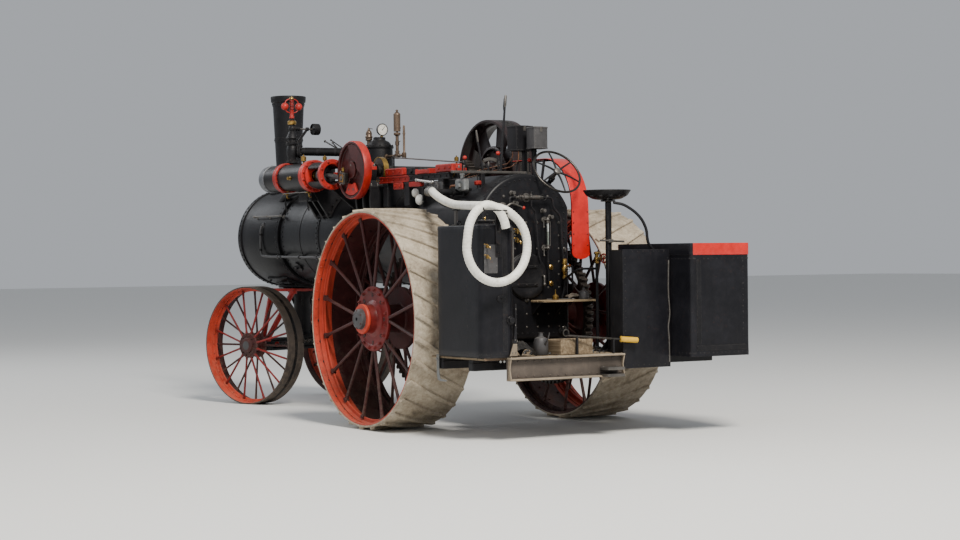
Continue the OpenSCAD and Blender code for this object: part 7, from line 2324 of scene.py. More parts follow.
    # oil and tallow boxes: folded sheet with hinged lids, knobs, feeds
    g = G("sheet")
    def can(x0, x1, y0, y1, z0, z1, mat, knob):
        g.mat(mat)
        pts = rrect(x0 + 0.004, x1 - 0.004, y0 + 0.004, y1 - 0.004, 0.016)
        g.ext(pts, "z", z0, z1 - 0.016, 0.004)
        g.ext(rrect(x0, x1, y0, y1, 0.018), "z", z1 - 0.020, z1 - 0.004, 0.004)
        g.ext(rrect(x0 + 0.03, x1 - 0.03, y0 + 0.03, y1 - 0.03, 0.012), "z", z1 - 0.005, z1, 0.002)
        g.ext(rrect(x0 + 0.001, x1 - 0.001, y0 + 0.001, y1 - 0.001, 0.017), "z", z0, z0 + 0.010, 0.002)
        for i in range(5):
            zz = z0 + 0.03 + (z1 - z0 - 0.07) * i / 4
            g.rivet((x0 + 0.004, y0 + 0.022, zz), -X, 0.0045, 6)
            g.rivet((x0 + 0.004, y1 - 0.022, zz), -X, 0.0045, 6)
        g.mat("worn")
        # hinge and hasp
        g.cyl((x1 - 0.004, y0 + 0.03, z1 - 0.022), (x1 - 0.004, y1 - 0.03, z1 - 0.022), 0.004, 8)
        g.box(x0 - 0.0005, x0 + 0.004, (y0 + y1) / 2 - 0.012, (y0 + y1) / 2 + 0.012, z1 - 0.05, z1 - 0.008, 0.0005)
    can(-0.360, -0.200, -0.280, -0.080, 2.450, 2.680, "sheet", 0.02)
    can(-0.565, -0.425, -0.300, -0.142, 2.460, 2.660, "grey", 0.02)
    g.mat("sheet")
    for xa, xb, zt in ((-0.310, -0.270, 2.452), (-0.468, -0.428, 2.462)):
        g.box(xa + 0.002, xb - 0.002, -0.238, -0.202, 2.092, zt, 0.004)
        g.box(xa, xb, -0.240, -0.200, 2.435, 2.450, 0.003)
        g.box(xa, xb, -0.240, -0.200, 2.100, 2.112, 0.003)
    g.mat("copper")
    g.run([(-0.25, -0.12, 2.455), (-0.25, -0.12, 2.40), (-0.20, -0.10, 2.34), (0.30, -0.06, 2.29), (0.48, -0.05, 2.25)], 0.0045, 8, 0.03)
    g.run([(-0.33, -0.13, 2.455), (-0.33, -0.13, 2.36), (-0.25, -0.11, 2.31), (0.20, -0.08, 2.27), (0.46, -0.07, 2.235)], 0.0045, 8, 0.03)
    g.make("oil_box_cans", "chassis", ("oil_boxes",))
controls()

# ------------------------------------------------------------------ tanks and bunker
def fine_outline(x0, x1, y0, y1, r, step=0.045):
    """Rounded rectangle with points all along its sides; each point comes with its outward direction."""
    out = []
    for cx, cy, a in ((x1 - r, y1 - r, 0), (x0 + r, y1 - r, 90), (x0 + r, y0 + r, 180), (x1 - r, y0 + r, 270)):
        for i in range(7):
            t = math.radians(a + 15 * i)
            out.append(((cx + r * math.cos(t), cy + r * math.sin(t)), (math.cos(t), math.sin(t))))
        # straight run to the next corner
        nxt = {0: ((x0 + r, y1), (0, 1)), 90: ((x0, y0 + r), (-1, 0)), 180: ((x1 - r, y0), (0, -1)), 270: ((x1, y1 - r), (1, 0))}[a]
        p = out[-1][0]
        L = math.hypot(nxt[0][0] - p[0], nxt[0][1] - p[1])
        k = max(1, int(L / step))
        for i in range(1, k):
            out.append(((p[0] + (nxt[0][0] - p[0]) * i / k, p[1] + (nxt[0][1] - p[1]) * i / k), nxt[1]))
    return out

def dent(x, y, z, k):
    """Smooth uneven inward push of thin plate, 0..1."""
    a = math.sin(5.1 * x + 1.7 * k) * math.sin(4.3 * y + 2.2 * k + 1.0) * math.sin(3.9 * z + 0.6 * k)
    b = math.sin(13.0 * x + k) * math.sin(11.0 * y - k) * math.sin(9.0 * z + 2 * k)
    return min(1.0, max(0.0, 0.5 + 0.55 * a + 0.25 * b))

def plate_shell(g, x0, x1, y0, y1, r, z0, z1, deep, seed, nz=22, round_top=0.012, top=True):
    pts = fine_outline(x0, x1, y0, y1, r)
    n = len(pts)
    rows = []
    zs = [z0 + 0.0] + [z0 + round_top * 0.3, z0 + round_top] + [z0 + round_top + (z1 - z0 - 2 * round_top) * i / nz for i in range(1, nz)] + [z1 - round_top, z1 - round_top * 0.3, z1]
    vs, F = [], []
    for z in zs:
        e = min(z - z0, z1 - z)
        inset = round_top * (1 - math.sqrt(max(0.0, 1 - (1 - min(1.0, e / round_top)) ** 2)))
        fade = min(1.0, e / 0.14)
        row = []
        for (px, py), (nx, ny) in pts:
            d = inset + deep * fade * dent(px, py, z, seed)
            row.append(len(vs))
            vs.append((px - nx * d, py - ny * d, z))
        rows.append(row)
    for a, b in zip(rows, rows[1:]):
        for i in range(n):
            j = (i + 1) % n
            F.append((a[i], a[j], b[j], b[i]))
    F.append(tuple(rows[0][::-1]))
    if top:
        F.append(tuple(rows[-1]))
    g.add(vs, F)
    return pts

def left_tank():
    X, Y, Z = Vector((1, 0, 0)), Vector((0, 1, 0)), Vector((0, 0, 1))
    x0, x1, y0, y1, z0, z1 = -1.860, -1.105, 0.895, 1.215, 0.690, 1.760
    g = G("tank")
    plate_shell(g, x0, x1, y0, y1, 0.080, z0, z1, 0.0035, 1.0)
    # rivet rows: top and bottom seams all round, one vertical seam on each face
    def rows(z, pitch, r, dd):
        pts = fine_outline(x0, x1, y0, y1, 0.080, pitch)
        for (px, py), (nx, ny) in pts:
            g.rivet((px - nx * dd, py - ny * dd, z), (nx, ny, 0), r, 8)
    rows(z1 - 0.028, 0.042, 0.0062, 0.0035)
    rows(z0 + 0.028, 0.042, 0.0062, 0.0035)
    for z in [z0 + 0.07 + 0.046 * i for i in range(21)]:
        g.rivet((x0 + 0.0035, y0 + 0.105, z), -X, 0.0062, 8)
        g.rivet((x0 + 0.24, y1 - 0.0035, z), Y, 0.0062, 8)
        g.rivet((x0 + 0.24, y0 + 0.0035, z), -Y, 0.0062, 8)
        g.rivet((x1 - 0.0035, y0 + 0.105, z), X, 0.0062, 8)
    # angle-iron foot
    g.mat("sheet")
    g.ext(rrect(x0 + 0.001, x1 - 0.001, y0 + 0.001, y1 - 0.001, 0.079), "z", z0, z0 + 0.012, 0.002)
    # lap strip on the face that the vertical rivets hold
    g.box(x0 + 0.0005, x0 + 0.004, y0 + 0.085, y0 + 0.128, z0 + 0.05, z1 - 0.05, 0.001)
    # filler neck and hinge ears
    g.mat("tank")
    g.lathe([(0.090, z1 - 0.002), (0.094, z1), (0.094, z1 + 0.006), (0.090, z1 + 0.008), (0.068, z1 + 0.009), (0.0655, z1 + 0.012), (0.0655, 1.783), (0.063, 1.786), (0.058, 1.786), (0.056, 1.783), (0.056, 1.70), (0.0, 1.699)], (-1.560, 1.000, 0), Z, 48)
    g.bolt_ring((-1.56, 1.0, z1 + 0.008), Z, 0.080, 8, 0.006, 0.005, stud=False)
    for x in (-1.604, -1.534):
        pts = [(0.899, z1 - 0.002), (0.917, z1 - 0.002), (0.917, 1.798), (0.913, 1.805), (0.903, 1.805), (0.899, 1.798)]
        g.ext(pts, "x", x, x + 0.018, 0.0015)
    # lifting eye and vent at the far end of the top
    g.ring((-1.25, 1.055, z1 + 0.022), X, 0.012, 0.022, -0.006, 0.006, 24)
    g.lathe([(0.030, z1), (0.030, z1 + 0.005), (0.012, z1 + 0.006), (0.012, z1 + 0.001)], (-1.25, 1.055, 0), Z, 20)
    # patch plate, tap and water-level cock on the rear face
    g.mat("grey")
    g.ext(rrect(1.070, 1.196, 1.370, 1.600, 0.010), "x", x0 - 0.004, x0 + 0.003, 0.0015)
    for y in (1.080, 1.133, 1.186):
        for z in (1.380, 1.590):
            g.rivet((x0 - 0.004, y, z), -X, 0.005, 7)
    for z in (1.43, 1.485, 1.54):
        for y in (1.080, 1.186):
            g.rivet((x0 - 0.004, y, z), -X, 0.005, 7)
    g.cock((x0 - 0.004, 1.175, 1.585), -X, Z, k=0.62, lever=0.05)
    g.cock((x0 - 0.004, 1.175, 1.500), -X, Z, k=0.62, lever=0.05)
    # bright strip and rod down the face
    g.mat("worn")
    g.tube(spline([(x0 - 0.012, 0.932, 1.735), (x0 - 0.014, 0.930, 1.60), (x0 - 0.012, 0.932, 1.345)], 5), 0.0075, 10)
    g.mat("worn")
    for z in (1.70, 1.37):
        g.box(x0 - 0.024, x0 + 0.004, 0.920, 0.944, z - 0.008, z + 0.008, 0.003)
    # plain oval pad with one bolt
    g.mat("sheet")
    g.ext(oval(0.042, 0.030, 28, 1.035, 1.165), "x", x0 - 0.006, x0 + 0.003, 0.002)
    g.bolt((x0 - 0.006, 1.035, 1.165), -X, 0.009, 0.006)
    # pale strap with a foot that hangs below the outer corner, and two bolts beside it
    g.mat("galv")
    g.ext([(-1.112, 0.700), (-1.150, 0.700), (-1.146, 0.560), (-1.156, 0.512), (-1.180, 0.498), (-1.262, 0.492), (-1.264, 0.480), (-1.170, 0.478), (-1.126, 0.490), (-1.114, 0.540)], "y", 1.196, 1.207, 0.002)
    g.bolt((-1.130, 1.207, 0.665), Y, 0.010, 0.008)
    for y in (1.020, 1.055):
        g.hexa((x0 - 0.002, y, 0.660), -X, 0.010, 0.010)
    # suction strainer cap and drain with its foot
    g.mat("sheet")
    g.lathe([(0.034, 0.0), (0.034, 0.012), (0.026, 0.016), (0.024, 0.034), (0.015, 0.038), (0, 0.038)], (x0 + 0.002, 0.955, 0.990), -X, 24)
    g.bolt_ring((x0 - 0.010, 0.955, 0.990), -X, 0.029, 6, 0.005, 0.004, stud=False)
    # pale tapered stay from the tank's face down to the beam
    g.mat("sheet")
    g.ext([(0.902, 1.120), (0.914, 1.120), (0.920, 0.900), (0.934, 0.8005), (0.900, 0.8005), (0.902, 0.860)], "x", x0 - 0.016, x0 - 0.001, 0.003)
    g.mat("tan")
    g.ext([(0.900, 0.800), (0.934, 0.800), (0.968, 0.700), (0.896, 0.700)], "x", x0 - 0.016, x0 - 0.001, 0.003)
    g.mat("worn")
    for y, z in ((0.910, 1.08), (0.914, 0.95), (0.917, 0.83), (0.915, 0.73), (0.945, 0.73)):
        g.rivet((x0 - 0.016, y, z), -X, 0.006, 8)
    g.make("left_tank_plates", "chassis", ("left_tank",))

    g = G("sheet")
    g.lathe([(0, 1.7885), (0.070, 1.7885), (0.0738, 1.790), (0.074, 1.795), (0.071, 1.798), (0.030, 1.802), (0, 1.803)], (-1.56, 1.0, 0), Z, 48)
    g.mat("worn")
    g.box(-1.582, -1.538, 0.905, 1.050, 1.797, 1.804, 0.002)
    g.cyl((-1.612, 0.908, 1.796), (-1.508, 0.908, 1.796), 0.0055, 12)
    for x in (-1.612, -1.508):
        g.sphere((x, 0.908, 1.796), 0.0075, 10, 6)
    for y in (0.955, 1.030):
        g.rivet((-1.56, y, 1.804), Z, 0.006, 8)
    g.mat("brass")
    g.lathe([(0.008, 1.802), (0.006, 1.808), (0.010, 1.813), (0.012, 1.819), (0.009, 1.825), (0, 1.826)], (-1.56, 1.0, 0), Z, 20)
    g.make("filler_lid_disc", "filler_lid", ("tank_lid",))

def open_bin(g, x0, x1, y0, y1, z0, z1, wall, r, out_mat, in_mat, deep, seed, floor_z, nz=16):
    """Open plate bin: dented outside, plain inside, rolled lip."""
    pts = fine_outline(x0, x1, y0, y1, r)
    n = len(pts)
    vs, F = [], []
    rows = []
    zs = [z0 + (z1 - z0) * i / nz for i in range(nz + 1)]
    for z in zs:
        e = min(z - z0, z1 - z)
        fade = min(1.0, e / 0.12)
        row = []
        for (px, py), (nx, ny) in pts:
            d = deep * fade * dent(px, py, z, seed)
            row.append(len(vs))
            vs.append((px - nx * d, py - ny * d, z))
        rows.append(row)
    for a, b in zip(rows, rows[1:]):
        for i in range(n):
            j = (i + 1) % n
            F.append((a[i], a[j], b[j], b[i]))
    F.append(tuple(rows[0][::-1]))
    g.mat(out_mat)
    base = len(vs)
    top = rows[-1]
    for z in (z1, floor_z):
        for (px, py), (nx, ny) in pts:
            vs.append((px - nx * wall, py - ny * wall, z))
    lip = [(top[i], top[(i + 1) % n], base + (i + 1) % n, base + i) for i in range(n)]
    F += lip
    g.add(vs, F)
    vs2 = [vs[base + i] for i in range(2 * n)]
    F2 = [(i, (i + 1) % n, n + (i + 1) % n, n + i) for i in range(n)] + [tuple(range(n, 2 * n))]
    g.mat(in_mat)
    g.add(vs2, F2)
    return pts

def lumps(g, x0, x1, y0, y1, zf, k, r0, r1, seed):
    """Heap of broken coal: faceted lumps of many sizes on an uneven bed."""
    q = random.Random(seed)
    nx, ny = 14, 20
    vs, F = [], []
    for i in range(nx + 1):
        for j in range(ny + 1):
            x, y = x0 + (x1 - x0) * i / nx, y0 + (y1 - y0) * j / ny
            e = min(i, nx - i, 3) / 3 * min(j, ny - j, 3) / 3
            vs.append((x, y, zf(x, y) - 0.02 + (q.random() - 0.5) * 0.018 * (1 if e else 0)))
    for i in range(nx):
        for j in range(ny):
            a = i * (ny + 1) + j
            F.append((a, a + ny + 1, a + ny + 2, a + 1))
    g.add(vs, F)
    for _ in range(k):
        r = r0 + (r1 - r0) * q.random() ** 1.6
        x, y = x0 + r + (x1 - x0 - 2 * r) * q.random(), y0 + r + (y1 - y0 - 2 * r) * q.random()
        c = Vector((x, y, zf(x, y) + r * (q.random() * 0.7 - 0.25)))
        rot = Quaternion((q.gauss(0, 1), q.gauss(0, 1), q.gauss(0, 1), q.gauss(0, 1))).normalized()
        sx, sy, sz = 0.7 + 0.45 * q.random(), 0.65 + 0.4 * q.random(), 0.5 + 0.4 * q.random()
        bv = []
        for u in ((1, 0, 0), (-1, 0, 0), (0, 1, 0), (0, -1, 0), (0, 0, 1), (0, 0, -1), (.6, .6, .6), (-.6, .6, .6), (.6, -.6, .6), (-.6, -.6, .6), (.6, .6, -.6), (-.6, .6, -.6), (.6, -.6, -.6), (-.6, -.6, -.6)):
            w = Vector((u[0] * sx, u[1] * sy, u[2] * sz)) * r * (0.8 + 0.35 * q.random())
            bv.append(c + rot @ w)
        g.add(bv, [(0, 6, 8), (0, 8, 12), (0, 12, 10), (0, 10, 6), (1, 9, 7), (1, 13, 9), (1, 11, 13), (1, 7, 11), (2, 7, 6), (2, 11, 7), (2, 10, 11), (2, 6, 10), (3, 8, 9), (3, 12, 8), (3, 13, 12), (3, 9, 13), (4, 6, 7), (4, 7, 9), (4, 9, 8), (4, 8, 6), (5, 11, 10), (5, 13, 11), (5, 12, 13), (5, 10, 12)])

def right_tank():
    X, Y, Z = Vector((1, 0, 0)), Vector((0, 1, 0)), Vector((0, 0, 1))
    x0, x1, y0, y1 = -2.170, -1.105, -1.268, -0.644
    g = G("tank")
    open_bin(g, x0, x1, y0, y1, 0.650, 1.598, 0.010, 0.040, "tank", "rusty", 0.004, 2.0, 0.665)
    # rim band: angle rolled round the top, with its rivets
    g.mat("red_sheet")
    pts = fine_outline(x0 - 0.004, x1 + 0.004, y0 - 0.004, y1 + 0.0037, 0.044)
    n = len(pts)
    vs, F = [], []
    prof = [(0.006, 1.500), (0.001, 1.502), (0.0, 1.506), (0.0, 1.594), (0.002, 1.599), (0.008, 1.600), (0.016, 1.600), (0.018, 1.597), (0.018, 1.590)]
    for d, z in prof:
        for (px, py), (nx, ny) in pts:
            vs.append((px - nx * d, py - ny * d, z))
    FD = []
    for k in range(len(prof) - 1):
        for i in range(n):
            j = (i + 1) % n
            # the band's inner side, towards the footplate, is left black as painted shade
            dark = pts[i][1][1] > 0.5 or pts[j][1][1] > 0.5
            (FD if dark else F).append((k * n + i, k * n + j, (k + 1) * n + j, (k + 1) * n + i))
    g.add(vs, F)
    g.mat("tank")
    g.add(vs, FD)
    g.mat("red_sheet")
    for (px, py), (nx, ny) in fine_outline(x0 - 0.004, x1 + 0.004, y0 - 0.004, y1 + 0.0037, 0.044, 0.075):
        g.rivet((px - nx * 0.0042, py - ny * 0.0042, 1.520), (nx, ny, 0), 0.0055, 7)
    g.mat("tank")
    def rows(z, pitch, r):
        for (px, py), (nx, ny) in fine_outline(x0, x1, y0, y1, 0.040, pitch):
            g.rivet((px - nx * 0.003, py - ny * 0.003, z), (nx, ny, 0), r, 7)
    rows(1.470, 0.045, 0.0058)
    rows(0.680, 0.045, 0.0058)
    for z in [0.73 + 0.048 * i for i in range(16)]:
        g.rivet((x0 + 0.0037, -0.720, z), -X, 0.0058, 7)
        g.rivet((x0 + 0.0037, -1.192, z), -X, 0.0058, 7)
        g.rivet((-1.64, y0 + 0.003, z), -Y, 0.0058, 7)
        g.rivet((-1.18, y0 + 0.003, z), -Y, 0.0058, 7)
        g.rivet((-2.09, y0 + 0.003, z), -Y, 0.0058, 7)
    # stiffening angle low down, and lap straps
    g.mat("sheet")
    g.box(x0 - 0.003, x0 + 0.004, y0 + 0.05, y1 - 0.05, 0.700, 0.742, 0.0015)
    g.box(x0 - 0.001, x0 + 0.006, -0.742, -0.700, 0.760, 1.46, 0.0015)
    g.box(-1.662, -1.618, y0 - 0.001, y0 + 0.006, 0.74, 1.46, 0.0015)
    # drain cock at the lower rear corner, hand hole cover on the outer face
    g.mat("sheet")
    g.ext(oval(0.105, 0.070, 36, -1.40, 1.02), "y", y0 - 0.004, y0 + 0.004, 0.0015)
    for i in range(12):
        t = math.radians(30 * i)
        g.rivet((-1.40 + 0.090 * math.cos(t), y0 - 0.0035, 1.02 + 0.056 * math.sin(t)), -Y, 0.004, 7)
    # cross stays inside, a plank and dirt on the floor
    g.mat("rusty")
    for x in (-1.90, -1.50):
        g.cyl((x, y0 + 0.010, 1.40), (x, y1 - 0.010, 1.40), 0.010, 12)
    g.mat("coal")
    lumps(g, x0 + 0.012, x1 - 0.012, y0 + 0.012, y1 - 0.012, lambda x, y: 1.16 + 0.10 * math.sin(3 * x + 1) * math.sin(5 * y) - 0.14 * ((x + 1.64) / 0.53) ** 2, 420, 0.018, 0.060, 31)
    g.make("right_tank_plates", "chassis", ("right_tank",))

    # bunker between tank and footplate
    g = G("sheet")
    bx0, bx1, by0, by1 = -1.868, -1.680, -0.640, -0.152
    open_bin(g, bx0, bx1, by0, by1, 0.690, 1.550, 0.008, 0.012, "sheet", "rusty", 0.0025, 3.0, 0.705)
    g.mat("tank")
    g.box(-1.876, -1.8682, by0, by1, 0.560, 1.552, 0.0015)
    # worn and bent strip along its outer edge
    g.mat("worn")
    g.tube(spline([(-1.877, by0 + 0.012, 0.60), (-1.881, by0 + 0.016, 0.78), (-1.878, by0 + 0.022, 0.90), (-1.884, by0 + 0.010, 1.02), (-1.879, by0 + 0.020, 1.20), (-1.877, by0 + 0.012, 1.46)], 5), 0.0055, 8)
    g.mat("sheet")
    for z in [0.60 + 0.055 * i for i in range(17)]:
        for y in (by0 + 0.022, by1 - 0.022):
            g.rivet((-1.876, y, z), -X, 0.0055, 7)
    for y in [by0 + 0.06 + 0.055 * i for i in range(7)]:
        g.rivet((-1.876, y, 1.535), -X, 0.0055, 7)
        g.rivet((-1.876, y, 0.585), -X, 0.0055, 7)
    g.mat("coal")
    lumps(g, bx0 + 0.009, bx1 - 0.009, by0 + 0.010, by1 - 0.010, lambda x, y: 1.46 + 0.04 * math.sin(9 * y), 120, 0.014, 0.038, 32)
    # grab iron: bent rod on the bunker's inner corner
    g.mat("sheet")
    g.tube(spline([(-1.700, -0.600, 1.545), (-1.690, -0.560, 1.600), (-1.690, -0.545, 1.650), (-1.690, -0.535, 1.720), (-1.680, -0.500, 1.800), (-1.660, -0.440, 1.870), (-1.630, -0.350, 1.930), (-1.600, -0.270, 1.950)], 5), 0.0125, 12)
    g.sphere((-1.600, -0.270, 1.950), 0.0135, 12, 8)
    g.make("bunker_plates", "chassis", ("coal_bunker",))
left_tank()
right_tank()

# ------------------------------------------------------------------ footplate, beam, seat
def platform():
    X, Y, Z = Vector((1, 0, 0)), Vector((0, 1, 0)), Vector((0, 0, 1))
    g = G("plank")
    q = random.Random(5)
    # boards run across the machine, each with its own width, gap and lie
    def boards(x0, x1, y0, y1):
        x = x0
        while x < x1 - 0.02:
            w = min(0.115 + 0.03 * q.random(), x1 - x)
            if x1 - (x + w) < 0.04:
                w = x1 - x
            dz = 0.0035 * q.random()
            g.box(x + 0.002, x + w - 0.002, y0 + 0.004 * q.random(), y1 - 0.004 * q.random(), 0.6705, 0.6895 - dz, 0.003)
            x += w
    boards(-1.840, -0.652, -0.150, 0.640)
    boards(-1.840, -1.000, 0.642, 1.188)
    boards(-1.679, -0.652, -0.638, -0.152)
    g.mat("worn")
    for x in (-1.76, -1.50, -1.22, -0.95, -0.70):
        for y in (-0.58, -0.42, -0.08, 0.24, 0.42, 0.60):
            if y < -0.15 and x < -1.66:
                continue
            g.lathe([(0.0085, 0), (0.0075, 0.0015), (0, 0.002)], (x + 0.012 * q.random(), y, 0.6868), Z, 8)
    # bearers: channels with flanges
    g.mat("sheet")
    for xa, xb, ya, yb in ((-1.839, -0.200, 0.405, 0.450), (-1.679, -0.200, -0.450, -0.405)):
        g.box(xa, xb, ya + 0.014, yb - 0.014, 0.592, 0.6695, 0.002)
        g.box(xa, xb, ya, yb, 0.660, 0.6700, 0.002)
        g.box(xa, xb, ya, yb, 0.590, 0.600, 0.002)
        for i in range(9):
            x = xa + 0.10 + (xb - xa - 0.2) * i / 8
            g.hexa((x, yb - 0.014 if ya > 0 else ya + 0.014, 0.630), Y if ya > 0 else -Y, 0.010, 0.008)
    for xa, xb in ((-1.659, -1.591), (-1.189, -1.121)):
        g.box(xa, xb, -1.262, 1.190, 0.580, 0.649, 0.006)
        g.box(xa, xb, -0.638, 1.188, 0.6495, 0.6700, 0.003)
        for y in (-1.20, -0.95, -0.70, 0.98, 1.14):
            g.mat("worn")
            g.bolt(((xa + xb) / 2, y, 0.5806), -Z, 0.012, 0.0003, stud=False)
            g.mat("sheet")
    # edge angle along the platform's back
    g.mat("rusty")
    g.box(-1.8398, -1.832, -0.148, 1.188, 0.6705, 0.6898, 0.001)
    g.make("platform_boards", "chassis", ("footplate",))

    # loose gear that lies on the boards: ash, rags, tools
    g = G("coal")
    for _ in range(150):
        r = 0.007 + 0.02 * q.random() ** 2
        x, y = -1.74 + 0.75 * q.random(), -0.10 + 0.70 * q.random()
        c = Vector((x, y, 0.6885 + r * 0.45))
        bv = [c + Vector((u[0], u[1], u[2])) * r * (0.7 + 0.5 * q.random()) for u in ((1, 0, 0), (-1, 0, 0), (0, 1, 0), (0, -1, 0), (0, 0, 0.9), (0, 0, -0.5))]
        g.add(bv, [(0, 2, 4), (2, 1, 4), (1, 3, 4), (3, 0, 4), (2, 0, 5), (1, 2, 5), (3, 1, 5), (0, 3, 5)])
    # wooden box with wedges, oil can, spanner, folded sack
    g.mat("plank")
    g.box(-1.79, -1.77, 0.10, 0.42, 0.690, 0.815, 0.003)
    g.box(-1.60, -1.58, 0.10, 0.42, 0.690, 0.815, 0.003)
    g.box(-1.77, -1.60, 0.10, 0.118, 0.690, 0.810, 0.003)
    g.box(-1.77, -1.60, 0.402, 0.42, 0.690, 0.810, 0.003)
    g.box(-1.77, -1.60, 0.118, 0.402, 0.690, 0.702, 0.002)
    g.mat("worn")
    for i in range(5):
        a = Vector((-1.75 + 0.03 * i, 0.14 + 0.04 * i, 0.712 + 0.012 * i))
        g.cyl(a, a + Vector((0.06 + 0.02 * i, 0.18, 0.05)), 0.010 + 0.002 * (i % 3), 10)
    g.mat("grey")
    g.lathe([(0, 0.690), (0.058, 0.690), (0.062, 0.696), (0.062, 0.800), (0.050, 0.828), (0.022, 0.842), (0.018, 0.868), (0.022, 0.874), (0, 0.876)], (-1.66, 0.53, 0), Z, 28)
    g.tube(spline([(-1.72, 0.53, 0.78), (-1.76, 0.53, 0.82), (-1.79, 0.53, 0.875)], 5), [0.009 - 0.0004 * i for i in range(11)], 10)
    g.tube(spline([(-1.60, 0.53, 0.80), (-1.565, 0.53, 0.79), (-1.562, 0.53, 0.74), (-1.60, 0.53, 0.72)], 5), 0.005, 8)
    g.mat("oily")
    # heaped sack: folded cloth
    nx, ny = 18, 18
    vs, F = [], []
    for i in range(nx + 1):
        for j in range(ny + 1):
            u, v = i / nx * 2 - 1, j / ny * 2 - 1
            e = max(0.0, 1 - (abs(u) ** 2.4 + abs(v) ** 2.4) * 0.62)
            h = 0.115 * e ** 0.6 + 0.016 * math.sin(9 * u + 4 * v) * e + 0.010 * math.sin(17 * v - 6 * u) * e
            vs.append((-1.69 + 0.105 * u * (1 + 0.08 * math.sin(5 * v)), 0.80 + 0.135 * v * (1 + 0.07 * math.sin(6 * u)), 0.6895 + max(0.001, h)))
    for i in range(nx):
        for j in range(ny):
            a = i * (ny + 1) + j
            F.append((a, a + 1, a + ny + 2, a + ny + 1))
    g.add(vs, F)
    # long poker with a yellow grip, lying across at the back
    g.mat("oily")
    g.cyl((-1.806, 0.36, 0.848), (-1.902, -0.110, 0.808), 0.0085, 10)
    g.tube(arc_pts((-1.806, 0.378, 0.872), 0.027, 240, 560, 18, ("y", "z")), 0.006, 8)
    g.mat("yellow")
    g.cyl((-1.900, -0.100, 0.809), (-1.932, -0.258, 0.7965), 0.0235, 18, 0.006)
    g.cyl((-1.9005, -0.104, 0.8087), (-1.9025, -0.112, 0.808), 0.0260, 18, 0.001)
    g.mat("sheet")
    # rests that carry the poker
    for y in (0.28, -0.04):
        u = (0.36 - y) / 0.47
        g.box(-1.817 - 0.096 * u, -1.795 - 0.096 * u, y - 0.008, y + 0.008, 0.690, 0.848 - 0.040 * u - 0.007, 0.002)
    g.make("platform_gear", "chassis", ())

    # drawbar: rear cross-beam with flanges, rivets, hitch plates
    g = G("tan")
    g.mat("web")
    g.box(-1.866, -1.842, -0.148, 0.985, 0.512, 0.678, 0.002)
    g.mat("tan")
    g.box(-1.908, -1.840, -0.148, 0.985, 0.500, 0.516, 0.003)
    g.box(-1.908, -1.840, -0.148, 0.985, 0.674, 0.690, 0.003)
    for i in range(15):
        y = -0.12 + 0.0775 * i
        g.mat("web")
        g.rivet((-1.866, y, 0.535), -X, 0.0085, 8)
        g.rivet((-1.866, y, 0.655), -X, 0.0085, 8)
        g.mat("tan")
        g.rivet((-1.890, y, 0.690), Z, 0.0068, 7)
    # end plates
    for y in (-0.140, 0.977):
        g.ext([(-1.904, 0.517), (-1.866, 0.517), (-1.866, 0.673), (-1.904, 0.673), (-1.885, 0.60)], "y", y - 0.005, y + 0.005, 0.0015)
    g.mat("worn")
    for z0 in (0.504, 0.560):
        # flat plate with the pin's hole left open
        n = 28
        outer = []
        for i in range(n):
            t = 2 * math.pi * i / n
            dx, dy = math.cos(t), math.sin(t)
            # ray from the hole's centre to the plate's outline
            k = 1e9
            if dx > 1e-6: k = min(k, 0.082 / dx)
            if dx < -1e-6: k = min(k, 0.040 / -dx)
            if abs(dy) > 1e-6: k = min(k, 0.090 / abs(dy))
            outer.append((-1.950 + dx * k, dy * k))
        vs, F = [], []
        for (zz, inset) in ((z0, 0.002), (z0 + 0.002, 0.0), (z0 + 0.022, 0.0), (z0 + 0.024, 0.002)):
            for x, y in outer:
                s_ = 1 - inset / 0.06
                vs.append((-1.950 + (x + 1.950) * s_, y * s_, zz))
        for zz in (z0 + 0.024, z0):
            for i in range(n):
                t = 2 * math.pi * i / n
                vs.append((-1.950 + 0.0162 * math.cos(t), 0.0162 * math.sin(t), zz))
        order = [0, 1, 2, 3, 4, 5, 0]
        for a, b in zip(order, order[1:]):
            for i in range(n):
                j = (i + 1) % n
                F.append((a * n + i, a * n + j, b * n + j, b * n + i))
        g.add(vs, F)
        for y in (-0.065, 0.065):
            g.rivet((-1.89, y, z0 + 0.024), Z, 0.009, 8)
            g.rivet((-1.89, y, z0), -Z, 0.009, 8)
    g.make("drawbar_beam", "chassis", ("drawbar",))

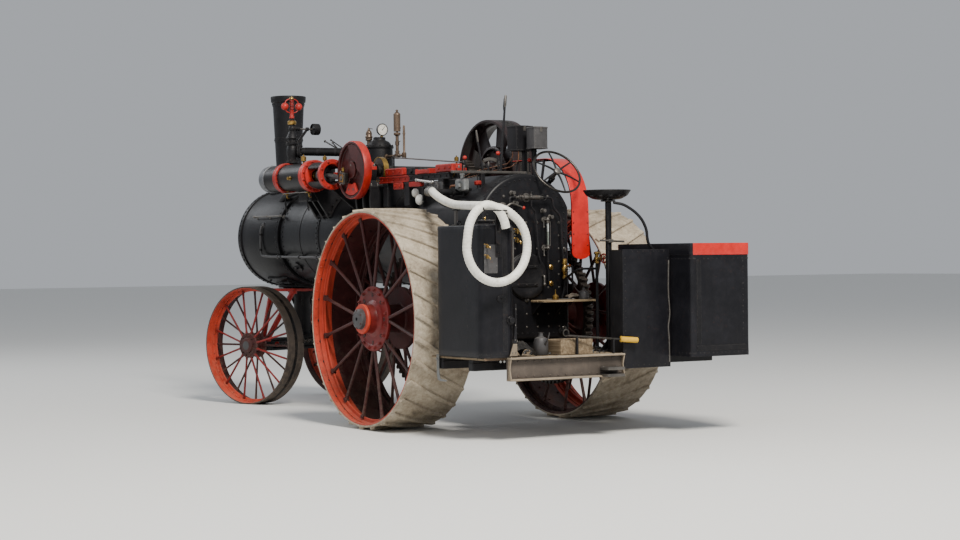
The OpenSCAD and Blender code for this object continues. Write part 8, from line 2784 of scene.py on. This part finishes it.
    # seat: pressed dish with slots, on a square post with gussets
    g = G("sheet")
    n = 60
    prof = [(0.0, 0.009, 0.0), (0.030, 0.0095, 0.0008), (0.055, 0.011, 0.0022), (0.080, 0.0125, 0.0045), (0.105, 0.016, 0.0075), (0.130, 0.024, 0.0145), (0.155, 0.0385, 0.0285), (0.176, 0.054, 0.0400), (0.190, 0.075, 0.0600), (0.200, 0.0875, 0.0760), (0.2045, 0.0862, 0.0835)]
    cx, cy, cz = -1.450, -0.300, 1.975
    vs, top, bot = [], [], []
    for r, zt, zb in prof:
        rt, rb = [], []
        for i in range(n):
            a = 2 * math.pi * i / n
            rt.append(len(vs)); vs.append((cx + r * math.cos(a), cy + r * math.sin(a), cz + zt))
        for i in range(n):
            a = 2 * math.pi * i / n
            rb.append(len(vs)); vs.append((cx + r * math.cos(a), cy + r * math.sin(a), cz + zb))
        top.append(rt); bot.append(rb)
    K = len(prof) - 1
    def is_open(k, i):
        return (k in (3, 4) and i % 6 in (0, 1)) or (k == 6 and i % 5 in (0, 1)) or (k == 1 and i % 12 in (0, 1, 2))
    F = []
    for k in range(K):
        for i in range(n):
            j = (i + 1) % n
            if is_open(k, i):
                for (a, b, kk, ii) in (((k, i), (k + 1, i), k, (i - 1) % n), ((k, j), (k + 1, j), k, j)):
                    if not is_open(kk, ii):
                        F.append((top[a[0]][a[1]], top[b[0]][b[1]], bot[b[0]][b[1]], bot[a[0]][a[1]]))
                if not is_open(k - 1, i):
                    F.append((top[k][i], top[k][j], bot[k][j], bot[k][i]))
                if not is_open(k + 1, i):
                    F.append((top[k + 1][i], top[k + 1][j], bot[k + 1][j], bot[k + 1][i]))
                continue
            F.append((top[k][i], top[k + 1][i], top[k + 1][j], top[k][j]))
            F.append((bot[k][i], bot[k][j], bot[k + 1][j], bot[k + 1][i]))
    for i in range(n):
        j = (i + 1) % n
        F.append((top[K][i], bot[K][i], bot[K][j], top[K][j]))
    g.add(vs, F)
    g.torus((cx, cy, cz + 0.0815), Z, 0.2012, 0.0036, 72, 8)
    g.mat("sheet")
    g.bolt((cx - 0.015, cy, cz + 0.009), Z, 0.012, 0.008)
    g.lathe([(0, -0.012), (0.060, -0.012), (0.063, -0.009), (0.063, -0.001), (0, -0.0005)], (cx - 0.015, cy, cz), Z, 28)
    g.box(-1.4895, -1.4465, -0.3215, -0.2785, 0.690, 1.962, 0.005)
    for d in ((1, 0), (-1, 0), (0, 1), (0, -1)):
        px, py = -1.468 + d[0] * 0.020, -0.300 + d[1] * 0.020
        if d[0]:
            g.ext([(px, 0.698), (px + d[0] * 0.075, 0.698), (px + d[0] * 0.075, 0.706), (px, 0.790)], "y", -0.304, -0.296, 0.001)
        else:
            g.ext([(py, 0.698), (py + d[1] * 0.075, 0.698), (py + d[1] * 0.075, 0.706), (py, 0.790)], "x", -1.472, -1.464, 0.001)
    g.box(-1.568, -1.368, -0.400, -0.200, 0.690, 0.699, 0.002)
    for x in (-1.550, -1.386):
        for y in (-0.382, -0.218):
            g.bolt((x, y, 0.699), Z, 0.010, 0.008)
    # step rod across the post
    g.mat("worn")
    g.cyl((-1.500, -0.190, 1.632), (-1.500, -0.440, 1.622), 0.0085, 12)
    g.box(-1.512, -1.486, -0.322, -0.278, 1.612, 1.642, 0.003)
    g.make("seat_dish_and_post", "chassis", ("seat",))
platform()

# ------------------------------------------------------------------ backhead
def backhead():
    X, Y, Z = Vector((1, 0, 0)), Vector((0, 1, 0)), Vector((0, 0, 1))
    g = G("worn")
    bx = -0.640
    # water gauge with its cocks, guard rods and drain
    gx, gy = -0.700, -0.190
    for z in (1.575, 1.825):
        g.lathe([(0.030, 0.0), (0.030, 0.007), (0.016, 0.011), (0.014, 0.030), (0.014, 0.060)], (bx - 0.0005, gy, z), -X, 20)
        g.bolt_ring((bx - 0.007, gy, z), -X, 0.023, 4, 0.005, 0.004, a0=45, stud=False)
        g.sphere((gx, gy, z), 0.018, 16, 10)
        g.hexa((gx, gy, z - 0.030 if z > 1.7 else z + 0.014), Z, 0.017, 0.016)
        g.cyl((gx, gy + 0.010, z), (gx, gy + 0.042, z), 0.008, 12)
        g.mat("worn")
        g.bar((gx, gy + 0.040, z), (gx, gy + 0.040, z - 0.062), 0.011, 0.006, up=(1, 0, 0))
        g.sphere((gx, gy + 0.040, z - 0.066), 0.0085, 10, 6)
        g.mat("worn")
    g.hexa((gx, gy, 1.838), Z, 0.014, 0.010)
    g.mat("glass")
    g.cyl((gx, gy, 1.600), (gx, gy, 1.800), 0.0085, 16, 0.0005)
    g.mat("worn")
    for dx, dy in ((-0.018, -0.014), (-0.018, 0.014), (0.012, -0.018)):
        g.cyl((gx + dx, gy + dy, 1.590), (gx + dx, gy + dy, 1.812), 0.0026, 6)
    g.mat("sheet")
    g.run([(gx, gy, 1.560), (gx, gy, 1.44), (gx + 0.02, gy - 0.02, 1.38), (gx + 0.02, gy - 0.02, 1.28)], 0.0058, 8, 0.03)
    # try cocks
    for z in (1.640, 1.720, 1.800):
        g.lathe([(0.022, 0.0), (0.022, 0.006), (0.012, 0.009)], (bx - 0.0005, 0.110, z), -X, 18)
        g.cock((bx - 0.006, 0.110, z), -X, Z, k=0.85, lever=0.045)
    # steam turret with valves near the crown
    g.mat("worn")
    g.lathe([(0.040, 0.0), (0.040, 0.010), (0.024, 0.014), (0.022, 0.046)], (bx - 0.0005, 0.0, 2.020), -X, 24)
    g.bolt_ring((bx - 0.010, 0.0, 2.020), -X, 0.032, 6, 0.006, 0.005, stud=False)
    g.cyl((-0.700, -0.115, 2.020), (-0.700, 0.115, 2.020), 0.019, 20, 0.005)
    g.valve((-0.728, 0.0, 2.020), -X, Z, 0.55, 0.045, "worn")
    for y in (-0.085, 0.085):
        g.valve((-0.700, y * 1.35, 2.020), Y, -X, 0.62, 0.045, "worn")
    g.mat("sheet")
    # pipes away from the turret
    g.run([(-0.700, 0.150, 2.020), (-0.700, 0.205, 2.020), (-0.700, 0.215, 1.90), (-0.690, 0.34, 1.82), (-0.690, 0.372, 1.42), (-0.680, 0.385, 1.16)], 0.0095, 10, 0.045)
    g.run([(-0.700, -0.150, 2.020), (-0.700, -0.240, 2.020), (-0.692, -0.255, 1.93), (-0.692, -0.330, 1.86), (-0.692, -0.345, 1.62), (-0.692, -0.360, 1.46)], 0.0095, 10, 0.045)
    g.run([(-0.728, 0.0, 1.995), (-0.728, 0.0, 1.93), (-0.700, -0.060, 1.895), (-0.690, -0.100, 1.50), (-0.690, -0.120, 1.46)], 0.0075, 10, 0.03)
    # injector on the right, with its pipes, overflow and hand wheels
    g.mat("brass")
    ix, iy = -0.700, -0.365
    g.lathe([(0.012, 1.470), (0.018, 1.466), (0.022, 1.452), (0.022, 1.432), (0.016, 1.424), (0.020, 1.412), (0.026, 1.400), (0.026, 1.366), (0.018, 1.356), (0.014, 1.330), (0.020, 1.322), (0.020, 1.302), (0.010, 1.296)], (ix, iy, 0), Z, 24)
    g.hexa((ix, iy, 1.462), Z, 0.021, 0.016)
    g.hexa((ix, iy, 1.300), Z, 0.021, 0.016)
    g.valve((ix - 0.004, iy, 1.384), -Z, -X, 0.55, 0.045)
    g.cyl((ix, iy, 1.412), (ix, iy - 0.060, 1.412), 0.010, 14)
    g.hexa((ix, iy - 0.048, 1.412), -Y, 0.016, 0.014)
    g.mat("sheet")
    g.run([(ix, iy, 1.300), (ix, iy, 1.22), (-0.690, -0.345, 1.14), (-0.690, -0.345, 1.125)], 0.010, 10, 0.03)
    g.run([(ix, iy - 0.06, 1.412), (ix, iy - 0.082, 1.412), (ix, iy - 0.084, 1.25), (-0.664, -0.470, 1.20)], 0.009, 10, 0.03)
    # blow-down and washout plugs
    for (y, z, m_) in ((-0.395, 0.860, "worn"), (0.395, 0.860, "worn"), (-0.400, 1.560, "worn"), (0.400, 1.560, "worn"), (0.0, 1.120, "worn"), (-0.260, 1.405, "brass"), (-0.260, 1.260, "brass")):
        g.mat(m_)
        g.lathe([(0.022, 0.0), (0.022, 0.006), (0.016, 0.010), (0.0, 0.010)], (bx - 0.0005, y, z), -X, 18)
        g.cbox((bx - 0.018, y, z), (0.018, 0.016, 0.016), 0.002)
    # dull fittings high on the plate
    g.mat("worn")
    for (y, z) in ((0.150, 2.060), (0.120, 1.970), (-0.170, 1.905), (-0.250, 1.850)):
        g.lathe([(0.022, 0.0), (0.022, 0.007), (0.013, 0.010), (0.012, 0.036), (0.016, 0.038), (0.016, 0.050), (0.0, 0.052)], (bx - 0.0005, y, z), -X, 18)
        g.hexa((bx - 0.012, y, z), -X, 0.017, 0.012)
    # standpipe at the footplate's right with a brass valve and a red handle
    g.mat("sheet")
    g.lathe([(0.042, 0.690), (0.042, 0.698), (0.020, 0.702), (0.016, 0.710)], (-1.02, -0.490, 0), Z, 24)
    g.bolt_ring((-1.02, -0.490, 0.698), Z, 0.032, 4, 0.006, 0.005, stud=False)
    g.cyl((-1.02, -0.490, 0.70), (-1.02, -0.490, 1.440), 0.0135, 16)
    g.run([(-1.02, -0.490, 1.39), (-1.02, -0.300, 1.39), (-0.95, -0.290, 1.36), (-0.74, -0.345, 1.30), (-0.700, -0.365, 1.300)], 0.010, 10, 0.05)
    g.mat("brass")
    g.valve((-1.02, -0.490, 1.478), Z, -Y, 0.90, 0.0, "brass")
    g.lathe([(0.010, 1.515), (0.024, 1.518), (0.027, 1.524), (0.024, 1.534), (0.012, 1.540), (0, 1.541)], (-1.02, -0.490, 0), Z, 18)
    g.mat("red")
    g.handwheel((-1.02, -0.566, 1.478), -Y, 0.040, 0.0065, 4, 0.012)
    # regulator lever in its stuffing box, up by the crown
    g.mat("worn")
    g.lathe([(0.042, 0.0), (0.042, 0.010), (0.030, 0.015), (0.022, 0.022), (0.022, 0.045), (0.016, 0.048)], (bx - 0.0005, 0.245, 1.935), -X, 28)
    g.bolt_ring((bx - 0.010, 0.245, 1.935), -X, 0.034, 4, 0.006, 0.005, a0=45)
    g.cyl((bx - 0.030, 0.245, 1.935), (bx - 0.072, 0.245, 1.935), 0.010, 14)
    g.tube(spline([(bx - 0.062, 0.245, 1.935), (bx - 0.066, 0.190, 1.965), (bx - 0.070, 0.130, 1.950), (bx - 0.074, 0.075, 1.930)], 5), [0.009] * 8 + [0.0075] * 8, 10)
    g.mat("red")
    g.sphere((bx - 0.074, 0.070, 1.928), 0.0145, 14, 8)
    # shelf board with bracket, rag, oil can and a tin
    g.mat("shelfwood")
    g.box(-0.860, -0.7515, -0.598, -0.042, 1.0985, 1.1175, 0.003)
    g.box(-0.7495, -0.642, -0.600, -0.040, 1.0975, 1.1165, 0.003)
    g.mat("sheet")
    g.box(-0.858, -0.640, -0.600, -0.572, 1.0955, 1.0985, 0.001)
    g.box(-0.858, -0.640, -0.068, -0.042, 1.0955, 1.0985, 0.001)
    for y in (-0.586, -0.300, -0.055):
        g.ext([(-0.640, 1.096), (-0.790, 1.096), (-0.640, 0.985)], "y", y - 0.004, y + 0.004, 0.0) if y > -0.4 else g.ext([(-0.640, 1.096), (-0.790, 1.096), (-0.780, 1.080), (-0.640, 1.042)], "y", -0.618, -0.602, 0.001)
    g.mat("grey")
    g.lathe([(0, 1.1175), (0.040, 1.1175), (0.044, 1.121), (0.044, 1.168), (0.034, 1.190), (0.012, 1.200), (0.010, 1.220), (0, 1.221)], (-0.790, -0.505, 0), Z, 24)
    g.tube(spline([(-0.790, -0.470, 1.175), (-0.790, -0.440, 1.195), (-0.790, -0.400, 1.240)], 5), [0.008 - 0.0005 * i for i in range(11)], 8)
    g.mat("brass")
    g.lathe([(0, 1.1175), (0.026, 1.1175), (0.028, 1.120), (0.028, 1.150), (0.014, 1.164), (0.005, 1.170), (0.003, 1.210), (0, 1.2105)], (-0.775, -0.215, 0), Z, 20)
    g.mat("worn")
    g.bar((-0.800, -0.360, 1.1235), (-0.730, -0.150, 1.1235), 0.022, 0.008)
    g.torus((-0.806, -0.378, 1.1235), Z, 0.017, 0.006, 20, 8)
    g.mat("leather")
    vs, F = [], []
    for i in range(15):
        for j in range(15):
            u, v = i / 7 - 1, j / 7 - 1
            e = max(0.0, 1 - (u * u + v * v) * 0.55)
            vs.append((-0.700 + 0.045 * u, -0.455 + 0.075 * v * (1 + 0.1 * math.sin(4 * u)), 1.1172 + 0.050 * e ** 0.7 + 0.007 * math.sin(8 * u + 5 * v) * e))
    for i in range(14):
        for j in range(14):
            a = i * 15 + j
            F.append((a, a + 1, a + 16, a + 15))
    g.add(vs, F)
    g.make("backhead_pipework", "chassis", ("backhead_fittings",))

    # coupling on the boiler's top for the hose
    g = G("cast")
    g.cyl((-0.250, 0.300, 2.078), (-0.250, 0.735, 2.078), 0.0265, 24)
    for y in (0.34, 0.52, 0.705):
        g.ring((-0.250, 0, 2.078), Y, 0.026, 0.040, y - 0.010, y + 0.010, 28, 0.002)
    g.mat("worn")
    g.sphere((-0.250, 0.760, 2.078), 0.042, 28, 16)
    a, b = Vector((-0.250, 0.762, 2.078)), Vector((-0.361, 0.790, 2.078))
    d = (b - a).normalized()
    g.cyl(a, b - d * 0.004, 0.034, 24)
    g.mat("galv")
    # worm clamps round the hose's end
    for t in (0.062, 0.092):
        g.ring(a + d * t, d, 0.034, 0.0425, -0.007, 0.007, 32, 0.001)
    g.mat("worn")
    g.hexa(a + Vector((0, 0, 0.038)), Z, 0.014, 0.008)
    # saddle clip under the pipe
    g.mat("sheet")
    g.ext([(-0.292, 2.040), (-0.208, 2.040), (-0.208, 2.052), (-0.225, 2.090), (-0.235, 2.104), (-0.265, 2.104), (-0.275, 2.090), (-0.292, 2.052)], "y", 0.415, 0.432, 0.002)
    g.make("hose_coupling_fitting", "chassis", ("hose_coupling",))

    # hook at the tank's rear corner, and the cradle post on top
    g = G("sheet")
    g.box(-1.8718, -1.8602, 1.041, 1.089, 1.500, 1.862, 0.002)
    for z in (1.53, 1.60, 1.70):
        g.bolt((-1.8718, 1.065, z), -X, 0.009, 0.007)
    g.ext([(-1.875, 1.700), (-1.875, 1.852), (-2.010, 1.852)], "y", 1.058, 1.072, 0.001)
    # bent rods under the hose, each with a short turned-up tip
    for pts in (((-1.864, 1.065, 1.862), (-1.92, 1.10, 1.868), (-1.95, 1.20, 1.868), (-1.95, 1.318, 1.868), (-1.95, 1.328, 1.876), (-1.95, 1.329, 1.892)),
                ((-1.864, 1.050, 1.862), (-1.97, 1.06, 1.868), (-2.06, 1.10, 1.868), (-2.072, 1.20, 1.868), (-2.072, 1.318, 1.868), (-2.072, 1.328, 1.876), (-2.072, 1.329, 1.892))):
        g.run(pts, 0.0058, 10, 0.03)
    g.cyl((-1.95, 1.25, 1.8675), (-2.072, 1.25, 1.8675), 0.005, 8)
    g.sphere((-1.868, 1.062, 1.860), 0.014, 12, 8)
    g.mat("worn")
    g.cyl((-1.150, 1.025, 1.7605), (-1.150, 1.025, 1.889), 0.0150, 20)
    g.lathe([(0.040, 1.7605), (0.040, 1.768), (0.020, 1.771), (0.0155, 1.776)], (-1.150, 1.025, 0), Z, 28)
    g.bolt_ring((-1.150, 1.025, 1.768), Z, 0.030, 4, 0.006, 0.005, stud=False)
    g.mat("sheet")
    g.ext([(-1.189, 1.888), (-1.111, 1.888), (-1.111, 1.900), (-1.118, 1.898), (-1.150, 1.894), (-1.182, 1.898), (-1.189, 1.900)], "y", 1.006, 1.044, 0.001)
    g.make("hose_hook_iron", "chassis", ("hose_hook",))
backhead()
